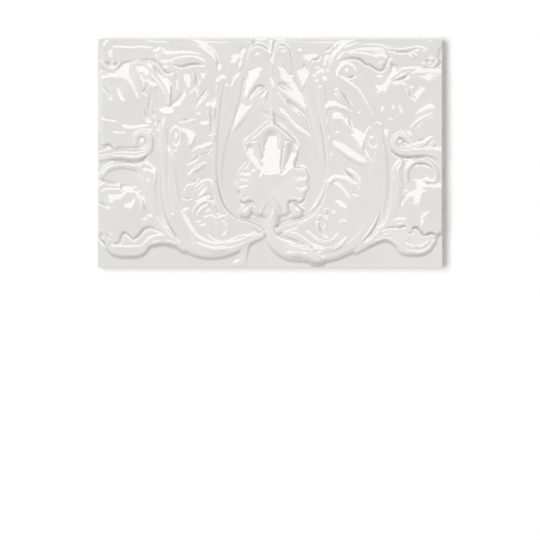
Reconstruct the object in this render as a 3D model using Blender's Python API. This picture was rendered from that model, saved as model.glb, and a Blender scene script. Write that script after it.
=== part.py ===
"""A glazed ceramic wall tile, pressed with a classical relief of acanthus scrolls and a palmette.

It lies on its back: +X along its length, +Y up the wall, +Z out of its face. The origin is the middle
of its back. Lengths in the relief are millimetres, and the model is in metres."""

import bmesh
import bpy
import numpy as np

MM = 0.001

# Driving sizes, in millimetres
LENGTH = 228.0
WIDTH = 151.0
THICKNESS = 9.0
EDGE_DROP = 0.5
EDGE_FALL = 1.2
RIM_FLAT = 0.5
MASS_HEIGHT = 0.5
FIELD_CUT = 0.6
WALL_SLOPE = 0.8
WALL_REACH = 3.0

# Key grooves in the back, in millimetres
GROOVE_WIDTH = 6.0
GROOVE_DEPTH = 1.2
GROOVE_SPACING = 24.0
GROOVE_COUNT = 6
CUTTER_OVERRUN = 10.0

# The relief's grid, and the share of its faces that the solid keeps
COLUMNS = 229
ROWS = 152
KEPT_SHARE = 0.135
GLAZE_ROUNDING = 0.5

GLAZE_COLOUR = (0.72, 0.715, 0.70, 1)
GLAZE_ROUGHNESS = 0.12


# Height field


def smooth_line(rows, step=0.7, closed=False):
    """A smooth curve through rows of numbers, the first two of which are x and y."""
    rows = np.array(rows, float)
    if closed:
        knots = np.vstack([rows[-1], rows, rows[0], rows[1]])
    else:
        knots = np.vstack([2 * rows[0] - rows[1], rows, 2 * rows[-1] - rows[-2]])
    pieces = []
    for a, b, c, d in zip(knots[:-3], knots[1:-2], knots[2:-1], knots[3:]):
        count = max(2, int(np.ceil(np.hypot(*(c - b)[:2]) / step)))
        t = np.linspace(0, 1, count, endpoint=False)[:, None]
        linear = 2 * b + (c - a) * t
        square = (2 * a - 5 * b + 4 * c - d) * t ** 2
        cube = (3 * b - a - 3 * c + d) * t ** 3
        pieces.append(0.5 * (linear + square + cube))
    if not closed:
        pieces.append(rows[-1:])
    return np.vstack(pieces)


EDGE_SPREAD = 1.3
RIDGE_SHIFT = 0.4
FACET_DROP = 0.7
STEEPEST_FACET = 0.16
CREASE_WIDTH = 0.75
CREASE_CUT = 1.4
OFFSETS = np.linspace(-1, 1, 161)
ROUND = (OFFSETS, np.sqrt(np.clip(1 - OFFSETS ** 2, 0, 1)))
SOFT = (OFFSETS, 0.5 + 0.5 * np.cos(OFFSETS * np.pi))


class Relief:
    """Heights in millimetres above the flat face, on a grid over the tile."""

    def __init__(self, columns, rows):
        self.x = np.linspace(-LENGTH / 2, LENGTH / 2, columns)
        self.y = np.linspace(-WIDTH / 2, WIDTH / 2, rows)
        self.X, self.Y = np.meshgrid(self.x, self.y)
        self.z = np.zeros(self.X.shape)
        self.creases = []

    def window(self, low, high, reach):
        i = np.searchsorted(self.x, [low[0] - reach, high[0] + reach])
        j = np.searchsorted(self.y, [low[1] - reach, high[1] + reach])
        return slice(*j), slice(*i)

    def along(self, stroke):
        """Each grid point's offset across a stroke, in half-widths, and the stroke's height there."""
        rows = smooth_line(stroke)
        nearest = np.full(self.z.shape, np.inf)
        offset = np.full(self.z.shape, 2.0)
        height = np.zeros(self.z.shape)
        for a, b in zip(rows[:-1], rows[1:]):
            reach = max(a[2], b[2]) + 0.3
            w = self.window(np.minimum(a, b), np.maximum(a, b), reach)
            px, py = self.X[w] - a[0], self.Y[w] - a[1]
            dx, dy = b[0] - a[0], b[1] - a[1]
            t = np.clip((px * dx + py * dy) / (dx * dx + dy * dy + 1e-9), 0, 1)
            gap = np.hypot(px - t * dx, py - t * dy)
            half = np.maximum(a[2] + (b[2] - a[2]) * t, 0.05)
            closer = gap < nearest[w]
            nearest[w] = np.where(closer, gap, nearest[w])
            offset[w] = np.where(closer, np.sign(dx * py - dy * px) * gap / half, offset[w])
            height[w] = np.where(closer, a[3] + (b[3] - a[3]) * t, height[w])
        return offset, height

    def raise_to(self, heights, inside, blend):
        """The higher of the two surfaces, with a small fillet between them."""
        gap = np.where(inside, heights - self.z, -1e3)
        mix = np.clip(0.5 + 0.5 * gap / blend, 0, 1)
        self.z += np.where(inside, mix * gap + blend * mix * (1 - mix), 0)

    def band(self, stations, cuts=(0, 1), swell=0.6, full=4.0, blend=0.5):
        """A band between two edges, each station (left x, y, right x, y, height), creased into strands."""
        rows = np.array(stations, float)
        half = np.hypot(rows[:, 0] - rows[:, 2], rows[:, 1] - rows[:, 3]) / 2
        middle = (rows[:, :2] + rows[:, 2:4]) / 2
        offset, height = self.along(np.column_stack([middle, half, rows[:, 4]]))
        across = np.clip((1 - offset) / 2, 0, 1)
        cuts = np.array(cuts, float)
        strand = np.clip(np.searchsorted(cuts, across, "right") - 1, 0, len(cuts) - 2)
        width = cuts[strand + 1] - cuts[strand]
        bulge = np.sin(np.pi * (across - cuts[strand]) / width) * np.sqrt(width / np.diff(cuts).max())
        share = np.clip(1 - np.abs(offset) ** full, 0, 1)
        heights = (height + swell * bulge) * share
        self.raise_to(heights, np.abs(offset) < 1, blend)

    def ridge(self, stroke, shape=ROUND, blend=0.5):
        offset, height = self.along([(x, y - RIDGE_SHIFT * half, half, top) for x, y, half, top in stroke])
        share = np.interp(np.clip(offset, -1, 1), *shape)
        self.raise_to(height * share, np.abs(offset) < 1, blend)

    def streak(self, stroke, tilt=0.6):
        """A narrow facet along a stroke that runs eastwards, facing the stroke's north side."""
        rows = [(*point, point[2]) for point in stroke]
        offset, half = self.along(rows)
        share = np.clip(1 - offset ** 2, 0, 1) ** 2
        self.z -= np.where(np.abs(offset) < 1, tilt * offset * half * share, 0)

    def spot(self, x, y, radius, tilt=0.5):
        """A small bead that faces north."""
        share = np.clip(1 - np.hypot(self.X - x, self.Y - y) / radius, 0, 1)
        share = share * (2 - share)
        self.z += share * (0.2 - tilt * (self.Y - y))

    def facet(self, outline, east=0.0, rise=0.0, edge=0.5, least=0.075):
        """A flat place within an outline, at the mean height there, that falls to the north and to `east`."""
        held, gap = self.edge_of(outline, edge)
        x, y = self.X[held], self.Y[held]
        north = np.clip(FACET_DROP / np.ptp(y), least, STEEPEST_FACET)
        plane = self.z[held].mean() + rise - east * (self.X - x.mean()) - north * (self.Y - y.mean())
        share = np.clip(gap / edge, 0, 1)
        share = share * share * (3 - 2 * share)
        self.z += np.where(held, (plane - self.z) * share, 0)

    def crease(self, stroke):
        """A narrow groove that is cut after the walls are eased, and so stays sharp."""
        self.creases.append([(x, y, CREASE_WIDTH * half, CREASE_CUT * depth) for x, y, half, depth in stroke])

    def cut_creases(self):
        for stroke in self.creases:
            self.groove(stroke)

    def ease_walls(self, slope, reach):
        """Spreads every wall that is steeper than the slope outwards, up to a reach."""
        heights = self.z.copy()
        across, up = self.x[1] - self.x[0], self.y[1] - self.y[0]
        rows, columns = self.z.shape
        i, j = int(reach / across), int(reach / up)
        padded = np.pad(heights, ((j, j), (i, i)), mode="edge")
        for down in range(-j, j + 1):
            for side in range(-i, i + 1):
                fall = slope * np.hypot(down * up, side * across)
                near = padded[j + down:j + down + rows, i + side:i + side + columns]
                self.z = np.maximum(self.z, near - fall)

    def groove(self, stroke, shape=SOFT):
        offset, depth = self.along(stroke)
        self.z -= np.where(np.abs(offset) < 1, depth * np.interp(np.clip(offset, -1, 1), *shape), 0)

    def edge_of(self, outline, reach):
        """Which grid points an outline holds, and how far each is from it."""
        points = smooth_line(outline, closed=True)[:, :2]
        held = np.zeros(self.z.shape, bool)
        gap = np.full(self.z.shape, reach)
        for a, b in zip(points, np.roll(points, -1, axis=0)):
            if a[1] != b[1]:
                crossing = a[0] + (b[0] - a[0]) * (self.Y - a[1]) / (b[1] - a[1])
                held ^= ((a[1] > self.Y) != (b[1] > self.Y)) & (self.X < crossing)
            w = self.window(np.minimum(a, b), np.maximum(a, b), reach)
            px, py = self.X[w] - a[0], self.Y[w] - a[1]
            dx, dy = b - a
            t = np.clip((px * dx + py * dy) / (dx * dx + dy * dy + 1e-9), 0, 1)
            gap[w] = np.minimum(gap[w], np.hypot(px - t * dx, py - t * dy))
        return held, gap

    def pad(self, outline, spots, edge=2.0, blend=0.6):
        """A leaf or boss: an outline with a round edge, and a surface through a few spot heights."""
        edge *= EDGE_SPREAD
        held, gap = self.edge_of(outline, edge)
        spots = np.array(spots, float)
        top = np.clip(spot_surface(spots, self.X, self.Y), spots[:, 2].min(), spots[:, 2].max() + 0.3)
        self.raise_to(top * np.sin(np.clip(gap / edge, 0, 1) * np.pi / 2), held, blend)

    def soften(self, sigma):
        """A Gaussian blur, as a thick glaze rounds what is under it."""
        step = self.x[1] - self.x[0]
        reach = int(np.ceil(3 * sigma / step))
        kernel = np.exp(-0.5 * (np.arange(-reach, reach + 1) * step / sigma) ** 2)
        kernel /= kernel.sum()
        padded = np.pad(self.z, reach, mode="edge")
        rows, columns = self.z.shape
        down = sum(k * padded[i:i + rows] for i, k in enumerate(kernel))
        self.z = sum(k * down[:, i:i + columns] for i, k in enumerate(kernel))


def spot_surface(spots, X, Y):
    """The thin-plate surface through a few spot heights (x, y, height)."""
    def bend(square):
        return 0.5 * square * np.log(square + 1e-9)

    count = len(spots)
    x, y = spots[:, 0], spots[:, 1]
    system = np.zeros((count + 3, count + 3))
    system[:count, :count] = bend((x[:, None] - x) ** 2 + (y[:, None] - y) ** 2)
    system[:count, count:] = np.column_stack([np.ones(count), x, y])
    system[count:, :count] = system[:count, count:].T
    weights = np.linalg.solve(system, np.append(spots[:, 2], np.zeros(3)))
    surface = weights[count] + weights[count + 1] * X + weights[count + 2] * Y
    for spot, weight in zip(spots, weights):
        surface = surface + weight * bend((X - spot[0]) ** 2 + (Y - spot[1]) ** 2)
    return surface


# Ornament


def palmette(r):
    outline = [(1.5, 20.5), (-4.5, 18), (-9.5, 13.3), (-14, 10), (-17.3, 6.5), (-18, 2), (-17, -2),
               (-15.6, -5), (-17, -8.4), (-20, -11), (-21.6, -15), (-20.8, -17.7), (-23, -20.5),
               (-22.3, -24.5), (-20, -26.3), (-20.6, -30), (-18, -33), (-13, -32), (-11.2, -34), (-12, -39),
               (-8, -41.5), (0, -42.5), (8, -42), (13, -39.5), (12.6, -35), (14, -32), (20, -33.3),
               (23.4, -30.5), (24, -26.6), (26.6, -23.5), (25.4, -19.5), (26.5, -16), (25, -11.5),
               (22, -8.6), (17, -7.8), (18.6, -3), (19.8, 3), (18, 7.6), (14, 11.4), (9, 16)]
    spots = [(1.5, 18, 3.8), (-9, 12, 3.4), (-16, 4, 2.9), (-20, -14, 2.8), (-21, -22, 2.8),
             (-18, -31, 2.8), (10, 14, 3.0), (18, 3, 2.3), (24, -14, 1.9), (25, -23, 1.9), (21, -31, 2.4),
             (1, -14, 5.0), (1, -24, 5.2), (-8, -18, 4.6), (9, -18, 4.5), (-9, -30, 4.0), (10, -30, 3.9),
             (0, -38, 3.0), (-9, -38, 2.8), (9, -38, 2.8)]
    r.pad(outline, spots, edge=1.6)
    for flute in ([(1, -14, 5.0, 0.0), (1, -6, 5.6, 0.9), (1, 3, 6.2, 2.6), (1.2, 10.8, 7.4, 3.4)],
                  [(-4.5, -11, 2.0, 0.2), (-8.5, -5, 2.6, 1.4), (-12, 1, 3.6, 2.4), (-13, 4, 4.0, 2.5)],
                  [(7.6, -12.6, 2.0, 0.2), (11.6, -7, 3.0, 1.4), (14.4, -1, 4.0, 2.4),
                   (14.8, 4.6, 4.2, 2.5)],
                  [(-11, -12.8, 1.0, 0.1), (-15, -13, 1.8, 0.5), (-18.5, -13.4, 2.2, 0.9)],
                  [(15, -15.6, 1.2, 0.1), (18, -15.8, 1.8, 0.5), (22.5, -15.6, 2.4, 1.0)],
                  [(-14, -20.6, 1.0, 0.1), (-16.6, -21, 1.6, 0.5), (-19.6, -21.8, 2.0, 1.0)],
                  [(16, -22, 1.0, 0.1), (19, -22.4, 1.6, 0.5), (23, -22.6, 2.0, 1.0)],
                  [(-12, -27.4, 1.0, 0.1), (-14.4, -28.4, 1.6, 0.5), (-17.6, -29.6, 2.0, 0.9)],
                  [(14, -28.2, 1.0, 0.1), (17, -28.8, 1.6, 0.5), (20.6, -29.6, 2.0, 0.9)],):
        r.groove(flute)
    for lobe in ([(-13, -34.5, 2.2, 2.8), (-16, -37.5, 3.6, 3.2)],
                 [(15, -34.5, 2.2, 2.8), (18, -37.3, 4.0, 3.2)]):
        r.ridge(lobe)
    r.groove([(-10.4, -33, 0.9, 1.0), (-9.6, -37, 1.0, 1.4), (-11.5, -41.5, 1.0, 0.8)])
    r.groove([(13.2, -33, 0.9, 1.0), (12.4, -37, 1.0, 1.4), (14, -41.5, 1.0, 0.8)])


def bud(r):
    r.groove([(2, -30.6, 1.2, 0.4), (-2, -35, 1.4, 1.0), (-5, -41, 1.6, 1.4)])
    r.groove([(2, -30.6, 1.2, 0.4), (6.3, -35, 1.4, 1.0), (8, -41, 1.6, 1.4)])
    r.ridge([(2, -33.5, 0.6, 3.8), (2.2, -37, 2.6, 4.2), (2, -41.5, 4.0, 4.6), (1, -46, 3.8, 4.6),
             (0.4, -50, 2.2, 4.4)])


def left_heart_band(r):
    r.band([(-3, -54, -2, -50.5, 2.8), (-10, -51.5, -9.5, -46.4, 2.6), (-19, -49, -18, -43, 2.6),
            (-28, -44.5, -25.4, -39.6, 2.6), (-34.5, -37, -30.4, -33.4, 2.4), (-37.8, -27, -33.6, -24, 2.2),
            (-38.6, -12, -35.2, -11, 2.2), (-38, 4, -34.8, 3, 2.2), (-37.8, 17, -33.6, 16.5, 2.4),
            (-37.4, 30, -32.4, 29.5, 2.6), (-37, 41, -30.6, 40.5, 2.6), (-35.6, 49, -28.4, 48, 2.4)],
           (0, 0.5, 1), 0.4)


def flutes_left(r):
    """The fluted stalks between the left band and the hanging leaf."""
    r.band([(-15.6, 77, -30, 77, 1.8), (-15.8, 66, -31, 66, 1.9), (-16.4, 56, -32, 56, 2.0),
            (-17.6, 45, -33, 45, 2.0), (-20.4, 33, -34, 33, 1.9), (-24.4, 20, -35.4, 20, 1.7),
            (-28, 8, -36, 8, 1.4), (-30.6, -4, -36.4, -4, 1.2), (-31.6, -16, -36, -16, 0.9),
            (-30.6, -27, -34, -28, 0.5)], (0, 0.18, 0.36, 0.55, 0.75, 1), 0.22)


def flutes_right(r):
    """The fluted stalks between the right band and the hanging leaf."""
    r.band([(31, 77, 15.8, 77, 1.8), (31, 66, 16.2, 66, 1.9), (31, 56, 17, 56, 2.0),
            (32, 45, 19.5, 45, 1.9), (34, 33, 24, 33, 1.7), (35.6, 20, 28, 20, 1.4),
            (36.8, 8, 31.6, 8, 1.0), (37.4, -4, 34, -4, 0.6)], (0, 0.25, 0.5, 0.75, 1), 0.22)


def top_bands(r):
    """The soft mouldings along the upper edge, and the ground they lie on."""
    r.pad([(-111, 66), (-111, 77), (-60, 77), (-14, 77), (-14, 66), (-16, 50), (-34, 46), (-48, 58),
           (-80, 62), (-98, 60), (-108, 61)], [(-110, 70, 1.7), (-100, 66, 1.8), (-90, 66, 1.8),
                                               (-80, 66, 1.8), (-60, 70, 1.8), (-40, 66, 1.6),
                                               (-20, 70, 1.6), (-25, 52, 1.7)], edge=0.9)
    r.pad([(14, 77), (60, 77), (111, 77), (111, 66), (106, 58), (90, 56), (76, 60), (48, 58), (36, 46),
           (18, 50), (14, 66)], [(20, 70, 1.6), (40, 66, 1.7), (60, 70, 1.8), (80, 66, 1.8), (100, 66, 1.9),
                                 (108, 70, 1.9), (26, 52, 1.6), (90, 60, 1.9), (84, 58, 1.9),
                                 (102, 60, 1.9)], edge=0.9)
    r.band([(-46, 77, -42, 71.4, 1.7), (-34, 77, -34, 70.6, 1.8), (-24, 77, -24, 71, 1.8),
            (-14, 77, -12, 71.6, 1.7)], (0, 0.5, 1), 0.4)
    r.band([(14, 77, 15, 71.4, 1.7), (24, 77, 24, 70.8, 1.8), (34, 77, 34, 70.4, 1.8),
            (44, 77, 42, 71, 1.7)], (0, 0.5, 1), 0.4)


def left_scroll(r):
    """The left scroll: its thick stem, and the finer arc that turns over at the top."""
    r.band([(-6, -56.5, -5, -52.5, 2.5), (-14, -60.5, -13, -53.5, 3.5), (-22, -65.8, -22, -55.5, 4.2),
            (-32, -69.6, -33, -56.5, 4.5), (-44, -69.8, -42, -54.5, 4.5), (-55, -66, -49, -49, 4.5),
            (-64, -57, -54, -41, 4.4), (-70.5, -44, -57.5, -30, 4.2), (-73, -28, -59.5, -16, 4.0),
            (-73.8, -10, -62, -2, 3.9), (-74, 5, -66, 6, 3.8), (-73.5, 17, -66.5, 17, 3.5),
            (-70, 27, -62, 23.5, 3.0)], (0, 0.2, 0.33, 0.48, 0.6, 0.82, 1), 0.7)
    r.band([(-73.5, 17, -66.5, 17, 3.3), (-70, 27, -62, 23.5, 3.2), (-63, 32.5, -55, 27, 3.0),
            (-55, 39, -47, 34, 3.0), (-48, 46, -40.5, 42.5, 3.0), (-43.8, 53, -36.2, 50, 3.0),
            (-42.4, 58, -33.8, 57.5, 2.9), (-44, 63.5, -36.5, 67, 2.8), (-50, 67, -43, 73, 2.6),
            (-58, 69.4, -53, 76.5, 2.4), (-70, 70, -70, 77, 2.2), (-78, 70, -78, 77, 1.9),
            (-88, 70, -88, 77, 1.7), (-98, 70.4, -98, 77, 1.7), (-104, 70.4, -106, 76.5, 1.8),
            (-106.2, 66.5, -111.5, 70, 1.9), (-105.5, 62.5, -111, 62.5, 2.0)], (0, 0.33, 0.6, 0.82, 1), 0.1,
           8)
    r.ridge([(-110.4, 60.4, 1.6, 2.8), (-107, 57, 1.7, 3.0), (-102.6, 56.4, 1.6, 2.9),
             (-99.8, 59.4, 1.0, 2.6)])
    r.ridge([(-104.4, 59.6, 1.7, 3.0), (-104, 59.6, 1.7, 3.0)])


def hood_left(r):
    hood = [(-40, 58.5), (-38, 64), (-44, 70), (-56, 73), (-66, 73), (-74, 71), (-77, 63), (-74, 59),
            (-71.5, 55), (-67.6, 53), (-63.4, 55), (-62.2, 57.6), (-58, 57), (-52, 58.6), (-46, 58.8)]
    r.pad(hood, [(-44, 60, 2.9), (-50, 61, 2.9), (-58, 60, 2.9), (-64, 59, 2.8), (-68.5, 56.5, 3.0),
                 (-72, 60, 2.7), (-62, 66, 2.6), (-70, 66.5, 2.4), (-52, 66, 2.7), (-75, 64, 2.4),
                 (-58, 71.5, 2.3), (-70, 71, 2.1)], edge=1.2)


def arch_fan_left(r):
    """Fluted leaf inside the left arch."""
    r.pad([(-66, 20), (-77, 24), (-78, 40), (-80, 58), (-66, 62), (-50, 64), (-38, 60), (-38, 50),
           (-44, 40), (-54, 30)], [(-69, 28, 2.9), (-72, 45, 2.7), (-62, 45, 2.7), (-55, 50, 2.7),
                                   (-48, 50, 2.8), (-60, 56, 2.6), (-44, 56, 2.8), (-60, 36, 2.9),
                                   (-46, 44, 2.9)], edge=1.0)
    r.ridge([(-66, 27, 1.4, 2.9), (-60, 33, 1.8, 3.1), (-56, 40, 1.9, 3.1), (-54.8, 47, 1.9, 3.0),
             (-54.8, 54, 1.6, 2.6)])
    r.ridge([(-46.4, 44, 0.8, 2.7), (-45, 50, 1.0, 3.0), (-45.4, 56, 0.9, 2.7)])
    r.ridge([(-70, 24, 1.8, 3.2), (-67.4, 33, 1.7, 3.4), (-66.6, 42, 1.7, 3.4), (-69.4, 49, 1.4, 3.2),
             (-74.2, 55.6, 1.1, 3.0), (-79, 60, 0.9, 2.8)])
    r.ridge([(-73, 24, 1.2, 3.0), (-71.8, 33, 1.1, 3.1), (-71.6, 42, 1.0, 3.0), (-74.4, 49, 1.0, 2.9),
             (-78, 55, 0.9, 2.8), (-82, 59.6, 0.7, 2.6)])


def corner_leaf_left(r):
    """The broad leaf in the upper left."""
    outline = [(-74, 10), (-74, 26), (-74, 42), (-76, 50), (-79.4, 57), (-82.6, 60), (-86, 61.4), (-90, 61),
               (-94, 59.6), (-97.4, 55.6), (-101, 53.6), (-104.6, 52.4), (-108, 54), (-112.6, 52),
               (-112.8, 40), (-112.8, 26), (-112, 12), (-100, 8), (-86, 10)]
    r.pad(outline, [(-82, 20, 2.7), (-80, 38, 2.8), (-81, 52, 2.7), (-86, 57, 2.6), (-85, 60, 2.7),
                    (-92, 57, 2.6), (-94, 59, 2.6), (-100, 50, 2.8), (-104, 48, 2.9), (-109, 50, 2.8),
                    (-108, 45, 2.8), (-98, 40, 3.0), (-92, 44, 3.0), (-90, 32, 3.0), (-99, 30, 3.0),
                    (-106, 27, 2.9), (-96, 23, 2.8), (-86, 46, 2.9), (-96, 12, 2.6), (-108, 16, 2.6)],
          edge=1.0)
    r.groove([(-92, 58, 1.2, 0.4), (-91, 50, 1.6, 0.9), (-88, 41, 1.5, 0.9), (-85.4, 31, 1.2, 0.6),
              (-84.4, 24, 0.8, 0.2)])
    r.groove([(-101.5, 46, 1.0, 0.4), (-99.4, 40, 1.4, 0.8), (-97, 33, 1.0, 0.3)])
    r.groove([(-88, 58, 1.0, 0.5), (-84, 51, 1.5, 0.9), (-82.6, 43, 1.2, 0.6), (-81, 34, 0.8, 0.3)])


def under_fold_left(r):
    outline = [(-78.6, 17), (-83, 19.6), (-90, 20), (-97, 20.6), (-103, 22), (-109, 23.4), (-112, 20),
               (-111.5, 12), (-110.6, 6), (-107, 5.8), (-104.4, 5.2), (-103, 2.6), (-99, 4), (-93, 3.6),
               (-87, 4), (-82, 8)]
    r.pad(outline, [(-84, 19, 2.8), (-92, 19, 2.8), (-98, 19, 2.8), (-90, 14.4, 2.9), (-98, 14.6, 2.9),
                    (-106, 10, 2.9), (-104, 17, 2.8), (-110, 18, 2.7), (-100, 8, 2.9), (-94, 6, 3.0)],
          edge=0.9)


def side_grounds(r):
    """The low ground between the stems and what turns beside them."""
    r.pad([(-86, 14), (-71, 14), (-71, -20), (-69, -40), (-60, -58), (-74, -52), (-82, -38), (-84, -20),
           (-82, -8), (-86, 0)], [(-80, 8, 2.6), (-77, -4, 2.7), (-76, -24, 3.0), (-70, -46, 3.2)],
          edge=1.2)
    r.pad([(88, 14), (74, 14), (76, -20), (74, -40), (62, -58), (76, -52), (84, -40), (88, -22), (86, -8),
           (88, 0)], [(82, 8, 2.6), (80, -4, 2.7), (82, -24, 3.0), (74, -46, 3.2)], edge=1.2)


def side_scroll_left(r):
    r.band([(-116, -1.4, -116, -7, 3.2), (-107, 0.8, -106, -4.6, 3.8), (-98, 2.4, -98, -4.2, 4.2),
            (-89, 2.2, -88, -5.2, 4.4), (-82.4, 4, -80.5, -2.5, 4.5), (-81.2, 6.8, -76.8, 5.5, 4.5),
            (-82.8, 10, -77.6, 12, 4.5), (-85.6, 11, -83.5, 15.3, 4.4), (-87.3, 9.5, -89.3, 12.7, 4.2),
            (-87.2, 7.6, -90.6, 7, 4.0)], (0, 0.5, 1), 0.7)
    r.ridge([(-84.4, 7.8, 1.9, 4.2), (-84, 7.6, 1.9, 4.2)])


def cup_flower_left(r):
    """The turned-over flower in the lower left."""
    lip = [(-112, -57), (-109.4, -61.5), (-105.4, -66.4), (-100, -68.8), (-92, -69.2), (-85, -68.2),
           (-80.8, -65), (-78.6, -61), (-73, -60), (-64, -61.6), (-56, -66), (-54, -58), (-62, -50),
           (-72, -46), (-82, -46), (-92, -50), (-104, -54)]
    r.pad(lip, [(-108, -59, 3.2), (-100, -65, 3.6), (-90, -65, 3.6), (-83, -62, 3.6), (-76, -57, 3.8),
                (-66, -58, 4.0), (-95, -60, 3.3), (-85, -57, 3.3), (-76, -53, 3.6), (-60, -60, 4.0)],
          edge=1.8)
    r.ridge([(-101, -62, 0.8, 3.5), (-96, -61.4, 1.2, 4.0), (-90, -61.6, 1.2, 4.0),
             (-85.6, -61.8, 1.0, 4.0), (-80, -57.2, 1.1, 4.3), (-73, -54.2, 1.1, 4.4),
             (-66, -56.8, 0.8, 4.4)])
    r.ridge([(-80, -60.6, 0.8, 3.6), (-77, -59, 1.0, 4.1), (-70, -57.8, 1.0, 4.3), (-62, -60, 0.8, 4.3)])
    body = [(-111, -19), (-113, -26), (-113.4, -40), (-112.6, -50), (-109, -52.6), (-105, -56),
            (-103.4, -59.6), (-99.6, -59), (-98, -54.6), (-95.6, -52.8), (-93, -54.8), (-90.6, -57.2),
            (-87, -55), (-84, -51), (-80, -48.9), (-74, -50.6), (-70, -53), (-74, -44), (-80, -34),
            (-84, -24), (-90, -21), (-98, -19.6)]
    r.pad([(-114, -4), (-114, -28), (-84, -28), (-76, -20), (-78, -4)],
          [(-108, -14, 2.4), (-96, -12, 2.2), (-86, -14, 2.4), (-96, -24, 3.0), (-80, -8, 2.4)], edge=1.2)
    r.pad(body, [(-108, -22, 3.0), (-98, -21, 2.9), (-92, -22, 2.9), (-104, -27, 3.5), (-98, -27, 3.6),
                 (-96, -35, 4.1), (-104, -42, 4.4), (-94, -44, 4.6), (-86, -42, 4.4), (-87, -29, 3.5),
                 (-80, -46, 4.0), (-100, -56, 4.6), (-90, -53, 4.8), (-109, -50, 4.0), (-111, -34, 3.6),
                 (-78, -44, 3.6)], edge=1.4)
    r.groove([(-88, -25, 1.6, 0.5), (-91, -31, 2.0, 0.7), (-94, -36, 1.6, 0.2)])
    r.ridge([(-93, -23, 0.8, 2.6), (-88.6, -30, 1.1, 3.9), (-84.6, -37.6, 0.9, 4.4)])
    r.ridge([(-112, -23.6, 0.9, 2.6), (-106, -24.2, 1.1, 3.0), (-100, -24.6, 0.8, 2.8)])
    r.ridge([(-112, -29.6, 1.0, 3.4), (-107, -32, 1.2, 3.9), (-101, -32.6, 1.0, 3.9)])
    r.ridge([(-112, -35, 0.8, 3.2), (-108, -36.6, 0.8, 3.8)])
    r.ridge([(-111, -50.6, 1.1, 4.4), (-107, -52, 1.2, 4.8), (-103, -55.6, 1.2, 5.0)])
    r.ridge([(-109.4, -55.6, 1.6, 4.6), (-106.8, -57.6, 1.5, 4.6), (-107.6, -60.4, 1.3, 4.2)])
    r.ridge([(-76, -43, 1.0, 4.4), (-80, -41.4, 1.6, 4.6), (-84.6, -44.4, 1.0, 4.8)])
    r.band([(-60, -61, -58, -58, 3.2), (-67, -57, -64.5, -53, 3.8), (-75, -49.5, -70.5, -44, 4.0),
            (-81, -38, -73.8, -32, 4.0), (-84, -26, -75, -20, 3.8), (-86, -17, -76, -9, 3.8),
            (-89, -12, -81, -6, 3.8), (-94, -10.2, -90, -6.3, 3.8), (-100, -10, -99, -6.2, 3.8),
            (-105.5, -12, -108, -8, 3.8), (-108.6, -15.5, -113, -14, 3.6)], (0, 0.3, 0.62, 1), 0.6)
    r.groove([(-80, -24, 0.8, 0.3), (-80.6, -16, 1.5, 1.3), (-80.8, -11.6, 1.3, 1.0)])
    r.ridge([(-108.6, -18.6, 2.0, 3.4), (-108.2, -19.4, 2.0, 3.4)])


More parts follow.
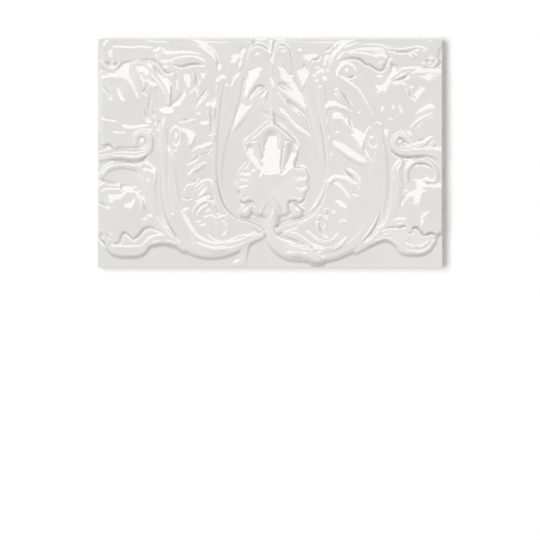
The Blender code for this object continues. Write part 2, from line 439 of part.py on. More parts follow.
def inner_leaf_left(r):
    """The acanthus that curls inside the left scroll."""
    r.pad([(-70, 18), (-62, 28), (-50, 38), (-42, 48), (-38, 60), (-33, 58), (-33, 30), (-34.5, 15),
           (-35.6, 4), (-36, -8), (-36, -20), (-35, -28), (-30, -38), (-22, -45), (-8, -53), (-20, -62),
           (-35, -63), (-50, -58), (-60, -44), (-64, -26), (-68, -8), (-70, 4)],
          [(-60, 20, 2.6), (-42, 34, 2.4), (-38, 50, 2.3), (-40, 10, 1.9), (-40, -4, 1.9), (-44, -14, 2.1),
           (-45, -30, 2.3), (-40, -42, 2.4), (-24, -50, 2.6), (-45, -50, 3.2), (-56, -20, 3.0),
           (-60, 0, 2.8), (-50, 0, 2.1), (-50, 12, 2.0)], edge=1.0)
    r.ridge([(-62, 17.6, 0.9, 3.6), (-59.4, 14.6, 1.0, 3.8), (-58.6, 10.4, 1.0, 3.8), (-60, 6.4, 1.0, 3.7),
             (-62, 4.4, 1.0, 3.6), (-64.6, 7, 0.9, 3.6), (-65.4, 11, 0.9, 3.6), (-64.6, 15, 0.9, 3.6),
             (-62.4, 17.8, 0.8, 3.6)])
    r.ridge([(-62, 14.4, 1.3, 3.5), (-61.8, 8, 1.3, 3.5)])
    r.ridge([(-62.5, 1.4, 0.8, 3.2), (-62.5, 1.0, 0.8, 3.2)])
    r.pad([(-58.6, 17.8), (-54.6, 18), (-51, 16), (-49, 12), (-49.4, 8), (-51.6, 4.4), (-55, 4.4),
           (-53.4, 8), (-54.6, 11.6), (-57, 14.4)],
          [(-56, 17, 1.6), (-50.6, 13, 2.2), (-51.4, 6, 4.0), (-55, 12, 3.4), (-54.4, 5.4, 4.0)], edge=0.9)
    r.pad([(-46.6, 22.6), (-40, 22.8), (-40, 18.6), (-45.6, 17.6)],
          [(-45, 22, 1.8), (-41, 22, 1.8), (-45, 18.4, 3.0), (-41, 18.8, 3.0)], edge=0.6)
    r.pad([(-37.6, 40), (-41.6, 34), (-43.2, 30), (-40.6, 27.4), (-37.4, 22), (-35.6, 28)],
          [(-39, 37, 2.0), (-42, 31, 2.4), (-37, 25, 3.8), (-37, 34, 3.2)], edge=0.8)
    r.groove([(-38.8, 33, 0.5, 0.5), (-38.8, 24, 0.7, 1.2), (-38.6, 14, 0.5, 0.8)])
    r.ridge([(-51, 21.6, 1.1, 3.6), (-50.8, 21.4, 1.1, 3.6)])
    lobes = ([(-57.4, -13.4, 0.8, 3.2), (-55.4, -7, 1.8, 3.8), (-52, -1.4, 2.0, 4.2),
              (-47.6, 2.8, 1.9, 4.4), (-43, 4.6, 1.5, 4.2), (-38.6, 5.6, 0.8, 3.6)],
             [(-54.6, -15, 0.8, 3.0), (-50.6, -11.4, 1.5, 3.6), (-46.6, -9, 1.6, 3.8),
              (-43.6, -7, 1.2, 3.4)], [(-46.6, -2, 0.7, 2.8), (-42.6, -0.6, 1.3, 3.4), (-39, 2, 1.0, 3.4)],
             [(-57.4, -26, 0.9, 3.4), (-54.4, -21.8, 1.2, 3.8), (-50.4, -20.2, 1.0, 3.6)],
             [(-51.6, -27.6, 0.8, 3.4), (-48.6, -22.4, 1.2, 4.0), (-43, -18.4, 1.3, 4.2),
              (-38.6, -19, 1.2, 4.0), (-36.8, -24, 1.0, 3.6)],
             [(-47.6, -29, 1.2, 3.2), (-44, -25.6, 1.6, 3.8), (-42, -21.6, 1.3, 3.8)],
             [(-49, -33, 0.9, 3.4), (-44, -30, 1.1, 3.6), (-38.6, -29, 1.0, 3.4)],
             [(-50.4, -44, 1.2, 3.6), (-50, -38, 1.2, 3.8), (-47, -33.6, 1.2, 3.8),
              (-41.6, -31.4, 1.2, 3.6), (-37.2, -34, 1.0, 3.4), (-36, -39, 0.9, 3.2)],
             [(-47, -45.6, 1.9, 4.0), (-46.6, -47.6, 1.9, 4.0)],
             [(-57.4, -36.6, 1.6, 4.6), (-57, -37.4, 1.6, 4.6)],
             [(-41.6, -36.6, 1.4, 3.2), (-40, -41, 1.4, 3.2), (-43.6, -42.6, 1.0, 3.0)],
             [(-37.4, -42, 0.9, 3.2), (-35.6, -48, 1.0, 3.2), (-36.6, -53, 0.8, 3.2)],
             [(-33.6, -43, 0.9, 3.4), (-30.4, -41.6, 0.9, 3.6), (-28.6, -43.6, 0.8, 3.6)],
             [(-30.6, -45, 0.8, 3.4), (-29, -49, 0.9, 3.6), (-28.8, -53, 1.0, 3.6),
              (-31.6, -54.6, 0.8, 3.4)])
    for lobe in lobes:
        r.ridge(lobe, blend=0.3)


def husk(r):
    """The hanging leaf above the palmette."""
    left = [(-3, 70), (-8, 71.8), (-13.5, 69), (-15.2, 62), (-15.6, 55), (-17, 45), (-20, 32), (-25.2, 13),
            (-17, 21), (-9, 27.5), (0, 28), (1, 40), (1, 55), (1, 66)]
    r.pad(left, [(-8, 68, 3.2), (-8, 61, 2.6), (-12, 62, 2.5), (-11, 56.6, 2.2), (-6, 56, 2.4),
                 (-8, 48, 2.6), (-14, 50, 2.2), (-16.4, 42, 2.0), (-14, 36, 2.8), (-18.6, 34, 2.0),
                 (-16, 30, 2.2), (-23, 20, 1.4), (-17, 22.5, 1.5), (-9, 31, 1.8), (-12, 34, 2.2),
                 (-4, 37, 2.6), (-24, 15, 1.0), (-1, 50, 2.8), (-3, 60, 2.8)], edge=1.0)
    right = [(4, 70), (8, 71.8), (13, 69), (15, 62), (16, 54), (18, 44), (23, 35), (24.8, 26.5), (17, 31.5),
             (12, 34.5), (19, 28), (24.5, 20), (28.4, 8.5), (20, 13.5), (12, 20.5), (4.6, 25), (0.8, 30),
             (0.8, 44), (0.8, 60)]
    r.pad(right, [(8, 68, 3.2), (8, 61, 2.6), (9, 57, 2.2), (14, 50, 2.2), (9, 46.6, 2.6), (16, 42.6, 2.2),
                  (20, 38, 2.0), (17, 32.6, 1.9), (23.6, 28, 1.5), (10, 38, 2.4), (9, 33, 2.2),
                  (17, 26, 1.7), (23.5, 18, 1.4), (8, 29, 2.0), (13, 21.6, 1.8), (20, 15, 1.5),
                  (27, 10, 1.0), (3, 50, 2.8)], edge=1.0)
    r.ridge([(0.6, 77, 2.6, 1.6), (0.6, 68, 1.4, 2.8), (0.8, 58, 1.3, 3.4), (1.2, 46, 1.7, 3.5),
             (1.2, 36, 1.6, 3.0), (1.0, 28, 1.3, 2.6), (1.4, 21, 1.3, 3.2)])
    r.groove([(-14.6, 34.6, 0.8, 0.6), (-11.5, 39.6, 2.2, 2.0), (-7.5, 43, 2.4, 2.6),
              (-4.4, 43.4, 1.8, 1.8)])
    r.groove([(-9.8, 33.8, 0.5, 0.4), (-6, 37.6, 1.2, 1.2), (-3, 41.5, 1.4, 1.4)])
    r.groove([(14.8, 39.8, 0.8, 0.5), (11.5, 43, 2.0, 2.0), (8, 44.6, 2.0, 2.4), (6, 44.8, 1.4, 1.4)])
    r.groove([(5, 41, 0.8, 0.6), (10, 36, 1.4, 1.4), (17, 29.4, 1.3, 1.2)])


def stub(r):
    r.band([(-10, -58, -9, -55, 2.4), (-16, -60, -12, -57.6, 2.6), (-19.6, -63, -13.8, -63, 2.8),
            (-20, -68, -14.6, -69, 2.6), (-21, -71, -15.4, -73, 1.2), (-25, -73.4, -17, -76, 0.4)],
           (0, 0.5, 1), 0.4)


def right_heart_band(r):
    r.band([(37.4, 52, 30, 52, 2.4), (38, 44, 30, 43.6, 2.6), (38.4, 34, 31, 33, 2.6),
            (39, 24, 32.6, 23.4, 2.6), (39.8, 13, 34.8, 12.4, 2.4), (40.6, 1, 36.8, 0, 2.2),
            (40.2, -12, 37.4, -12, 2.2), (39, -25, 35.6, -23.4, 2.4), (35.4, -35.8, 31.8, -32, 2.4),
            (29, -44.5, 26.2, -39.4, 2.4), (20, -49.5, 18.4, -43, 2.4), (11, -52, 10, -46.4, 2.4),
            (3, -54, 2, -50, 2.6)], (0, 0.5, 1), 0.4)


def right_scroll(r):
    """The right scroll: its thick stem, and the finer arc that turns over at the top."""
    r.band([(3, -49, -2, -49, 4.4), (5.6, -54, -2, -57, 4.4), (11, -56.5, 1, -63.4, 4.4),
            (18, -57.6, 9, -69.6, 4.5), (27, -57.6, 20, -71.3, 4.5), (36, -58.6, 32, -72.6, 4.5),
            (46, -56.5, 45, -69.8, 4.5), (54, -50, 57, -64.6, 4.5), (59, -41, 66, -57.4, 4.4),
            (62, -30, 73, -48, 4.2), (64, -18, 77.6, -35, 4.0), (66, -6, 78.6, -18, 3.9),
            (68.4, 3, 77.8, -5, 3.8), (69.6, 10, 76, 8, 3.6), (66.5, 16, 75, 19, 3.2)],
           (0, 0.18, 0.3, 0.4, 0.55, 0.67, 0.84, 1), 0.7)
    r.band([(69.6, 10, 76, 8, 3.4), (66.5, 16, 75, 19, 3.3), (62, 23.5, 72, 28, 3.1),
            (56, 31.5, 66, 37, 3.0), (50, 38.5, 58, 44, 3.0), (44.4, 44, 51, 49, 3.0),
            (40, 50, 45.5, 52, 3.0), (38.6, 57, 44.8, 57, 2.9), (40.4, 64, 46.4, 62, 2.8),
            (46, 71, 50.5, 65.2, 2.6), (54, 76.5, 56.5, 68, 2.4), (66, 77, 66, 70, 2.2),
            (78, 77, 78, 70, 1.9), (90, 77, 90, 69.4, 1.7), (100, 77, 99.6, 70.6, 1.7),
            (107, 75, 103.4, 69.8, 1.8), (111.4, 69, 105, 66.5, 1.9), (111, 62, 105.6, 62.4, 2.0)],
           (0, 0.18, 0.4, 0.67, 1), 0.1, 8)
    r.ridge([(102.4, 61.6, 1.2, 3.0), (104.4, 58.6, 1.4, 3.4), (108.4, 58.8, 1.5, 3.4),
             (110.6, 61.4, 1.4, 3.4)])
    r.ridge([(106.4, 62.6, 1.4, 3.2), (106.8, 62.4, 1.4, 3.2)])
    r.ridge([(94.4, 64.6, 3.0, 2.6), (94.9, 64.4, 3.0, 2.6)])
    r.ridge([(12, -65.4, 1.1, 5.2), (17, -66.8, 1.2, 5.4), (23, -66.6, 1.0, 5.2)])
    r.pad([(25.4, -60.6), (29.6, -60), (33.6, -61.6), (35.4, -66), (38, -70.6), (33, -73), (28, -72.2),
           (25.6, -68)], [(30, -66, 6.2), (34, -70, 5.0), (27, -62, 5.6)], edge=1.8)


def hood_right(r):
    r.pad([(44, 62), (46, 70), (56, 73), (66, 73), (76, 72), (81, 66.6), (78.4, 62.4), (77, 58),
           (75.6, 54.8), (71, 54.4), (67.6, 57.4), (64.4, 57.4), (62.6, 60.6), (58.6, 63.6), (53, 64.6),
           (49, 63.4)], [(48, 65, 2.7), (55, 66.6, 2.8), (62, 62.4, 2.9), (66, 59.4, 2.9),
                         (72.4, 56.4, 3.0), (76, 60, 2.7), (79, 65.6, 2.2), (66, 68.6, 2.5),
                         (74, 67.4, 2.4), (66, 65, 2.7), (60, 71.6, 2.3), (72, 71, 2.2)], edge=1.2)
    r.ridge([(73.5, 59.6, 1.3, 4.0), (73.7, 59.2, 1.3, 4.0)])


def arch_fan_right(r):
    r.pad([(72, 16), (80, 24), (80, 46), (80, 62), (70, 66), (60, 66), (48, 66), (40, 60), (40, 50),
           (48, 42), (56, 34), (64, 26)], [(71, 26, 3.0), (76, 45, 2.7), (62, 44, 2.9), (58, 56, 2.6),
                                           (66, 54, 2.6), (50, 60, 2.6), (48, 50, 2.8), (68, 36, 3.0)],
          edge=1.0)
    r.ridge([(45, 46, 1.2, 3.4), (44.9, 50.4, 1.3, 3.6), (46, 55.6, 1.4, 3.6), (49.6, 59, 1.4, 3.6),
             (54, 58, 1.4, 3.4), (56.4, 54, 1.3, 3.2), (55, 50.4, 1.2, 3.0), (51.4, 50.8, 1.0, 2.8)])
    r.ridge([(50.6, 56, 1.4, 3.0), (51, 53.6, 1.4, 3.0)])
    r.ridge([(70, 25, 0.9, 3.3), (65, 32.6, 1.0, 3.4), (58.4, 41.4, 0.8, 3.1)])
    r.pad([(69.4, 44.4), (74, 43.6), (77, 46), (78.4, 51), (80.6, 54.6), (83.4, 56.2), (81, 51), (79, 45.6),
           (77.4, 40), (74.4, 38.4), (72, 36.6), (71, 41)],
          [(71, 43.6, 2.6), (75.6, 46, 2.7), (80, 53.6, 2.6), (78, 44, 3.4), (74, 39, 3.4),
           (81.6, 53, 3.0)], edge=0.8)
    r.pad([(70.8, 52.2), (74.4, 51.8), (74.2, 49.6), (71.4, 49.4)],
          [(71, 52, 1.6), (74, 51.6, 1.6), (72, 49.8, 3.0), (74, 49.8, 3.0)], edge=0.5)
    r.ridge([(73.6, 25, 1.2, 3.1), (74.4, 31, 1.3, 3.3), (74, 36, 1.0, 3.1)])
    r.ridge([(77.6, 38, 0.9, 3.3), (76.8, 31, 0.8, 3.3), (77.2, 25, 0.8, 3.2)])


def corner_leaf_right(r):
    outline = [(76, 6), (75, 26), (75, 44), (78, 52), (84, 56), (92, 57), (96, 57), (98.4, 58.4), (102, 56),
               (108, 56), (113, 56), (113, 45), (113, 30), (113, 16), (113, 4), (97, 2), (86, 2)]
    r.pad(outline, [(83, 22, 2.7), (81, 34, 2.7), (83, 46, 2.7), (88, 53, 2.3), (94, 54, 2.3),
                    (104, 54.6, 2.3), (96, 47, 2.7), (104, 48, 2.9), (108, 42, 2.9), (100, 45, 2.8),
                    (95, 36, 3.0), (104, 35, 2.8), (110, 33, 2.8), (104, 28, 3.0), (88, 38, 2.9),
                    (88, 28, 2.9), (90, 15, 2.7), (94, 10, 2.8), (98, 22, 3.0), (106, 20, 2.9),
                    (110, 16, 2.8), (101, 13, 2.8)], edge=0.6)
    r.ridge([(80.8, 44, 0.9, 3.0), (83.6, 48.6, 1.0, 3.2), (88, 51.6, 0.9, 3.2), (91.6, 53.4, 0.7, 2.9)])
    r.groove([(84, 47.2, 0.6, 0.6), (87, 49.6, 0.8, 1.2), (91.4, 51, 0.6, 0.8)])
    r.ridge([(82.4, 42, 0.8, 3.0), (85.4, 46, 1.0, 3.3), (90.4, 45, 0.9, 3.2)])
    r.groove([(90, 43.6, 0.8, 0.6), (92.2, 40.6, 1.3, 1.2), (93.8, 36.6, 0.9, 0.6)])
    r.groove([(82.2, 35, 0.6, 0.5), (82.6, 30, 0.8, 0.9), (83.4, 24, 0.6, 0.4)])
    r.ridge([(85.2, 33.4, 1.3, 3.3), (86.4, 28.4, 1.3, 3.4), (87.8, 23.6, 0.8, 3.2)])
    r.ridge([(92.6, 14, 0.8, 3.2), (94.6, 18, 1.1, 3.7), (98.4, 21.8, 1.1, 3.8), (102.6, 24.6, 1.0, 3.6),
             (108, 26.8, 0.8, 3.2)])
    r.ridge([(96.4, 15, 0.8, 3.2), (98.2, 18.6, 1.1, 3.5), (103, 22.4, 0.9, 3.4), (108, 24, 0.7, 3.2)])
    r.ridge([(101.4, 52.4, 0.8, 2.9), (103.4, 50, 0.9, 3.3), (105.4, 47.6, 0.7, 3.3)])
    r.ridge([(78.6, 23.6, 1.3, 3.2), (80.6, 21.6, 1.2, 3.2)])
    r.pad([(75.2, 17), (78.8, 16.8), (78, 10), (77, 5.6), (75.6, 11)],
          [(76, 16.4, 1.4), (78.4, 16, 1.4), (77, 6.4, 3.8)], edge=0.6)


def side_scroll_right(r):
    r.band([(116, 3.6, 116, -6.4, 3.4), (108, 5.2, 107.6, -3.6, 4.0), (101, 4.4, 100.8, -2.2, 4.2),
            (93, 4.4, 93, -3.1, 4.4), (88, 4.0, 86.4, -2.6, 4.5), (85.8, 4.8, 81.6, 1.6, 4.6),
            (84.8, 7, 80.2, 7, 4.6), (85.6, 9.6, 83, 12, 4.5), (87.2, 10, 87.6, 12.6, 4.2),
            (88.6, 8.4, 90.6, 10, 4.0), (90.4, 6.6, 92.4, 7.4, 3.6)][::-1], (0, 0.5, 1), 0.6)
    r.ridge([(86.2, 7.6, 1.5, 4.2), (86.6, 7.2, 1.5, 4.2)])
    r.ridge([(93, 5.4, 0.7, 4.2), (98.2, 4.8, 0.9, 4.8), (102, 6.2, 0.9, 4.8), (104.6, 9, 0.9, 4.4),
             (107, 10.6, 0.7, 4.0)])
    r.ridge([(107.8, 6.2, 1.2, 4.8), (108, 6, 1.2, 4.8)])


def cup_flower_right(r):
    lip = [(112, -50), (110.8, -56), (109, -60.4), (106, -64.6), (101, -67.4), (94.7, -68.2), (88.6, -67.5),
           (85, -65.4), (81.7, -61), (78.2, -59), (74.7, -59), (69.5, -61), (62.5, -64.6), (55.6, -67.2),
           (54, -60), (62, -52), (72, -47), (82, -46), (92, -48), (104, -50)]
    r.pad(lip, [(109, -57, 3.2), (102, -64, 3.4), (93, -65, 3.6), (86, -62.6, 3.6), (80, -57.4, 3.8),
                (72, -58, 4.0), (98, -59, 3.3), (88, -56, 3.3), (80, -52, 3.6), (62, -60, 4.0)], edge=1.8)
    r.ridge([(59, -61.6, 0.8, 4.0), (65, -59.4, 1.0, 4.4), (71.2, -55.2, 1.1, 4.4), (79, -53.4, 0.9, 4.0)])
    r.ridge([(65, -60.4, 0.8, 4.2), (71.2, -57, 1.0, 4.4), (76, -55.8, 1.1, 4.2), (80.4, -57, 1.1, 4.0),
             (85.2, -60.4, 1.1, 3.8), (90, -63.8, 1.1, 3.8), (95, -65, 1.1, 3.9), (101, -64.6, 1.1, 3.8),
             (105.4, -62, 1.0, 3.6), (108.6, -57.6, 0.8, 3.4)])
    r.ridge([(89.5, -59.4, 0.8, 3.5), (93, -61.4, 1.1, 4.0), (98.2, -61.8, 1.1, 4.0),
             (102.4, -60.4, 1.0, 3.9), (105, -58, 0.7, 3.5)])
    body = [(96, -16), (104.5, -15.6), (108.4, -20), (113, -21), (113.6, -35), (113, -48), (110, -54.8),
            (107.3, -53.2), (104.6, -54), (102.2, -54.6), (99.9, -52.6), (98, -50), (95.4, -49.6),
            (93.8, -53.6), (91.4, -53.4), (89.6, -49), (86, -49.6), (82.4, -49.4), (78, -50), (73.8, -51.6),
            (78, -44), (84, -36), (88, -30), (91, -22), (93, -17)]
    r.pad([(78, -4), (78, -22), (90, -30), (114, -28), (114, -4)],
          [(84, -14, 2.4), (98, -11, 2.2), (108, -14, 2.2), (98, -22, 2.8)], edge=1.2)
    r.pad(body, [(97, -17, 2.4), (103, -16.4, 2.4), (98, -26, 3.3), (97, -35, 4.1), (106, -24, 3.4),
                 (108, -34, 3.8), (104, -37, 3.9), (101, -44, 4.3), (99.6, -50, 4.8), (92, -40, 4.4),
                 (88, -43.6, 3.9), (82, -45, 3.8), (82, -48, 4.2), (88, -47.6, 4.6), (90.6, -30, 3.4),
                 (88, -35, 3.7), (106, -46, 4.4), (110, -48, 4.2), (94, -46, 4.7), (105, -52, 4.8)],
          edge=1.3)
    r.ridge([(101, -22, 0.8, 3.0), (107, -22.8, 1.0, 3.6), (112, -22.6, 0.8, 3.4)])
    r.ridge([(104.6, -37, 1.3, 4.4), (102, -42, 1.5, 4.8), (100.2, -48.6, 0.9, 5.2)])
    r.ridge([(80.6, -45.6, 0.9, 4.0), (84.8, -43.4, 1.5, 4.6), (89.4, -43.4, 1.2, 4.8)])
    r.groove([(98.6, -46.6, 0.6, 0.6), (97.4, -50, 0.8, 0.8)])
    r.band([(60, -61.4, 61, -62.6, 3.2), (67, -56.4, 69.5, -58.2, 3.8), (73.4, -48.4, 78.4, -51.6, 4.0),
            (77.4, -38, 84.5, -43, 4.0), (78.8, -28, 88, -33, 3.9), (79, -18, 88.6, -22, 3.8),
            (80.6, -9, 88.4, -13, 3.8), (84.4, -4.6, 88.8, -8.6, 3.6)], (0, 0.4, 0.75, 1), 0.6)
    r.band([(88.6, -19, 92.4, -18, 3.6), (88.2, -11, 92.6, -11.6, 3.8), (91.6, -6, 95, -8.6, 3.8),
            (96.6, -3.6, 98, -7.2, 3.8), (102, -3.2, 102, -7, 3.8), (107.4, -5.6, 105.6, -8.6, 3.8),
            (111, -10.4, 108, -11.6, 3.6), (111.6, -15.6, 108.8, -15.6, 3.6),
            (110.4, -20.6, 107.4, -19, 3.4), (104.6, -20, 104.8, -18, 3.0)], (0, 0.5, 1), 0.5)


def inner_leaf_right(r):
    """The acanthus that curls inside the right scroll."""
    r.pad([(74, 18), (66, 30), (54, 42), (42, 52), (35, 56), (33, 30), (36, 15), (38.4, 2), (38.8, -10),
           (38, -20), (36, -29), (31, -37), (23, -44), (8, -53), (20, -62), (35, -65), (48, -62), (59, -50),
           (66, -34), (70, -16), (73, 0), (75, 10)],
          [(62, 20, 2.6), (44, 36, 2.2), (42, 15, 2.0), (48, 10, 1.8), (44, 0, 2.0), (50, -6, 2.0),
           (60, -12, 3.0), (42, -26, 2.2), (50, -28, 2.8), (42, -40, 2.6), (28, -50, 2.8), (46, -50, 3.6),
           (58, -26, 3.6), (66, 6, 3.0), (56, -40, 3.8), (38, -50, 2.8), (42, 48, 2.2)], edge=1.0)
    r.ridge([(65.6, 17, 0.9, 3.6), (63.6, 12, 0.9, 3.7), (64.2, 7, 0.9, 3.7), (68.4, 3.4, 1.0, 3.7),
             (71, 6.6, 0.9, 3.7), (70.6, 11, 0.8, 3.6), (67.4, 15.6, 0.8, 3.6)])
    r.ridge([(67.2, 11.2, 1.5, 3.6), (67.6, 8.8, 1.4, 3.6)])
    r.pad([(51.6, 24), (54, 23), (56, 18.4), (58.6, 15.6), (62, 14.6), (62.4, 9), (62, 4), (64.6, -0.4),
           (65, -8.4), (61.6, -1), (59, 3), (56.2, 6.4), (54.6, 12), (51.8, 17), (49, 20)],
          [(53.4, 22, 2.2), (57.6, 15, 2.2), (61.6, 13, 2.4), (61, 5, 3.4), (64.4, -4, 3.8),
           (55, 12.6, 3.8), (50, 19.6, 3.6), (58, 4.6, 4.2)], edge=0.8)
    r.pad([(41.2, 8.4), (46, 7.2), (52, 3.8), (58.6, -1.6), (64.4, -7.6), (60.8, -8.2), (55, -5),
           (49.6, -1.6), (44.8, 2), (41.4, 5)], [(42, 7.8, 1.8), (49, 5, 2.2), (56, 0, 2.6), (44, 3.2, 3.8),
                                                 (50, -1, 4.4), (58, -5.6, 4.4), (63.4, -7, 3.6)], edge=0.8)
    r.ridge([(63, 1, 0.7, 3.6), (65.2, -3.6, 0.8, 4.0), (67, -8, 0.6, 3.8)])
    r.pad([(41.6, 27.4), (47, 27), (49.4, 20.6), (45, 21.6), (41.4, 22)],
          [(42, 27, 1.8), (46.6, 26.6, 1.8), (48.6, 21, 3.6), (42, 22.4, 3.4)], edge=0.6)
    r.ridge([(49, 21, 0.9, 3.6), (51.4, 16, 1.0, 3.6), (53.6, 11, 0.8, 3.4)])
    lobes = ([(37.6, 29.6, 0.9, 3.8), (39.6, 32.8, 1.3, 4.2), (42, 33.4, 1.2, 4.2), (46, 31, 1.2, 4.2),
              (50, 29.4, 1.2, 4.0), (53.6, 27, 0.8, 3.6)],
             [(44.6, 42, 0.8, 4.0), (49, 36, 1.0, 4.4), (54.6, 30.6, 0.7, 3.8)],
             [(43.4, 38.6, 0.6, 3.6), (47.4, 33.8, 0.8, 3.8), (51.6, 30.6, 0.6, 3.4)],
             [(45.6, 40.6, 0.5, 4.6), (50, 34.6, 0.6, 4.8), (53.4, 31.4, 0.5, 4.2)],
             [(44.7, 13.7, 1.2, 2.8), (45, 13.4, 1.2, 2.8)],
             [(39.6, -20.6, 0.8, 3.4), (41, -17, 1.1, 3.8), (46, -16, 1.2, 4.0), (50.6, -17.6, 1.2, 3.8),
              (54, -20.6, 0.9, 3.4)],
             [(43.2, -20.4, 0.8, 3.0), (47.6, -23.8, 1.3, 3.8), (53.2, -31, 0.9, 3.8)],
             [(52, -11, 0.9, 3.4), (56.2, -14.4, 1.2, 4.0), (59.2, -19, 1.2, 4.0), (59.4, -24, 0.9, 3.6)],
             [(55, -16, 0.7, 3.4), (57, -19.6, 0.8, 3.6), (57.4, -24, 0.6, 3.4)],
             [(44, -32.6, 1.4, 3.2), (47.6, -34.6, 2.0, 4.2), (50.4, -38, 1.0, 3.8)],
             [(37, -37.4, 1.4, 3.8), (37.2, -38, 1.4, 3.8)], [(42, -39, 0.9, 3.4), (42, -41.6, 0.9, 3.6)],
             [(47.6, -44.6, 1.8, 4.2), (47.8, -45.6, 1.8, 4.2)],
             [(32, -42, 1.4, 4.0), (32.2, -42.4, 1.4, 4.0)],
             [(31.4, -45.6, 0.9, 3.6), (32.2, -51, 1.0, 3.8), (35.8, -56.4, 0.8, 3.4)],
             [(36.6, -41.6, 0.8, 3.4), (37.6, -46, 1.1, 3.8), (35.6, -50.4, 0.9, 3.6)],
             [(25, -52.4, 0.9, 4.2), (30, -57, 1.1, 4.6), (34.6, -59, 1.2, 4.8), (39, -58.8, 1.2, 4.8),
              (42.6, -56.6, 1.1, 4.6), (44.6, -53.4, 0.8, 4.2)],
             [(34, -63.6, 0.9, 5.2), (40.8, -63.6, 1.2, 5.6), (46, -61, 1.2, 5.6), (50.2, -56.4, 0.8, 5.2)])
    for lobe in lobes:
        r.ridge(lobe, blend=0.3)


def palmette_faces(r):
    r.facet([(-2.6, 9), (0, 10.3), (4.6, 10.3), (5.4, 6), (7.4, 2.4), (7, -3), (6.4, -9), (7.2, -14.6),
             (2, -13.8), (-3, -14.6), (-5, -12), (-5.4, -5), (-5, 0), (-4.6, 5)])
    r.facet([(14.4, -1), (16.6, -1), (16.4, -5), (15.2, -8.4), (11.5, -11.6), (8, -14.6), (7.4, -12.5),
             (10, -9.5), (12.4, -5.4)])
    r.facet([(-15.6, 2), (-13, 2.6), (-10.6, 0.8), (-9.8, -3), (-6, -7.4), (-5, -11), (-5.6, -14),
             (-8, -17.6), (-7.6, -15), (-6.4, -10.5), (-9.6, -7.4), (-12.6, -4), (-15, -0.4)])
    r.facet([(16, -19.4), (18.5, -15.8), (21.5, -13.8), (22.4, -15), (20, -17.8), (18, -19.4)])
    r.facet([(18.6, -24.6), (20.4, -23), (24, -21.8), (24, -23.2), (21, -24.9)])
    r.facet([(-21, -20.6), (-18.6, -21.2), (-17, -23.4), (-18, -24.4), (-20, -23)])
    r.streak([(-16, 9.6, 1.3), (-12, 11.8, 1.3), (-8.6, 15, 1.3), (-5.2, 18.2, 1.3), (-1.6, 20, 1.4),
              (2, 20.6, 1.4), (6, 19.4, 1.4), (9.6, 16.8, 1.3), (13, 13, 1.3), (17, 9.8, 1.2)])
    for x, y, radius in ((-18.8, -13.8, 1.5), (-11, -12, 1.4), (-11.2, -31, 1.6), (-14, -35, 1.1),
                         (-18.5, -38.4, 1.9), (-6, -38.8, 1.5), (-7.6, -41.2, 1.2), (14.6, -30.2, 1.7),
                         (15.6, -35, 1.1), (20, -37.6, 1.7), (13.6, -41.2, 1.3)):
        r.spot(x, y, radius)
    r.crease([(-7.2, 8, 0.6, 0.4), (-6, 3, 0.9, 0.9), (-5, -3, 0.8, 0.7), (-6.6, -5.4, 0.5, 0.2)])
    r.crease([(9.6, 7, 0.6, 0.4), (8.2, 0, 0.8, 0.8), (7.4, -7, 0.9, 0.9), (7.6, -11.6, 0.7, 0.5)])
    r.crease([(9.6, 8, 0.7, 0.6), (13, 8.2, 0.8, 0.8), (17, 6, 0.9, 0.7), (18.4, 2, 0.8, 0.6),
              (18.2, -5, 0.6, 0.3)])
    r.crease([(-14.6, 6.8, 0.7, 0.4), (-12, 8, 0.8, 0.7), (-9.4, 7.8, 0.6, 0.4)])
    r.crease([(-19.6, -31, 0.8, 0.6), (-18.4, -33.2, 1.1, 1.2), (-16, -33.3, 1.1, 1.4),
              (-13, -32, 1.1, 1.3), (-10.6, -32.4, 0.8, 0.6)])
    r.crease([(13.6, -31.6, 0.8, 0.7), (16.6, -31.9, 1.1, 1.4), (19.5, -33.1, 1.1, 1.4),
              (22, -31.8, 1.0, 1.0), (23, -28.6, 0.7, 0.4)])
    r.crease([(-19.6, -16.2, 0.8, 0.8), (-16.6, -17, 0.8, 0.6), (-14, -18.6, 0.6, 0.2)])
    r.crease([(16.4, -8.8, 0.7, 0.6), (19, -9, 0.8, 0.7), (22, -10, 0.6, 0.3)])


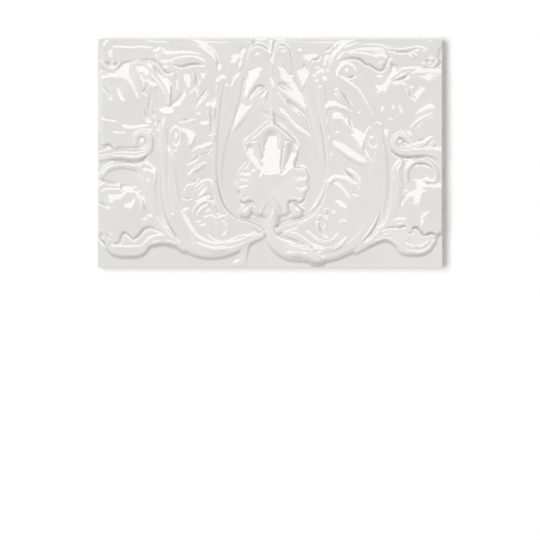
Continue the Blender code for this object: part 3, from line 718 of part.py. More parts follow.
def husk_faces(r):
    r.facet([(-14.8, 55.6), (-12.2, 56.4), (-9.1, 57.8), (-6, 57.5), (-4, 55.6), (-6, 52.5), (-6.4, 49.8),
             (-9, 47.5), (-10.2, 44.5), (-12.2, 41.4), (-14.8, 35.2), (-15.8, 32.8), (-12.5, 33.5),
             (-9.6, 35.8), (-5.4, 40.4), (-4.6, 39.8), (-6, 37.4), (-8.6, 33.8), (-10.4, 30.8), (-15, 25.4),
             (-19, 20), (-25.2, 13.4), (-24, 19), (-21.4, 26.8), (-19, 34.5), (-17.2, 40.6), (-16.4, 46),
             (-15.2, 52)], -0.12, -0.1, 0.5, 0.06)
    r.facet([(4.4, 58.7), (7.1, 58.3), (10.9, 57.2), (12.5, 53.7), (15.2, 52.9), (15.5, 50.6), (17.8, 44.5),
             (20.9, 39), (23.6, 34), (24.4, 27.2), (20.9, 29), (16.3, 33), (9.4, 38.3), (6.3, 43),
             (10.9, 41), (14.8, 39.5), (13.6, 42.2), (12, 45.2), (8.6, 49.5), (7.5, 53), (5.2, 56.8)], 0.12,
            -0.1, 0.5, 0.06)
    r.facet([(5.4, 31.4), (9, 31.4), (11.6, 28.3), (14.8, 24.5), (19.4, 20.2), (24.4, 16.8), (27, 13.7),
             (27.6, 8.4), (22.6, 11.2), (17, 14.8), (12.4, 19.2), (9.4, 23.9), (5.8, 26)], 0.1, -0.1, 0.5,
            0.06)
    r.facet([(22.8, 59.8), (25.9, 54.8), (24, 49.8), (23.2, 45.2), (22, 41.4), (20.9, 43), (18.6, 48.3),
             (18.2, 53.7), (20.9, 56.8)], 0.1)
    r.facet([(22, 65.2), (23.2, 66.2), (33.2, 66.2), (30.9, 63.3), (29.8, 61), (27, 59), (24.8, 60.2),
             (22.5, 62.2)])
    r.facet([(-25, 66), (-19.8, 66.2), (-20.2, 63.7), (-21.4, 61), (-22.5, 59), (-25.8, 58.7),
             (-24.8, 62.2)])
    r.facet([(-19.3, 69.8), (-16.4, 69.6), (-17.2, 66.8), (-18, 62), (-18.4, 57.5), (-19.6, 54),
             (-20.4, 56), (-19.6, 61), (-19.6, 66)])
    r.facet([(-24, 52.2), (-20.6, 54.4), (-19.6, 53.6), (-22.2, 48.3), (-24, 43.7), (-25.9, 42.8),
             (-24.8, 47.5)])
    r.facet([(18.4, 69.8), (20.4, 69.8), (20.8, 66.8), (19.4, 66)])
    r.facet([(0.2, 64), (0.5, 60), (0.9, 53.2), (1.8, 53.2), (1.6, 60), (1.6, 64)])
    r.facet([(0.2, 50.6), (1.6, 50.6), (2.6, 46), (2.9, 41.2), (1.8, 41.2), (1.2, 46)])
    r.streak([(-10, 31.6, 0.9), (-6.4, 33.8, 0.9), (-4, 36.4, 0.9), (-2.6, 39, 0.8)], 0.9)
    r.streak([(4, 43.5, 0.9), (6.3, 39, 1.0), (9.4, 34.7, 1.0), (12.8, 31.2, 1.0), (17.3, 27.4, 1.0),
              (21.5, 23.7, 1.0), (24.6, 20, 0.9)], 0.9)
    r.streak([(-4.4, 26.2, 0.9), (-1.4, 23.6, 0.9)], 0.9)
    r.crease([(-9.8, 45.2, 0.9, 0.7), (-6.8, 45.8, 1.0, 1.0), (-3.6, 45.4, 0.9, 0.7)])
    r.crease([(6.2, 46.6, 0.9, 0.7), (9, 46, 1.0, 1.0), (12, 45, 0.9, 0.6)])
    r.crease([(-3, 45, 0.7, 0.4), (-1.4, 41, 0.9, 0.8), (-2, 36, 0.8, 0.7), (-3.4, 32, 0.6, 0.4)])
    for x, y, radius in ((-8.4, 65.2, 1.6), (9, 67, 1.7), (-28.8, 44.8, 1.3), (31.4, 56.2, 1.3),
                         (29.2, 51, 1.1), (30.6, 47.6, 1.1), (33, 43.6, 1.0), (1, 29, 1.2), (1.4, 23, 1.1)):
        r.spot(x, y, radius)
    r.facet([(-35.8, 46), (-35.2, 49), (-32.8, 51.4), (-30.4, 50.8), (-32.4, 49.4), (-34.4, 46.4)])
    r.facet([(-35.4, 58.6), (-34.6, 53.6), (-32.6, 53.4), (-32, 56), (-32.4, 59), (-34, 60)])
    r.facet([(36.4, 66), (38.8, 65.4), (37.6, 60.6), (36.8, 56), (35.6, 55.4), (35.2, 60)])
    r.facet([(34.6, 51.8), (36.4, 51.6), (38, 47.6), (36.6, 46.8)])
    r.crease([(27.6, 60.2, 0.7, 0.6), (29, 61.8, 0.8, 0.9), (31.6, 61.8, 0.8, 0.9), (33, 64, 0.6, 0.5)])
    r.crease([(37, 67.6, 0.7, 0.5), (38.6, 68.6, 0.9, 0.9), (40.2, 70.6, 0.7, 0.5)])


def upper_left_faces(r):
    r.facet([(-90.9, 60.2), (-92, 57.9), (-92.2, 53.7), (-90.9, 49), (-89, 43.7), (-86.3, 37.5),
             (-84.4, 32.2), (-84.2, 27.2), (-84.9, 27.2), (-86.3, 32.9), (-88.6, 39), (-90.9, 44.5),
             (-93.2, 47.9), (-96.7, 51), (-100.9, 52.5), (-105.5, 52.9), (-105.5, 53.8), (-100.2, 55.2),
             (-96.3, 57.7), (-93.6, 59.8)], 0.05, -0.2, 0.5, 0.06)
    r.streak([(-91, 60.6, 1.0), (-87.6, 61.2, 1.1), (-83.4, 59.8, 0.9)])
    r.facet([(-88.6, 58.2), (-83.2, 58.7), (-80.4, 55.8), (-80.2, 52.9), (-80.5, 50.2), (-79, 46.4),
             (-75.5, 45.2), (-75.5, 42.8), (-78.6, 42.8), (-80.4, 46), (-81.6, 50), (-84.5, 52),
             (-87.3, 54.5)])
    r.facet([(-101.3, 44.8), (-99.8, 44.6), (-98.2, 41.4), (-96.3, 36.8), (-95.4, 33.3), (-96.7, 32.5),
             (-98.6, 34), (-99.5, 37.5), (-100.5, 41.4)])
    r.facet([(-110.9, 51.6), (-106.3, 52.4), (-101.7, 52.2), (-97.5, 50.2), (-97.8, 49), (-100.4, 49.9),
             (-105.5, 51.4), (-109, 49.8), (-110.2, 47.2), (-111.2, 48.6)])
    r.facet([(-98.2, 19.5), (-95.5, 19.6), (-90.2, 18.7), (-84.4, 19.8), (-83.2, 19.5), (-83.2, 16.8),
             (-86.3, 16.4), (-89.4, 15.2), (-93.2, 15.2), (-96.6, 15.8)])
    r.facet([(-104.8, 15.6), (-100.9, 14.5), (-96.3, 14.8), (-94, 13.6), (-98.2, 12.3), (-102.5, 12.3)])
    r.facet([(-106, 69.8), (-106.9, 66.8), (-105.7, 61.8), (-104.4, 61.8), (-104.8, 66), (-104, 69.4)])
    r.facet([(-79, 59.5), (-75.5, 52.9), (-70.9, 45.2), (-68.6, 40.6), (-67.5, 34), (-66, 31.5),
             (-65.7, 37.5), (-65.4, 43.7), (-67.8, 48.3), (-72.5, 53.7), (-77, 59.5)], -0.12)
    r.facet([(-74, 29.8), (-73.2, 26.8), (-70.9, 25.2), (-67.5, 25), (-65.5, 27.2), (-62.8, 29),
             (-65.5, 31.5), (-68, 33), (-71, 30)])
    r.facet([(-63.5, 31), (-60.2, 33.7), (-57, 38.3), (-54.8, 42.2), (-56, 43.7), (-57, 49), (-57.5, 53),
             (-54.8, 53.7), (-52.8, 53), (-52.8, 43), (-54.4, 39), (-57, 34.5), (-60.2, 30.6)], 0.1)
    r.crease([(-75.4, 56.4, 0.6, 0.5), (-72.4, 52.4, 0.8, 0.8), (-70, 49, 0.6, 0.4)])
    r.crease([(-78, 53.6, 0.6, 0.5), (-75, 50, 0.9, 0.8), (-71.4, 45, 0.7, 0.6), (-69.6, 40, 0.5, 0.2)])
    r.crease([(-62, 54, 0.7, 0.2), (-61.6, 50, 0.9, 0.5), (-61.4, 43, 0.7, 0.2)])
    r.crease([(-50.4, 54, 1.2, 0.3), (-48.6, 50, 1.7, 0.8), (-48.6, 44, 1.4, 0.5), (-47, 38, 1.0, 0.3)])
    r.facet([(-46, 53.6), (-44.4, 54), (-43.8, 50), (-43.4, 47.5), (-44.8, 48.7)])
    r.facet([(-70.2, 67.5), (-64, 68.4), (-57, 68.6), (-51.7, 68), (-47.8, 66.4), (-45, 63.8), (-49, 65.2),
             (-55, 65.8), (-60, 65.2), (-65, 64.2), (-69, 64.2)])
    r.streak([(-63.4, 62.4, 0.8), (-59, 63.6, 1.0), (-53, 64, 1.0), (-48, 63.4, 1.0), (-44.6, 61.6, 1.0),
              (-42.8, 59.8, 0.8)])
    r.crease([(-63, 58.4, 0.9, 0.6), (-58.6, 57.2, 1.2, 1.2), (-53, 58.6, 1.2, 1.2),
              (-47.6, 58.9, 1.1, 1.0), (-44, 58, 0.8, 0.4)])
    r.crease([(-77, 61.4, 0.8, 0.5), (-73, 59, 1.0, 1.0), (-70.6, 55.4, 1.0, 1.0), (-68, 53, 1.0, 1.0),
              (-64.8, 53.2, 0.8, 0.4)])
    r.crease([(-105, 69.8, 0.8, -0.2), (-98, 69.6, 1.1, -0.4), (-92, 69, 1.1, -0.4), (-86, 69.6, 1.1, -0.4),
              (-78, 69, 0.9, -0.2)])
    r.crease([(-110.4, 46, 0.9, 0.3), (-109, 43, 1.2, 0.8), (-106.6, 40.4, 1.3, 0.9),
              (-105.2, 36, 1.0, 0.4)])
    r.spot(-69.3, 56.6, 1.6)
    r.spot(-76, 67.6, 1.5)
    r.spot(-82, 47.4, 1.4)
    r.crease([(-110, 61, 0.8, 0.4), (-107.6, 59.6, 1.0, 0.8), (-104, 58.8, 1.1, 0.9),
              (-100.6, 59.4, 1.0, 0.7)])
    r.spot(-107.8, 58.6, 1.2)
    r.spot(-104.2, 57.6, 1.2)
    r.spot(-79.8, 15.2, 1.3)
    r.facet([(-77.2, 31), (-76.4, 30.6), (-76.8, 27), (-78, 26.6), (-78, 29)])
    r.facet([(-75.6, 21.8), (-74, 22.2), (-75.4, 17.6), (-76.6, 17.6)])
    r.facet([(-83.6, 74.6), (-68, 74.4), (-68, 72.8), (-80, 73)])
    r.facet([(-52, 75), (-46, 75), (-42.2, 71), (-38.6, 67), (-35.6, 62.4), (-34.8, 59.6), (-36.6, 60.4),
             (-40, 65), (-44, 69.4), (-48, 72.6)], 0.05)
    r.streak([(-49.4, 29.6, 0.9), (-45, 34.4, 1.0), (-41, 39, 0.9)], 0.9)
    r.streak([(-46, 37.4, 0.7), (-42.6, 44.4, 0.7)], 0.9)
    r.streak([(-60, 25.6, 0.9), (-54, 28.8, 1.0)], 0.7)
    r.crease([(-48.6, 33, 0.6, 0.3), (-45, 38, 0.9, 0.8), (-42, 42, 0.7, 0.5)])
    r.crease([(-59.6, 20.8, 0.6, 0.3), (-56.4, 22, 0.9, 0.9), (-54, 22.2, 0.7, 0.5)])
    r.crease([(-81.5, 46.4, 0.6, 0.4), (-82, 43, 0.8, 0.9), (-83.6, 40.4, 0.8, 0.9), (-81, 39.2, 0.7, 0.8),
              (-79.4, 37, 0.8, 0.9), (-79.6, 33, 0.8, 0.8), (-80.6, 29, 0.8, 0.8), (-80.4, 24, 0.8, 0.8),
              (-79, 21, 0.6, 0.5)])
    r.crease([(-76.2, 31, 0.6, 0.4), (-76.8, 26.6, 0.7, 0.8), (-75.4, 23, 0.6, 0.5)])
    r.crease([(-82.4, 31, 0.6, 0.3), (-82, 25, 0.8, 0.8), (-80.6, 20.6, 0.6, 0.4)])
    r.crease([(-111, 24, 0.6, 0.4), (-107, 23, 0.8, 0.8), (-102.6, 22, 0.7, 0.5)])
    r.streak([(-111.6, 22.2, 0.7), (-107, 21.8, 0.8), (-103, 20.4, 0.7)], 0.7)
    r.streak([(-83, 41, 0.7), (-81, 38.6, 0.8), (-79.4, 37, 0.6)], 0.9)


def lower_left_faces(r):
    r.facet([(-84.8, -9.5), (-83.2, -8.6), (-79.4, -8.6), (-78.2, -10), (-75.5, -10.2), (-75.3, -19.8),
             (-76.7, -20.2), (-77, -14.5), (-78.6, -12.5), (-81, -13), (-83, -12)])
    r.facet([(-82.8, -12), (-81.8, -12.4), (-80.8, -20.2), (-82.2, -20)])
    r.facet([(-89, -10), (-87.8, -10.4), (-84.6, -19.6), (-85.4, -20), (-88, -14)], -0.15)
    r.streak([(-104.8, -7.8, 0.9), (-99.4, -7, 1.0), (-94, -7.9, 0.9)])
    r.facet([(-99, -21.4), (-97.5, -20.6), (-91.3, -21), (-89.4, -24.5), (-85.9, -29), (-83.6, -33.7),
             (-83.4, -38.3), (-84.8, -36.8), (-86.3, -33), (-88.6, -29), (-90.9, -26), (-94, -24.8),
             (-98, -25)], -0.08)
    r.facet([(-107.8, -28.3), (-106.7, -26.6), (-99.4, -26), (-98, -25), (-95.9, -26), (-97.5, -28.3),
             (-98, -31.5), (-102.5, -32), (-103.6, -35.2), (-105.5, -34.8), (-107.5, -32)])
    r.facet([(-96.7, -33.7), (-95.5, -32.4), (-91.7, -32), (-91, -36), (-91.7, -37.4), (-94.8, -37.4),
             (-96.3, -36)])
    r.streak([(-111.4, -25.4, 0.9), (-109.6, -23.9, 1.0), (-105, -23.6, 1.1), (-100.6, -23.8, 0.9)])
    r.facet([(-110.2, -50.2), (-105.5, -52.2), (-102.5, -54.8), (-101.3, -57.9), (-102.7, -57.9),
             (-104.4, -54.6), (-107.5, -53.2), (-109.8, -54)])
    r.facet([(-84.4, -46.8), (-83.6, -43), (-82.8, -41.5), (-81, -41.8), (-80.5, -42.8), (-76.3, -42.8),
             (-76.3, -44), (-79.4, -44.6), (-82, -44.9), (-83.6, -46.8)])
    r.streak([(-74.4, -42.5, 1.0), (-70.2, -49.8, 1.2), (-65.5, -55.2, 1.2), (-61.7, -59.5, 0.9)], 0.8)
    r.streak([(-65.2, -47.2, 0.8), (-61, -53.7, 1.0), (-57, -59, 1.1), (-53.6, -63, 0.9)], 0.8)
    r.crease([(-73, 4, 0.8, 0.2), (-72.4, -10, 1.0, 0.5), (-71.8, -22, 1.0, 0.6), (-70, -36, 1.0, 0.7),
              (-66.6, -47, 1.1, 1.0), (-62.6, -54, 1.0, 1.0), (-59.8, -58.4, 0.6, 0.4)])
    r.crease([(-67.6, 6, 0.8, 0.2), (-68, -10, 1.0, 0.4), (-67.4, -26, 1.0, 0.4), (-64.6, -40, 0.9, 0.3)])
    r.streak([(-81, -55.8, 0.9), (-76.3, -54.6, 1.1), (-71, -55.7, 1.1), (-66.3, -58.2, 0.9)])
    r.streak([(-78.4, -59, 0.9), (-71, -58.3, 1.1), (-65.5, -58.4, 1.1), (-62, -59.7, 0.9)])
    r.streak([(-73.6, -52.4, 0.7), (-70.2, -53.8, 0.8)])
    r.streak([(-98.8, -61.8, 1.0), (-95, -62.1, 1.2), (-91, -62.1, 1.0)], 0.8)
    r.streak([(-99, -66.4, 0.8), (-94, -66.8, 0.9), (-88, -66.6, 0.8)])
    r.streak([(-104.6, -61.4, 0.9), (-102.6, -63.6, 0.9)])
    r.crease([(-104.4, -58.8, 0.8, 0.3), (-101.4, -59, 0.8, 0.5), (-99, -57.8, 0.8, 0.5),
              (-97.6, -54, 0.8, 0.5), (-96, -51.8, 0.8, 0.5), (-93.4, -53.6, 0.8, 0.5),
              (-90.5, -56, 0.8, 0.5), (-87, -54.4, 0.8, 0.5), (-83, -50, 0.8, 0.5), (-79, -48.2, 0.8, 0.5),
              (-74.5, -50.2, 0.8, 0.4), (-70.6, -53, 0.7, 0.3)])
    r.crease([(-113.4, -32, 0.9, 0.9), (-110, -33.8, 1.0, 1.1), (-106.4, -35.8, 0.7, 0.4)])
    r.streak([(-99, 1.3, 0.8), (-92, 1.9, 1.1), (-86, 1.9, 1.0)], 0.8)
    r.crease([(-104, -4.8, 0.9, 0.6), (-95, -5.2, 1.1, 1.2), (-88.6, -6.3, 1.1, 1.2), (-83.6, -4, 1.1, 1.1),
              (-79.4, 0.6, 0.8, 0.6)])
    r.streak([(-103, -1.6, 0.8), (-96, -2.2, 1.0), (-89, -2.6, 1.1), (-84.4, -1, 1.0), (-81.6, -0.2, 0.7)],
             0.8)
    r.streak([(-108.6, 5.2, 0.8), (-105.5, 2.5, 0.9), (-101.7, 0.8, 0.8)], 0.8)
    r.streak([(-106.4, 6.2, 0.9), (-103.6, 5.8, 1.0), (-102, 4, 0.8)], 0.8)
    r.crease([(-108, 5.6, 0.6, 0.4), (-105.4, 4.4, 0.9, 0.9), (-102, 2.4, 0.8, 0.7),
              (-99.4, 3.6, 0.6, 0.4)])
    r.spot(-84.2, 9.2, 1.4)
    r.crease([(-113, -57, 0.9, 0.8), (-111.4, -60, 1.2, 1.2), (-109, -62, 0.9, 0.8)])
    r.facet([(-113, -3.6), (-111.6, -0.4), (-110.8, -1), (-112.2, -4)])


def inner_left_faces(r):
    r.facet([(-57.8, -13.6), (-56.6, -7.6), (-52.6, -1), (-47.4, 3.4), (-42.6, 6), (-38.6, 6.6),
             (-38.8, 4.2), (-43, 2.4), (-47.4, -0.8), (-51, -5), (-53.8, -9.6), (-56, -14)], -0.09, 0.5)
    r.streak([(-54.6, -14.8, 0.8), (-50.6, -11, 1.6), (-46.8, -8.2, 1.7), (-44.6, -7, 1.0)], 0.3)
    r.facet([(-57.4, -26), (-56.6, -24), (-53.5, -21), (-50.5, -20.2), (-47.4, -16.3), (-45.5, -15.5),
             (-47, -18.4), (-50.5, -22), (-54.3, -23.6), (-55.8, -25.8)])
    r.streak([(-50.2, -26, 1.1), (-47, -23.2, 1.6), (-43.6, -20.4, 1.8), (-40.4, -19.6, 1.8),
              (-38, -20.8, 1.5), (-36, -24.4, 1.0)], 0.6)
    r.facet([(-46.2, -28.6), (-45.5, -24.8), (-43.5, -21.7), (-40.8, -21.3), (-41.6, -24.8), (-43.2, -27.8),
             (-45.5, -29)], 0, 0.5)
    r.streak([(-51.2, -38.6, 1.0), (-49.2, -35.6, 1.4), (-46.2, -32.4, 1.4), (-43.4, -30.8, 1.4),
              (-40, -30, 1.0)], 0.7)
    r.facet([(-48.5, -43.2), (-47.8, -39.4), (-45.5, -36), (-41.2, -33.2), (-39.7, -32.2), (-40.6, -35.5),
             (-43.5, -37.2), (-46.6, -40), (-47.8, -42.8)], 0, 0.5)
    r.facet([(-58.2, -36.3), (-53.5, -36.5), (-54.8, -39), (-57.4, -39.3)])
    r.facet([(-47, -46.6), (-42.8, -46.4), (-42.8, -48.8), (-44.8, -49.3), (-46.8, -48)])
    r.facet([(-59, 17.2), (-54.3, 17.2), (-52.8, 14.8), (-50, 13), (-49.3, 9.8), (-52, 5.2), (-54, 4.8),
             (-54.7, 8.3), (-56.2, 12.2)])
    r.facet([(-46, 21), (-40, 21.8), (-40, 18), (-45.5, 18.3)])
    r.facet([(-43.4, 31), (-39, 34.4), (-36.4, 39), (-35.4, 36), (-35, 31.4), (-38, 30), (-40.2, 30.4),
             (-40.4, 25), (-41.6, 24.6), (-41.2, 29.6)])
    r.facet([(-36.4, 30), (-35.2, 30), (-35.4, 17), (-36.6, 8), (-37.6, 8), (-36.4, 17)], 0.05)
    r.facet([(-62.8, 14), (-61.3, 14), (-61.3, 9), (-62.6, 9)])
    r.streak([(-62, 4.4, 0.8), (-59.4, 6.2, 0.9), (-58.2, 9, 0.8)])
    r.streak([(-39.8, -1.2, 0.7), (-37.8, -2, 0.8), (-36.8, -4.6, 0.7)])
    r.streak([(-40.8, 11.6, 0.7), (-38.6, 11.8, 0.7)])
    r.streak([(-30.2, -44.2, 0.8), (-28.2, -43, 0.9), (-25.4, -44.9, 0.8)])
    r.streak([(-28.6, -40.8, 0.8), (-24.2, -43.4, 0.8)])
    r.facet([(-30.8, -45.6), (-29.8, -45.6), (-28.4, -49.4), (-28.4, -52.5), (-29.6, -55), (-30.4, -54.6),
             (-29.4, -52), (-29.6, -49)])
    for x, y, radius in ((-62.6, 1.4, 1.0), (-51.2, 21.4, 1.3), (-47.4, 26, 1.6), (-41.6, -38.6, 1.5),
                         (-39, -41.2, 1.4), (-34, -40.6, 1.3), (-35.2, -42.6, 1.0)):
        r.spot(x, y, radius)
    r.crease([(-46, -1.2, 0.8, 0.6), (-43.4, -0.8, 1.0, 1.2), (-40.6, 0.4, 1.0, 1.2),
              (-38.8, 2.2, 0.7, 0.6)])
    r.crease([(-39, 30, 0.7, 0.5), (-39, 22, 0.9, 0.9), (-39, 13.4, 0.9, 0.9)])
    r.crease([(-57, -29.6, 0.8, 0.6), (-54, -30, 0.9, 0.8), (-52, -30, 0.6, 0.4)])
    r.crease([(-52, -20.8, 0.6, 0.4), (-49.4, -18.6, 0.8, 0.8), (-47.6, -16, 0.6, 0.4)])
    r.crease([(-53.4, -7, 0.6, 0.3), (-50, -4.4, 0.9, 0.8), (-47, -2, 0.8, 0.7)])
    r.crease([(-44, -28.4, 0.6, 0.4), (-40, -27, 0.9, 0.8), (-37.4, -28.6, 0.8, 0.6),
              (-38.2, -32, 0.6, 0.3)])
    r.crease([(-34.6, -18, 0.9, 0.3), (-32.6, -27, 1.1, 0.9), (-30, -33.6, 1.3, 1.3),
              (-25.6, -39.4, 1.3, 1.3), (-20, -43, 1.8, 1.4), (-13, -44.2, 2.0, 1.5), (-7, -46.6, 2.0, 1.5),
              (-3.6, -50.4, 1.4, 1.2)])
    r.streak([(-28.8, -31.6, 0.7), (-27.4, -35, 0.9), (-25, -38.8, 0.8)], 0.8)
    r.streak([(-40.5, -54, 1.0), (-38.2, -56.3, 1.2), (-34.3, -58.2, 1.2), (-29.7, -58.6, 1.2),
              (-25, -56.8, 1.2), (-19.7, -54.6, 1.2), (-14.3, -54, 1.2), (-9.4, -52, 1.0)], 0.8)
    r.facet([(-52, -53), (-51, -53), (-49.4, -56.4), (-46.6, -58.8), (-41.4, -61), (-35.6, -62.2),
             (-29, -61.8), (-29, -64.2), (-36, -65.2), (-42.4, -64), (-47.6, -61.4), (-51, -57.6)], 0, 0.3)
    r.streak([(-29.6, -63, 1.6), (-22.8, -61.6, 1.4), (-16.6, -59.2, 1.3), (-11.2, -56.6, 1.2),
              (-5.4, -54.6, 1.0)], 0.7)
    r.facet([(-13.6, -61.8), (-11, -61), (-12.4, -64), (-13, -71), (-14.8, -72), (-14.2, -66)])


def upper_right_faces(r):
    r.facet([(44.4, 61.6), (46, 63.8), (48.4, 66.8), (51.4, 68.3), (56, 69.5), (61.4, 70.6), (69, 70.4),
             (75, 70.5), (71.6, 69.2), (65, 68.9), (59, 68.4), (54.5, 67.2), (49.8, 65.4), (46.8, 62.6),
             (45.4, 60.4)])
    r.streak([(56, 66.6, 0.9), (62, 66, 1.0), (67, 64.8, 0.9), (70.8, 63.4, 0.7)])
    r.crease([(46.6, 62, 0.8, 0.4), (51.4, 64.6, 1.1, 1.0), (58, 64.4, 1.2, 1.3), (61.4, 62.6, 1.2, 1.4),
              (63.7, 59.6, 1.2, 1.4), (66, 58.4, 1.1, 1.3), (69, 56.4, 1.1, 1.3), (71.6, 54.9, 1.1, 1.3),
              (74.6, 55, 1.1, 1.2), (76.2, 57.6, 1.0, 1.0), (78, 61.4, 0.9, 0.7), (80, 63.8, 0.7, 0.4)])
    r.streak([(77, 70.2, 0.8), (82, 68.9, 1.0), (88.3, 68.9, 1.0), (94.5, 70.2, 1.0), (100.6, 70.2, 1.0),
              (103.6, 68.6, 0.9)], 0.8)
    r.crease([(79, 68, 0.7, 0.4), (86, 67, 1.0, 0.9), (92, 67.4, 1.0, 0.9), (97.6, 69, 0.8, 0.5)])
    r.facet([(95.6, 54.4), (97.4, 57.6), (99, 58.2), (101.4, 55.8), (104.5, 54.8), (112.6, 54.8),
             (112.6, 53.4), (104, 52.8), (98, 52), (95.4, 52.2), (93.8, 50), (94.2, 52.6)])
    r.facet([(100.6, 51.6), (102.4, 51.6), (105.6, 48), (104.4, 46.8)])
    r.facet([(98.6, 45.2), (102.2, 44.2), (101.8, 41.4), (100.2, 38.3), (96.8, 33), (95.4, 33), (96, 36.4),
             (94, 37.2), (96, 40.6), (97.5, 43)])
    r.facet([(107.2, 34.5), (108.7, 32.5), (109, 28.3), (105.2, 28.3), (101.4, 26.4), (96.8, 24.8),
             (94.6, 23.2), (95.6, 24.8), (97.5, 26.8), (99, 29.8), (103, 32.5)])
    r.streak([(92.5, 15, 1.0), (94.5, 18.3, 1.2), (96.8, 21, 1.2), (100.6, 23.3, 1.2), (105.4, 25.6, 0.9)],
             0.8)
    r.facet([(85.4, 17.4), (89.8, 15.4), (92.6, 16.4), (94, 12), (92.4, 9), (90.6, 12.6), (86, 16)])
    r.facet([(97.6, 18.8), (99.2, 19), (99.6, 16.4), (98.2, 15.6)])
    r.facet([(80.9, 32.8), (82.6, 32.8), (82.5, 28), (81, 28)])
    r.facet([(84.5, 33), (86.4, 33), (87.2, 29), (88.4, 25), (87.4, 23.2), (85.8, 26), (84.8, 29)])
    r.facet([(73.2, 30.6), (75.3, 32.4), (74.9, 26.8), (73.4, 26.8)])
    r.facet([(81.4, 56.8), (83.3, 55.2), (82.9, 53), (80.2, 50.6), (79.8, 46), (78, 43), (77.5, 38),
             (76, 39.4), (73.4, 40), (71.8, 36), (71, 37.5), (70.8, 40.6), (69.4, 44.5), (72.2, 44),
             (75.2, 45.2), (76.4, 49), (78.3, 53)])
    r.facet([(70.8, 52), (74.4, 51.8), (74, 49.4), (71.4, 49.4)])
    r.crease([(81.6, 46.6, 0.7, 0.4), (83.6, 48, 0.9, 0.9), (86, 49, 0.9, 1.0), (89, 50, 0.9, 1.0),
              (91, 52.6, 0.7, 0.5)])
    r.streak([(84.8, 50.6, 0.9), (87.6, 51.8, 1.0), (90.2, 52.4, 0.8)], 0.9)
    r.streak([(82, 51, 0.7), (84, 53, 0.8), (86.6, 54.6, 0.7)], 0.8)
    r.streak([(81.4, 43.4, 0.7), (83.4, 45.6, 0.8), (85.6, 47, 0.7)], 0.8)
    r.streak([(86.6, 45, 0.8), (88.6, 44.8, 0.9), (90.4, 44.2, 0.8)], 0.8)
    r.facet([(44.2, 49), (43.8, 52), (44.6, 56), (46.6, 59), (50.4, 60.4), (47.6, 57.4), (46, 54),
             (45.4, 50)])
    r.facet([(49.7, 57), (51.2, 57), (51.2, 53.2), (50, 53.2)])
    r.crease([(50.8, 50.6, 0.8, 0.6), (53.4, 50.2, 1.1, 1.2), (56, 51.2, 0.9, 0.8)])
    r.streak([(58.3, 43, 0.7), (61.4, 37.5, 1.0), (65.2, 30.6, 1.0), (68.4, 25.6, 0.8)], 0.9)
    r.streak([(44.4, 41.6, 1.0), (48.3, 37.5, 1.3), (51.4, 33.4, 1.0)], 0.9)
    r.streak([(44, 38.6, 0.7), (47.5, 35.2, 0.8), (51.4, 31, 0.7)], 0.9)
    r.crease([(45, 43, 0.5, 0.4), (49.4, 38.4, 0.7, 0.8), (53, 33, 0.6, 0.5)])
    r.facet([(38, 30.4), (39.6, 33.6), (41.8, 34), (44.5, 33), (48.3, 31.4), (51.6, 29.8), (52.4, 27.4),
             (50.6, 27.4), (47.5, 29.4), (44.5, 30.4), (41.8, 29.8), (39.6, 29.6)])
    r.facet([(41.6, 22), (41.4, 25.2), (42.5, 28.4), (44.5, 28), (47.6, 26.4), (48.8, 23.6), (50.6, 20.6),
             (53.7, 15.2), (52.4, 15.6), (48, 20.6), (44, 22.2)])
    r.facet([(51.8, 23.4), (53.8, 23.3), (55.4, 19), (58.5, 16), (61.5, 13.7), (62.7, 9), (61.9, 3),
             (61.8, -0.4), (59.2, 2.2), (56.9, 6), (54, 10.6), (54.6, 14.5), (52.3, 19.8)])
    r.facet([(41.5, 7.2), (43, 8), (46.2, 6), (50, 3.7), (53.8, 0.6), (58.5, -1.7), (61.5, -4), (64.6, -7),
             (60, -6.3), (56.9, -4.8), (53.8, -2.5), (50, -1), (47.7, 1.4), (44.6, 3.7), (42.3, 5.2)])
    r.facet([(61.6, 0.4), (62.8, 0), (64.8, -5.6), (64, -6)])
    r.facet([(63.6, 0.4), (65, 0), (67.4, -7.4), (66.2, -7.6)])
    r.facet([(37.9, 12.4), (39.3, 12.4), (39.5, 7.8), (38.4, 7.4)])
    r.facet([(36.6, 24), (38, 24), (38, 17), (37.2, 17)])
    r.facet([(42, 70.6), (43, 73.4), (44.6, 75), (50, 75), (46.6, 73), (43.6, 69.2), (42.6, 69)])
    r.facet([(75.4, 16.6), (78.4, 16.4), (78, 10), (77.4, 6.2), (76, 10)])
    for x, y, radius in ((73.6, 59.2, 1.8), (77.4, 57.4, 1.4), (94.6, 64.8, 2.4), (102, 67.6, 1.3),
                         (107.2, 62, 1.5), (44.8, 13.4, 1.6), (93.4, 43.4, 1.4), (79.6, 22, 1.4),
                         (67.4, 10, 1.7), (59, 26.6, 1.4), (108, 5.8, 1.6)):
        r.spot(x, y, radius)
    r.crease([(100.8, 60.6, 0.8, 0.6), (103, 61, 1.0, 1.0), (105.8, 61, 0.8, 0.7)])
    r.crease([(104, 58.4, 0.7, 0.5), (106.6, 57.8, 1.0, 1.0), (109, 59.4, 0.9, 0.8), (110, 62, 0.7, 0.5)])
    r.streak([(106.6, 56.4, 0.8), (108.6, 57, 0.9), (111, 58.4, 0.8)], 0.8)
    r.crease([(92, 40.6, 0.9, 0.3), (93, 38, 1.1, 0.7), (94, 36.4, 0.7, 0.3)])


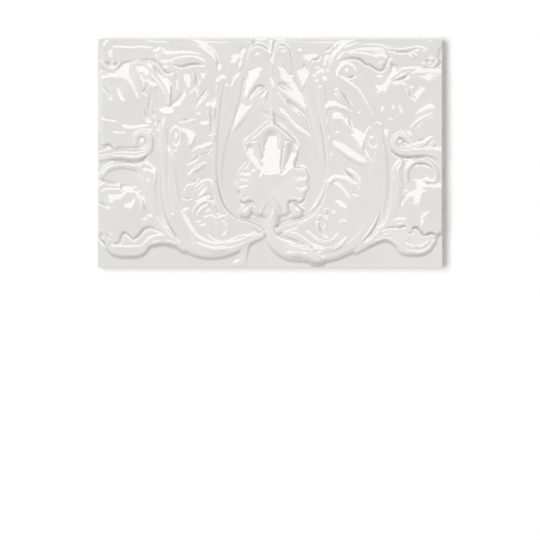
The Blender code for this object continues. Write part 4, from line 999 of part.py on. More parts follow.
def lower_right_faces(r):
    r.facet([(96, -16.4), (99.8, -16), (101.4, -15), (104.5, -15.6), (102.9, -18), (101.8, -20.6),
             (102.2, -23.7), (106.8, -24), (101.8, -25.2), (100.2, -27.5), (99.7, -34.5), (97.5, -35.2),
             (94.8, -36), (94.5, -32.2), (93.7, -29.8), (91.4, -31.4), (89.2, -34.5), (88.7, -33.7),
             (89.8, -29), (92.9, -26), (95.6, -23), (96, -19)])
    r.facet([(101.4, -37.6), (105.4, -37.4), (104.4, -40), (102.9, -43), (102.2, -47.5), (100.6, -51.4),
             (99.6, -50.4), (98.6, -47), (98.2, -43), (100, -40)])
    r.facet([(81, -45.8), (81, -44.8), (84.5, -43), (86.8, -42), (88.3, -43), (89.7, -44.5), (89, -45.4),
             (85.2, -45)])
    r.streak([(102.8, -21.9, 0.8), (105, -21.9, 0.9), (108.2, -21.9, 0.8)])
    r.facet([(89.2, -17), (90.4, -17), (90.8, -11.4), (92.6, -7.8), (95.4, -5.6), (95, -4.6), (92, -6.6),
             (89.8, -10)])
    r.streak([(95, -5.1, 0.9), (99.8, -3.9, 1.1), (104.5, -4.6, 1.0), (108.3, -7.6, 0.8)])
    r.crease([(93.7, -8.4, 0.7, 0.4), (97.5, -7.3, 0.9, 0.7), (102.2, -7.5, 0.9, 0.7),
              (106.8, -9.5, 0.7, 0.5)])
    r.crease([(102.2, -19.4, 0.8, 0.7), (105.2, -19.9, 1.0, 1.1), (110.2, -19.7, 0.8, 0.8)])
    r.facet([(86.8, -6), (85.6, -6.4), (83.6, -8.6), (82.2, -12.2), (81.6, -18.3), (83, -18.3),
             (83.8, -12.6), (85, -9)])
    r.facet([(86, -11), (86.9, -11), (86.7, -16), (87.8, -21), (86.6, -20.6), (85.8, -16)])
    r.facet([(111, 0.6), (112, 0), (113, -8), (112.2, -9)])
    r.streak([(57.5, -61.8, 0.9), (60.6, -59.6, 1.1), (65.2, -57.5, 1.2), (69, -54.5, 1.2),
              (72.2, -49.8, 1.2), (74.5, -45.2, 1.1), (76.4, -39.8, 0.8)], 0.8)
    r.streak([(59.8, -59, 0.8), (62.2, -56, 1.1), (66, -50.6, 1.2), (69, -45.2, 1.2), (71.4, -39.8, 1.1),
              (73, -35.2, 0.8)], 0.8)
    r.crease([(61.6, -58.4, 0.6, 0.4), (65.6, -54.6, 1.0, 0.9), (69, -50, 1.1, 0.9), (72.4, -42, 1.0, 0.6),
              (74, -34, 0.8, 0.3)])
    r.streak([(68.3, -58.7, 0.8), (72.2, -55.7, 1.0), (76, -54.1, 1.0), (79.8, -53.4, 0.8)], 0.8)
    r.streak([(66, -60.4, 0.8), (70, -58, 1.1), (74.5, -55.9, 1.1), (78.3, -55.9, 1.1), (82.2, -58, 1.0),
              (85.2, -61, 0.8)], 0.8)
    r.streak([(88, -58.6, 0.7), (91, -60.6, 0.9), (94.5, -61.6, 1.1), (98, -62, 1.1), (101.4, -60.8, 1.0),
              (103.8, -58.6, 0.8)], 0.8)
    r.streak([(96, -66, 0.8), (100, -65.4, 0.9), (103.7, -63.8, 1.0), (106.8, -61.4, 1.0),
              (108.4, -57.6, 0.8)], 0.8)
    r.crease([(74.5, -51, 0.7, 0.4), (79, -49.4, 0.9, 0.8), (84.5, -49.4, 0.9, 1.0),
              (87.4, -48.6, 1.1, 1.2), (89.4, -48.2, 0.7, 0.6)])
    r.crease([(94.6, -49.4, 0.8, 0.9), (97.6, -49.6, 1.0, 1.2), (99.8, -52, 1.0, 1.1),
              (101.6, -54.2, 1.0, 1.2), (104.6, -53.6, 1.1, 1.4), (107.5, -53, 1.3, 1.6),
              (110, -54.4, 1.0, 1.0)])
    r.crease([(91.8, -52.8, 0.8, 0.7), (92.8, -53.6, 0.8, 0.7)])
    r.crease([(80.4, 2, 0.9, 0.7), (82.4, -0.4, 1.0, 1.0), (86, -2, 1.1, 1.2), (91.4, -2.8, 1.1, 1.2),
              (97.5, -2.4, 1.0, 1.0), (102.4, -2, 0.8, 0.5)])
    r.streak([(90, 5.8, 0.8), (93, 4.6, 0.9), (97.5, 4.4, 0.9), (101.4, 5.4, 0.9), (103.7, 7.2, 1.1),
              (105.8, 9.6, 1.2)], 0.8)
    r.crease([(85, 9.9, 0.7, 0.6), (87.6, 9.4, 0.9, 0.9), (89.6, 7.4, 0.9, 0.9), (91.6, 5.6, 0.7, 0.5)])
    r.crease([(97, 7.8, 0.8, 0.5), (100.6, 8.8, 1.0, 0.9), (103, 10.4, 0.7, 0.5)])
    r.facet([(38.9, -19.6), (40.4, -16.2), (42.3, -15), (46.2, -15.3), (50, -16), (52.3, -18.2),
             (53.2, -20.6), (50.8, -19.2), (48.5, -17.3), (44.6, -17.3), (41.5, -17.8), (40, -20.6)])
    r.facet([(43, -19.6), (46.2, -20.8), (48.7, -24.2), (51, -27.6), (53.2, -31), (50.8, -30.4),
             (47.5, -25.7), (45.2, -22.6)], 0.05)
    r.facet([(56.9, -14.2), (58.9, -15), (60.6, -17.8), (60.6, -21), (59.6, -24.6), (58.4, -24.8),
             (58.6, -21), (57.8, -17.8)])
    r.crease([(49.2, -11, 0.7, 0.4), (51.6, -13.4, 0.9, 0.8), (54.4, -16, 0.9, 0.9), (57, -19.6, 0.7, 0.5)])
    r.crease([(54.6, -26.2, 0.8, 0.7), (57.6, -27.6, 0.8, 0.7)])
    r.facet([(43.6, -31.2), (46.2, -31.5), (49.2, -33.8), (51, -36.3), (50.6, -38.4), (48.5, -37.1),
             (46.2, -35), (45, -36.9), (44.5, -33.8)])
    r.facet([(40, 0.6), (41.4, 1.2), (41.2, -3), (40, -3.4)])
    for x, y, radius in ((37.3, -38, 1.8), (42.4, -39.6, 1.4), (48.2, -45.2, 2.1), (32.3, -42, 1.4),
                         (94.6, -53.6, 1.5), (87.2, -21.2, 1.2), (89.8, -25.2, 1.2), (85.2, 7.6, 1.2),
                         (28.8, -64, 1.3), (33.5, -65.6, 1.3), (25.8, -67.8, 1.2), (93.2, 2.4, 1.2)):
        r.spot(x, y, radius)
    r.streak([(31.8, -47.4, 0.7), (33, -51.7, 0.8), (37, -56, 0.7)], 0.8)
    r.crease([(33, -46.4, 0.6, 0.5), (33.9, -51, 0.8, 0.8), (37.5, -55.4, 0.6, 0.5)])
    r.streak([(27, -53.2, 0.9), (30.8, -56, 1.1), (33.8, -58.2, 1.2), (37, -59, 1.3), (40.8, -57.6, 1.3),
              (44.4, -53.6, 1.0)], 0.8)
    r.streak([(35, -63.2, 1.1), (40, -63.2, 1.3), (44.6, -61.7, 1.3), (47.7, -59.4, 1.2),
              (50.2, -56.5, 0.9)], 0.8)
    r.streak([(6.6, -52.6, 0.9), (12.3, -51.4, 1.1), (18.2, -49, 0.9)], 0.8)
    r.streak([(12, -52.6, 0.8), (15.4, -52.7, 1.1), (19.2, -53.9, 1.2), (23, -56.7, 1.2), (27.7, -60, 1.0)],
             0.8)
    r.streak([(12.6, -60.6, 0.9), (17, -61.6, 1.0), (21, -62.6, 0.8)])
    r.streak([(12, -65.9, 0.9), (17, -66.4, 1.2), (23.2, -66.3, 1.0)], 0.8)
    r.crease([(8, -53.6, 0.7, 0.3), (15, -56, 1.1, 0.7), (23.6, -60.2, 0.8, 0.4)])
    r.crease([(31.4, 28, 0.8, 0.2), (33.6, 18, 0.9, 0.5), (35.8, 6, 0.9, 0.6), (37.2, -10, 0.9, 0.7),
              (36.8, -21, 1.1, 0.9), (34.6, -30, 1.5, 1.3), (30.6, -36.6, 1.6, 1.4),
              (25.4, -41.2, 1.8, 1.5), (18, -43.8, 2.0, 1.5), (10, -45.6, 2.0, 1.5), (5, -48.4, 1.4, 1.2)])
    r.streak([(27, -36.6, 0.6), (29.6, -33, 0.7), (32, -28, 0.7), (33.6, -22.4, 0.6)], 0.8)
    r.streak([(27, -39.4, 0.6), (30.6, -36.9, 0.7), (34, -33, 0.7), (36.4, -27, 0.7), (37.4, -21, 0.6)],
             0.8)
    r.streak([(63.6, 5.6, 0.8), (66.8, 4, 0.9), (69, 3.2, 0.9), (71, 5.2, 0.7)])


def flatten_rim(r):
    """The face falls away to its edges, and the relief fades out just inside them."""
    to_side = np.minimum(LENGTH / 2 - np.abs(r.X), WIDTH / 2 - np.abs(r.Y))
    r.z *= np.clip(to_side / RIM_FLAT, 0, 1) ** 0.5
    r.z -= EDGE_DROP * np.clip(1 - to_side / EDGE_FALL, 0, 1) ** 2


MASSES = (side_grounds, corner_leaf_left, under_fold_left, corner_leaf_right, palmette, bud, husk,
          flutes_left, flutes_right, top_bands, arch_fan_left, arch_fan_right, hood_left, hood_right, stub,
          inner_leaf_left, inner_leaf_right, cup_flower_left, cup_flower_right, left_scroll,
          side_scroll_left, side_scroll_right, left_heart_band, right_heart_band, right_scroll)
FACES = (palmette_faces, husk_faces, upper_left_faces, lower_left_faces, inner_left_faces,
         upper_right_faces, lower_right_faces)


def tile_relief(columns, rows):
    r = Relief(columns, rows)
    for form in MASSES:
        form(r)
    r.z *= MASS_HEIGHT
    for form in FACES:
        form(r)
    r.ease_walls(WALL_SLOPE, WALL_REACH)
    r.cut_creases()
    r.z = np.maximum(r.z, -FIELD_CUT)
    r.soften(GLAZE_ROUNDING)
    flatten_rim(r)
    return r


# Tile


def clear_scene():
    for thing in list(bpy.data.objects):
        bpy.data.objects.remove(thing)


def collection(name):
    group = bpy.data.collections.new(name)
    bpy.context.scene.collection.children.link(group)
    return group


def move_to(thing, group):
    for old in list(thing.users_collection):
        old.objects.unlink(thing)
    group.objects.link(thing)


def glaze():
    material = bpy.data.materials.new("glaze")
    material.use_nodes = True
    shader = material.node_tree.nodes["Principled BSDF"]
    shader.inputs["Base Color"].default_value = GLAZE_COLOUR
    shader.inputs["Roughness"].default_value = GLAZE_ROUGHNESS
    shader.inputs["Metallic"].default_value = 0
    return material


def relief_sheet(relief):
    """A grid over the tile, raised to the relief."""
    bpy.ops.mesh.primitive_grid_add(x_subdivisions=COLUMNS - 1, y_subdivisions=ROWS - 1, size=2)
    tile = bpy.context.object
    mesh = tile.data
    points = np.empty(len(mesh.vertices) * 3, np.float32)
    mesh.vertices.foreach_get("co", points)
    points = points.reshape(-1, 3)
    i = np.rint((points[:, 0] + 1) / 2 * (COLUMNS - 1)).astype(int)
    j = np.rint((points[:, 1] + 1) / 2 * (ROWS - 1)).astype(int)
    points[:, 0] = relief.x[i] * MM
    points[:, 1] = relief.y[j] * MM
    points[:, 2] = (THICKNESS + relief.z[j, i]) * MM
    mesh.vertices.foreach_set("co", points.ravel())
    return tile


def close_body(mesh):
    """Straight sides from the sheet's rim to the back, and the back."""
    body = bmesh.new()
    body.from_mesh(mesh)
    rim = [edge for edge in body.edges if edge.is_boundary]
    made = bmesh.ops.extrude_edge_only(body, edges=rim)["geom"]
    for corner in made:
        if isinstance(corner, bmesh.types.BMVert):
            corner.co.z = 0
    bmesh.ops.holes_fill(body, edges=[edge for edge in body.edges if edge.is_boundary], sides=0)
    bmesh.ops.recalc_face_normals(body, faces=body.faces)
    body.to_mesh(mesh)
    body.free()


def key_groove(y, group):
    """A cutter for one groove along the back, longer than the tile."""
    bpy.ops.mesh.primitive_cube_add(size=1)
    cutter = bpy.context.object
    cutter.name = "key_groove_cutter"
    sizes = (LENGTH + 2 * CUTTER_OVERRUN, GROOVE_WIDTH, 2 * GROOVE_DEPTH)
    for corner in cutter.data.vertices:
        corner.co = [value * size * MM for value, size in zip(corner.co, sizes)]
    cutter.location = (0, y * MM, 0)
    cutter.hide_render = True
    cutter.display_type = "WIRE"
    move_to(cutter, group)


def build_tile():
    group = collection("ceramic_wall_tile")
    cutters = collection("cutters")
    tile = relief_sheet(tile_relief(COLUMNS, ROWS))
    tile.name = "glazed_tile"
    close_body(tile.data)
    tile.data.materials.append(glaze())
    move_to(tile, group)
    thin = tile.modifiers.new("fewer faces", "DECIMATE")
    thin.ratio = KEPT_SHARE
    first = -GROOVE_SPACING * (GROOVE_COUNT - 1) / 2
    for i in range(GROOVE_COUNT):
        key_groove(first + i * GROOVE_SPACING, cutters)
    cut = tile.modifiers.new("key grooves", "BOOLEAN")
    cut.operand_type = "COLLECTION"
    cut.collection = cutters
    tile.data.shade_smooth()


clear_scene()
build_tile()
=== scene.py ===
"""The looks of a glazed relief wall tile: the pressed acanthus and palmette under a thick gloss glaze."""

import bmesh
import bpy
import numpy as np
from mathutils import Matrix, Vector


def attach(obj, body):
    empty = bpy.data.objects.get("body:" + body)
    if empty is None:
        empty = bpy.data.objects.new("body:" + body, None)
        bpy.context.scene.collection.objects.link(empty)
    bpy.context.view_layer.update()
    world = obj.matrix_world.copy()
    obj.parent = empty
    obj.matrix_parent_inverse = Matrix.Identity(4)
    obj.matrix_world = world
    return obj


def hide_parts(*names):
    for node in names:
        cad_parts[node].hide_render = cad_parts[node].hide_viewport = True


MM = 0.001

# The relief's sizes, in millimetres
LENGTH = 228.0
WIDTH = 151.0
THICKNESS = 9.0
EDGE_DROP = 0.15
EDGE_FALL = 0.6
RIM_FLAT = 0.05
MASS_HEIGHT = 0.5
FIELD_CUT = 0.6
WALL_SLOPE = 0.8
WALL_REACH = 3.0

# Key grooves in the back, in millimetres
GROOVE_WIDTH = 6.0
GROOVE_DEPTH = 1.2
GROOVE_SPACING = 24.0
GROOVE_COUNT = 6

# The fine grid over the face, and how far in millimetres the glaze rounds what is under it
COLUMNS = 381
ROWS = 253
GLAZE_ROUNDING = 0.34

# The mesh: the angle in degrees that stays sharp, and how near in metres to a side counts as on it
SHARP_ANGLE = 50
NEAR_RIM = 1e-5

# How the forms of the relief rise, fall and narrow, in millimetres or as slopes and shares
EDGE_SPREAD = 1.3
PAD_RISE = 0.3
PAD_FILLET = 0.6
FILLET = 0.5
RIDGE_SHIFT = 0.4
BEAD_RISE = 0.2
BEAD_TILT = 0.5
FACET_DROP = 0.7
STEEPEST_FACET = 0.16
CREASE_WIDTH = 0.75
CREASE_CUT = 1.4
STROKE_MARGIN = 0.3
THINNEST_HALF = 0.05
OFF_STROKE = 2.0
FAR_BELOW = -1e3
TINY = 1e-9

# The cross-sections of a ridge and of a groove, over the offset from the stroke in half-widths
OFFSETS = np.linspace(-1, 1, 161)
ROUND = (OFFSETS, np.sqrt(np.clip(1 - OFFSETS ** 2, 0, 1)))
SOFT = (OFFSETS, 0.5 + 0.5 * np.cos(OFFSETS * np.pi))

# The photograph's framing: the view's width and its centre in metres, and the lens in millimetres
FRAME_WIDTH = 0.357
LOOKED_AT = (0, -0.0774, 0.011)
SENSOR = 36.0
LENS = 300.0
CLIP_END = 20

# The room's light, and the floor
ROOM_LIGHT = 0.475
FLOOR_SIZE = 8
FLOOR_WHITE = (0.95, 0.95, 0.95, 1)
FLOOR_GLOW = 0.05

# Softboxes: name, degrees north and east of straight up, distance, width, height and radiance
SOFTBOXES = (
    ("north softbox", (27.5, 0), 3.0, 3.6, 2.2, 1.6),
    ("ceiling softbox", (-12.5, 12.5), 3.1, 1.5, 1.5, 0.3),
)
KEY_LIGHT = ("left key", (4, -27), 9.0, 7.2, 3.6, 6.8)

# Glaze: its tones, the grey of the painted shade in creases and at the foot of walls, and the depths in
# millimetres over which that painted shade deepens
GLAZE_COOL = (0.76, 0.752, 0.735, 1)
GLAZE_WARM = (0.79, 0.776, 0.75, 1)
GLAZE_PAINTED_SHADE = (0.58, 0.565, 0.545, 1)
CLOUD_SPAN = (0.35, 0.65)
PAINTED_SHADE_SPAN = (0.08, 0.8)
GLAZE_IOR = 2.1
GLAZE_ROUGHNESS = 0.06
PEEL_STRENGTH = 0.06
PEEL_DEPTH = 0.001

# The bare body, and the height in metres at which the glaze ends on the sides
BODY_DARK = (0.60, 0.53, 0.44, 1)
BODY_LIGHT = (0.70, 0.64, 0.55, 1)
BODY_ROUGHNESS = 0.85
GLAZE_LINE = 0.0052
GLAZE_LINE_BLUR = 0.0006
GLAZE_LINE_WANDER = 0.002

# Noise patterns: scale and detail
CLOUD_NOISE = (30, 3)
WANDER_NOISE = (90, 2)
PEEL_NOISE = (220, 2)
GRAIN_NOISE = (900, 4)


# Height field


def smooth_line(rows, step=0.7, closed=False):
    """A smooth curve through rows of numbers, the first two of which are x and y."""
    rows = np.array(rows, float)
    if closed:
        knots = np.vstack([rows[-1], rows, rows[0], rows[1]])
    else:
        knots = np.vstack([2 * rows[0] - rows[1], rows, 2 * rows[-1] - rows[-2]])
    pieces = []
    for a, b, c, d in zip(knots[:-3], knots[1:-2], knots[2:-1], knots[3:]):
        count = max(2, int(np.ceil(np.hypot(*(c - b)[:2]) / step)))
        t = np.linspace(0, 1, count, endpoint=False)[:, None]
        linear = 2 * b + (c - a) * t
        square = (2 * a - 5 * b + 4 * c - d) * t ** 2
        cube = (3 * b - a - 3 * c + d) * t ** 3
        pieces.append(0.5 * (linear + square + cube))
    if not closed:
        pieces.append(rows[-1:])
    return np.vstack(pieces)


class Relief:
    """Heights in millimetres above the flat face, on a grid over the tile."""

    def __init__(self, columns, rows):
        self.x = np.linspace(-LENGTH / 2, LENGTH / 2, columns)
        self.y = np.linspace(-WIDTH / 2, WIDTH / 2, rows)
        self.X, self.Y = np.meshgrid(self.x, self.y)
        self.z = np.zeros(self.X.shape)
        self.creases = []

    def window(self, low, high, reach):
        """The part of the grid within a reach of the box between two corners."""
        i = np.searchsorted(self.x, [low[0] - reach, high[0] + reach])
        j = np.searchsorted(self.y, [low[1] - reach, high[1] + reach])
        return slice(*j), slice(*i)

    def along(self, stroke):
        """Each grid point's offset across a stroke, in half-widths, and the stroke's height there."""
        rows = smooth_line(stroke)
        nearest = np.full(self.z.shape, np.inf)
        offset = np.full(self.z.shape, OFF_STROKE)
        height = np.zeros(self.z.shape)
        for a, b in zip(rows[:-1], rows[1:]):
            reach = max(a[2], b[2]) + STROKE_MARGIN
            w = self.window(np.minimum(a, b), np.maximum(a, b), reach)
            px, py = self.X[w] - a[0], self.Y[w] - a[1]
            dx, dy = b[0] - a[0], b[1] - a[1]
            t = np.clip((px * dx + py * dy) / (dx * dx + dy * dy + TINY), 0, 1)
            gap = np.hypot(px - t * dx, py - t * dy)
            half = np.maximum(a[2] + (b[2] - a[2]) * t, THINNEST_HALF)
            closer = gap < nearest[w]
            nearest[w] = np.where(closer, gap, nearest[w])
            offset[w] = np.where(closer, np.sign(dx * py - dy * px) * gap / half, offset[w])
            height[w] = np.where(closer, a[3] + (b[3] - a[3]) * t, height[w])
        return offset, height

    def raise_to(self, heights, inside, blend):
        """The higher of the two surfaces, with a small fillet between them."""
        gap = np.where(inside, heights - self.z, FAR_BELOW)
        mix = np.clip(0.5 + 0.5 * gap / blend, 0, 1)
        self.z += np.where(inside, mix * gap + blend * mix * (1 - mix), 0)

    def band(self, stations, cuts, swell, full=4.0):
        """A band between two edges, each station (left x, y, right x, y, height), creased into strands."""
        rows = np.array(stations, float)
        half = np.hypot(rows[:, 0] - rows[:, 2], rows[:, 1] - rows[:, 3]) / 2
        middle = (rows[:, :2] + rows[:, 2:4]) / 2
        offset, height = self.along(np.column_stack([middle, half, rows[:, 4]]))
        across = np.clip((1 - offset) / 2, 0, 1)
        cuts = np.array(cuts, float)
        strand = np.clip(np.searchsorted(cuts, across, "right") - 1, 0, len(cuts) - 2)
        width = cuts[strand + 1] - cuts[strand]
        bulge = np.sin(np.pi * (across - cuts[strand]) / width) * np.sqrt(width / np.diff(cuts).max())
        share = np.clip(1 - np.abs(offset) ** full, 0, 1)
        heights = (height + swell * bulge) * share
        self.raise_to(heights, np.abs(offset) < 1, FILLET)

    def ridge(self, stroke, blend=FILLET):
        """A round strip along a stroke of points (x, y, half-width, height)."""
        offset, height = self.along([(x, y - RIDGE_SHIFT * half, half, top) for x, y, half, top in stroke])
        share = np.interp(np.clip(offset, -1, 1), *ROUND)
        self.raise_to(height * share, np.abs(offset) < 1, blend)

    def groove(self, stroke):
        """A soft channel along a stroke of points (x, y, half-width, depth)."""
        offset, depth = self.along(stroke)
        share = np.interp(np.clip(offset, -1, 1), *SOFT)
        self.z -= np.where(np.abs(offset) < 1, depth * share, 0)

    def streak(self, stroke, tilt=0.6):
        """A narrow facet along a stroke that runs eastwards (x, y, half-width), facing its north side."""
        offset, half = self.along([(*point, point[2]) for point in stroke])
        share = np.clip(1 - offset ** 2, 0, 1) ** 2
        self.z -= np.where(np.abs(offset) < 1, tilt * offset * half * share, 0)

    def spot(self, x, y, radius):
        """A small bead that faces north."""
        share = np.clip(1 - np.hypot(self.X - x, self.Y - y) / radius, 0, 1)
        share = share * (2 - share)
        self.z += share * (BEAD_RISE - BEAD_TILT * (self.Y - y))

    def facet(self, outline, east=0.0, rise=0.0, edge=0.5, least=0.075):
        """A flat place within an outline, at its mean height, that falls north and, by `east`, east."""
        held, gap = self.edge_of(outline, edge)
        x, y = self.X[held], self.Y[held]
        north = np.clip(FACET_DROP / np.ptp(y), least, STEEPEST_FACET)
        plane = self.z[held].mean() + rise - east * (self.X - x.mean()) - north * (self.Y - y.mean())
        share = np.clip(gap / edge, 0, 1)
        share = share * share * (3 - 2 * share)
        self.z += np.where(held, (plane - self.z) * share, 0)

    def crease(self, stroke):
        """A narrow groove that is cut after the walls are eased, and so stays sharp."""
        cut = [(x, y, CREASE_WIDTH * half, CREASE_CUT * depth) for x, y, half, depth in stroke]
        self.creases.append(cut)

    def cut_creases(self):
        for stroke in self.creases:
            self.groove(stroke)

    def ease_walls(self, slope, reach):
        """Spreads every wall that is steeper than the slope outwards, up to a reach."""
        heights = self.z.copy()
        across, up = self.x[1] - self.x[0], self.y[1] - self.y[0]
        rows, columns = self.z.shape
        i, j = int(reach / across), int(reach / up)
        padded = np.pad(heights, ((j, j), (i, i)), mode="edge")
        for down in range(-j, j + 1):
            for side in range(-i, i + 1):
                fall = slope * np.hypot(down * up, side * across)
                near = padded[j + down:j + down + rows, i + side:i + side + columns]
                self.z = np.maximum(self.z, near - fall)

    def edge_of(self, outline, reach):
        """Which grid points an outline holds, and how far each is from it."""
        points = smooth_line(outline, closed=True)[:, :2]
        held = np.zeros(self.z.shape, bool)
        gap = np.full(self.z.shape, reach)
        for a, b in zip(points, np.roll(points, -1, axis=0)):
            if a[1] != b[1]:
                crossing = a[0] + (b[0] - a[0]) * (self.Y - a[1]) / (b[1] - a[1])
                held ^= ((a[1] > self.Y) != (b[1] > self.Y)) & (self.X < crossing)
            w = self.window(np.minimum(a, b), np.maximum(a, b), reach)
            px, py = self.X[w] - a[0], self.Y[w] - a[1]
            dx, dy = b - a
            t = np.clip((px * dx + py * dy) / (dx * dx + dy * dy + TINY), 0, 1)
            gap[w] = np.minimum(gap[w], np.hypot(px - t * dx, py - t * dy))
        return held, gap

    def pad(self, outline, spots, edge):
        """A leaf or boss: an outline with a round edge, and a surface through a few spot heights."""
        edge *= EDGE_SPREAD
        held, gap = self.edge_of(outline, edge)
        spots = np.array(spots, float)
        lowest, highest = spots[:, 2].min(), spots[:, 2].max()
        top = np.clip(spot_surface(spots, self.X, self.Y), lowest, highest + PAD_RISE)
        self.raise_to(top * np.sin(np.clip(gap / edge, 0, 1) * np.pi / 2), held, PAD_FILLET)

    def painted_shade_depths(self, reach=0.8, north_shift=0.9):
        """How far each point lies below the mean height just north of it: the depth of the painted shade in
        creases and at the foot of walls.
        """
        heights = self.z.copy()
        self.soften(reach)
        depth = np.roll(self.z, -round(north_shift / (self.y[1] - self.y[0])), axis=0) - heights
        self.z = heights
        return depth

    def soften(self, sigma):
        """A Gaussian blur, as a thick glaze rounds what is under it."""
        step = self.x[1] - self.x[0]
        reach = int(np.ceil(3 * sigma / step))
        kernel = np.exp(-0.5 * (np.arange(-reach, reach + 1) * step / sigma) ** 2)
        kernel /= kernel.sum()
        padded = np.pad(self.z, reach, mode="edge")
        rows, columns = self.z.shape
        down = sum(k * padded[i:i + rows] for i, k in enumerate(kernel))
        self.z = sum(k * down[:, i:i + columns] for i, k in enumerate(kernel))


def spot_surface(spots, X, Y):
    """The thin-plate surface through a few spot heights (x, y, height)."""
    def bend(square):
        return 0.5 * square * np.log(square + TINY)

    count = len(spots)
    x, y = spots[:, 0], spots[:, 1]
    system = np.zeros((count + 3, count + 3))
    system[:count, :count] = bend((x[:, None] - x) ** 2 + (y[:, None] - y) ** 2)
    system[:count, count:] = np.column_stack([np.ones(count), x, y])
    system[count:, :count] = system[:count, count:].T
    weights = np.linalg.solve(system, np.append(spots[:, 2], np.zeros(3)))
    surface = weights[count] + weights[count + 1] * X + weights[count + 2] * Y
    for spot, weight in zip(spots, weights):
        surface = surface + weight * bend((X - spot[0]) ** 2 + (Y - spot[1]) ** 2)
    return surface


# Ornament


def palmette(r):
    outline = [(1.5, 20.5), (-4.5, 18), (-9.5, 13.3), (-14, 10), (-17.3, 6.5), (-18, 2), (-17, -2),
               (-15.6, -5), (-17, -8.4), (-20, -11), (-21.6, -15), (-20.8, -17.7), (-23, -20.5),
               (-22.3, -24.5), (-20, -26.3), (-20.6, -30), (-18, -33), (-13, -32), (-11.2, -34), (-12, -39),
               (-8, -41.5), (0, -42.5), (8, -42), (13, -39.5), (12.6, -35), (14, -32), (20, -33.3),
               (23.4, -30.5), (24, -26.6), (26.6, -23.5), (25.4, -19.5), (26.5, -16), (25, -11.5),
               (22, -8.6), (17, -7.8), (18.6, -3), (19.8, 3), (18, 7.6), (14, 11.4), (9, 16)]
    spots = [(1.5, 18, 3.8), (-9, 12, 3.4), (-16, 4, 2.9), (-20, -14, 2.8), (-21, -22, 2.8),
             (-18, -31, 2.8), (10, 14, 3.0), (18, 3, 2.3), (24, -14, 1.9), (25, -23, 1.9), (21, -31, 2.4),
             (1, -14, 5.0), (1, -24, 5.2), (-8, -18, 4.6), (9, -18, 4.5), (-9, -30, 4.0), (10, -30, 3.9),
             (0, -38, 3.0), (-9, -38, 2.8), (9, -38, 2.8)]
    r.pad(outline, spots, edge=1.6)
    for flute in ([(1, -14, 5.0, 0.0), (1, -6, 5.6, 0.9), (1, 3, 6.2, 2.6), (1.2, 10.8, 7.4, 3.4)],
                  [(-4.5, -11, 2.0, 0.2), (-8.5, -5, 2.6, 1.4), (-12, 1, 3.6, 2.4), (-13, 4, 4.0, 2.5)],
                  [(7.6, -12.6, 2.0, 0.2), (11.6, -7, 3.0, 1.4), (14.4, -1, 4.0, 2.4),
                   (14.8, 4.6, 4.2, 2.5)],
                  [(-11, -12.8, 1.0, 0.1), (-15, -13, 1.8, 0.5), (-18.5, -13.4, 2.2, 0.9)],
                  [(15, -15.6, 1.2, 0.1), (18, -15.8, 1.8, 0.5), (22.5, -15.6, 2.4, 1.0)],
                  [(-14, -20.6, 1.0, 0.1), (-16.6, -21, 1.6, 0.5), (-19.6, -21.8, 2.0, 1.0)],
                  [(16, -22, 1.0, 0.1), (19, -22.4, 1.6, 0.5), (23, -22.6, 2.0, 1.0)],
                  [(-12, -27.4, 1.0, 0.1), (-14.4, -28.4, 1.6, 0.5), (-17.6, -29.6, 2.0, 0.9)],
                  [(14, -28.2, 1.0, 0.1), (17, -28.8, 1.6, 0.5), (20.6, -29.6, 2.0, 0.9)]):
        r.groove(flute)
    for lobe in ([(-13, -34.5, 2.2, 2.8), (-16, -37.5, 3.6, 3.2)],
                 [(15, -34.5, 2.2, 2.8), (18, -37.3, 4.0, 3.2)]):
        r.ridge(lobe)
    r.groove([(-10.4, -33, 0.9, 1.0), (-9.6, -37, 1.0, 1.4), (-11.5, -41.5, 1.0, 0.8)])
    r.groove([(13.2, -33, 0.9, 1.0), (12.4, -37, 1.0, 1.4), (14, -41.5, 1.0, 0.8)])


def bud(r):
    r.groove([(2, -30.6, 1.2, 0.4), (-2, -35, 1.4, 1.0), (-5, -41, 1.6, 1.4)])
    r.groove([(2, -30.6, 1.2, 0.4), (6.3, -35, 1.4, 1.0), (8, -41, 1.6, 1.4)])
    r.ridge([(2, -33.5, 0.6, 3.8), (2.2, -37, 2.6, 4.2), (2, -41.5, 4.0, 4.6), (1, -46, 3.8, 4.6),
             (0.4, -50, 2.2, 4.4)])


def left_heart_band(r):
    r.band([(-3, -54, -2, -50.5, 2.8), (-10, -51.5, -9.5, -46.4, 2.6), (-19, -49, -18, -43, 2.6),
            (-28, -44.5, -25.4, -39.6, 2.6), (-34.5, -37, -30.4, -33.4, 2.4), (-37.8, -27, -33.6, -24, 2.2),
            (-38.6, -12, -35.2, -11, 2.2), (-38, 4, -34.8, 3, 2.2), (-37.8, 17, -33.6, 16.5, 2.4),
            (-37.4, 30, -32.4, 29.5, 2.6), (-37, 41, -30.6, 40.5, 2.6), (-35.6, 49, -28.4, 48, 2.4)],
           (0, 0.5, 1), 0.4)


def flutes_left(r):
    """The fluted stalks between the left band and the hanging leaf."""
    r.band([(-15.6, 77, -30, 77, 1.8), (-15.8, 66, -31, 66, 1.9), (-16.4, 56, -32, 56, 2.0),
            (-17.6, 45, -33, 45, 2.0), (-20.4, 33, -34, 33, 1.9), (-24.4, 20, -35.4, 20, 1.7),
            (-28, 8, -36, 8, 1.4), (-30.6, -4, -36.4, -4, 1.2), (-31.6, -16, -36, -16, 0.9),
            (-30.6, -27, -34, -28, 0.5)], (0, 0.18, 0.36, 0.55, 0.75, 1), 0.22)


def flutes_right(r):
    """The fluted stalks between the right band and the hanging leaf."""
    r.band([(31, 77, 15.8, 77, 1.8), (31, 66, 16.2, 66, 1.9), (31, 56, 17, 56, 2.0),
            (32, 45, 19.5, 45, 1.9), (34, 33, 24, 33, 1.7), (35.6, 20, 28, 20, 1.4),
            (36.8, 8, 31.6, 8, 1.0), (37.4, -4, 34, -4, 0.6)], (0, 0.25, 0.5, 0.75, 1), 0.22)


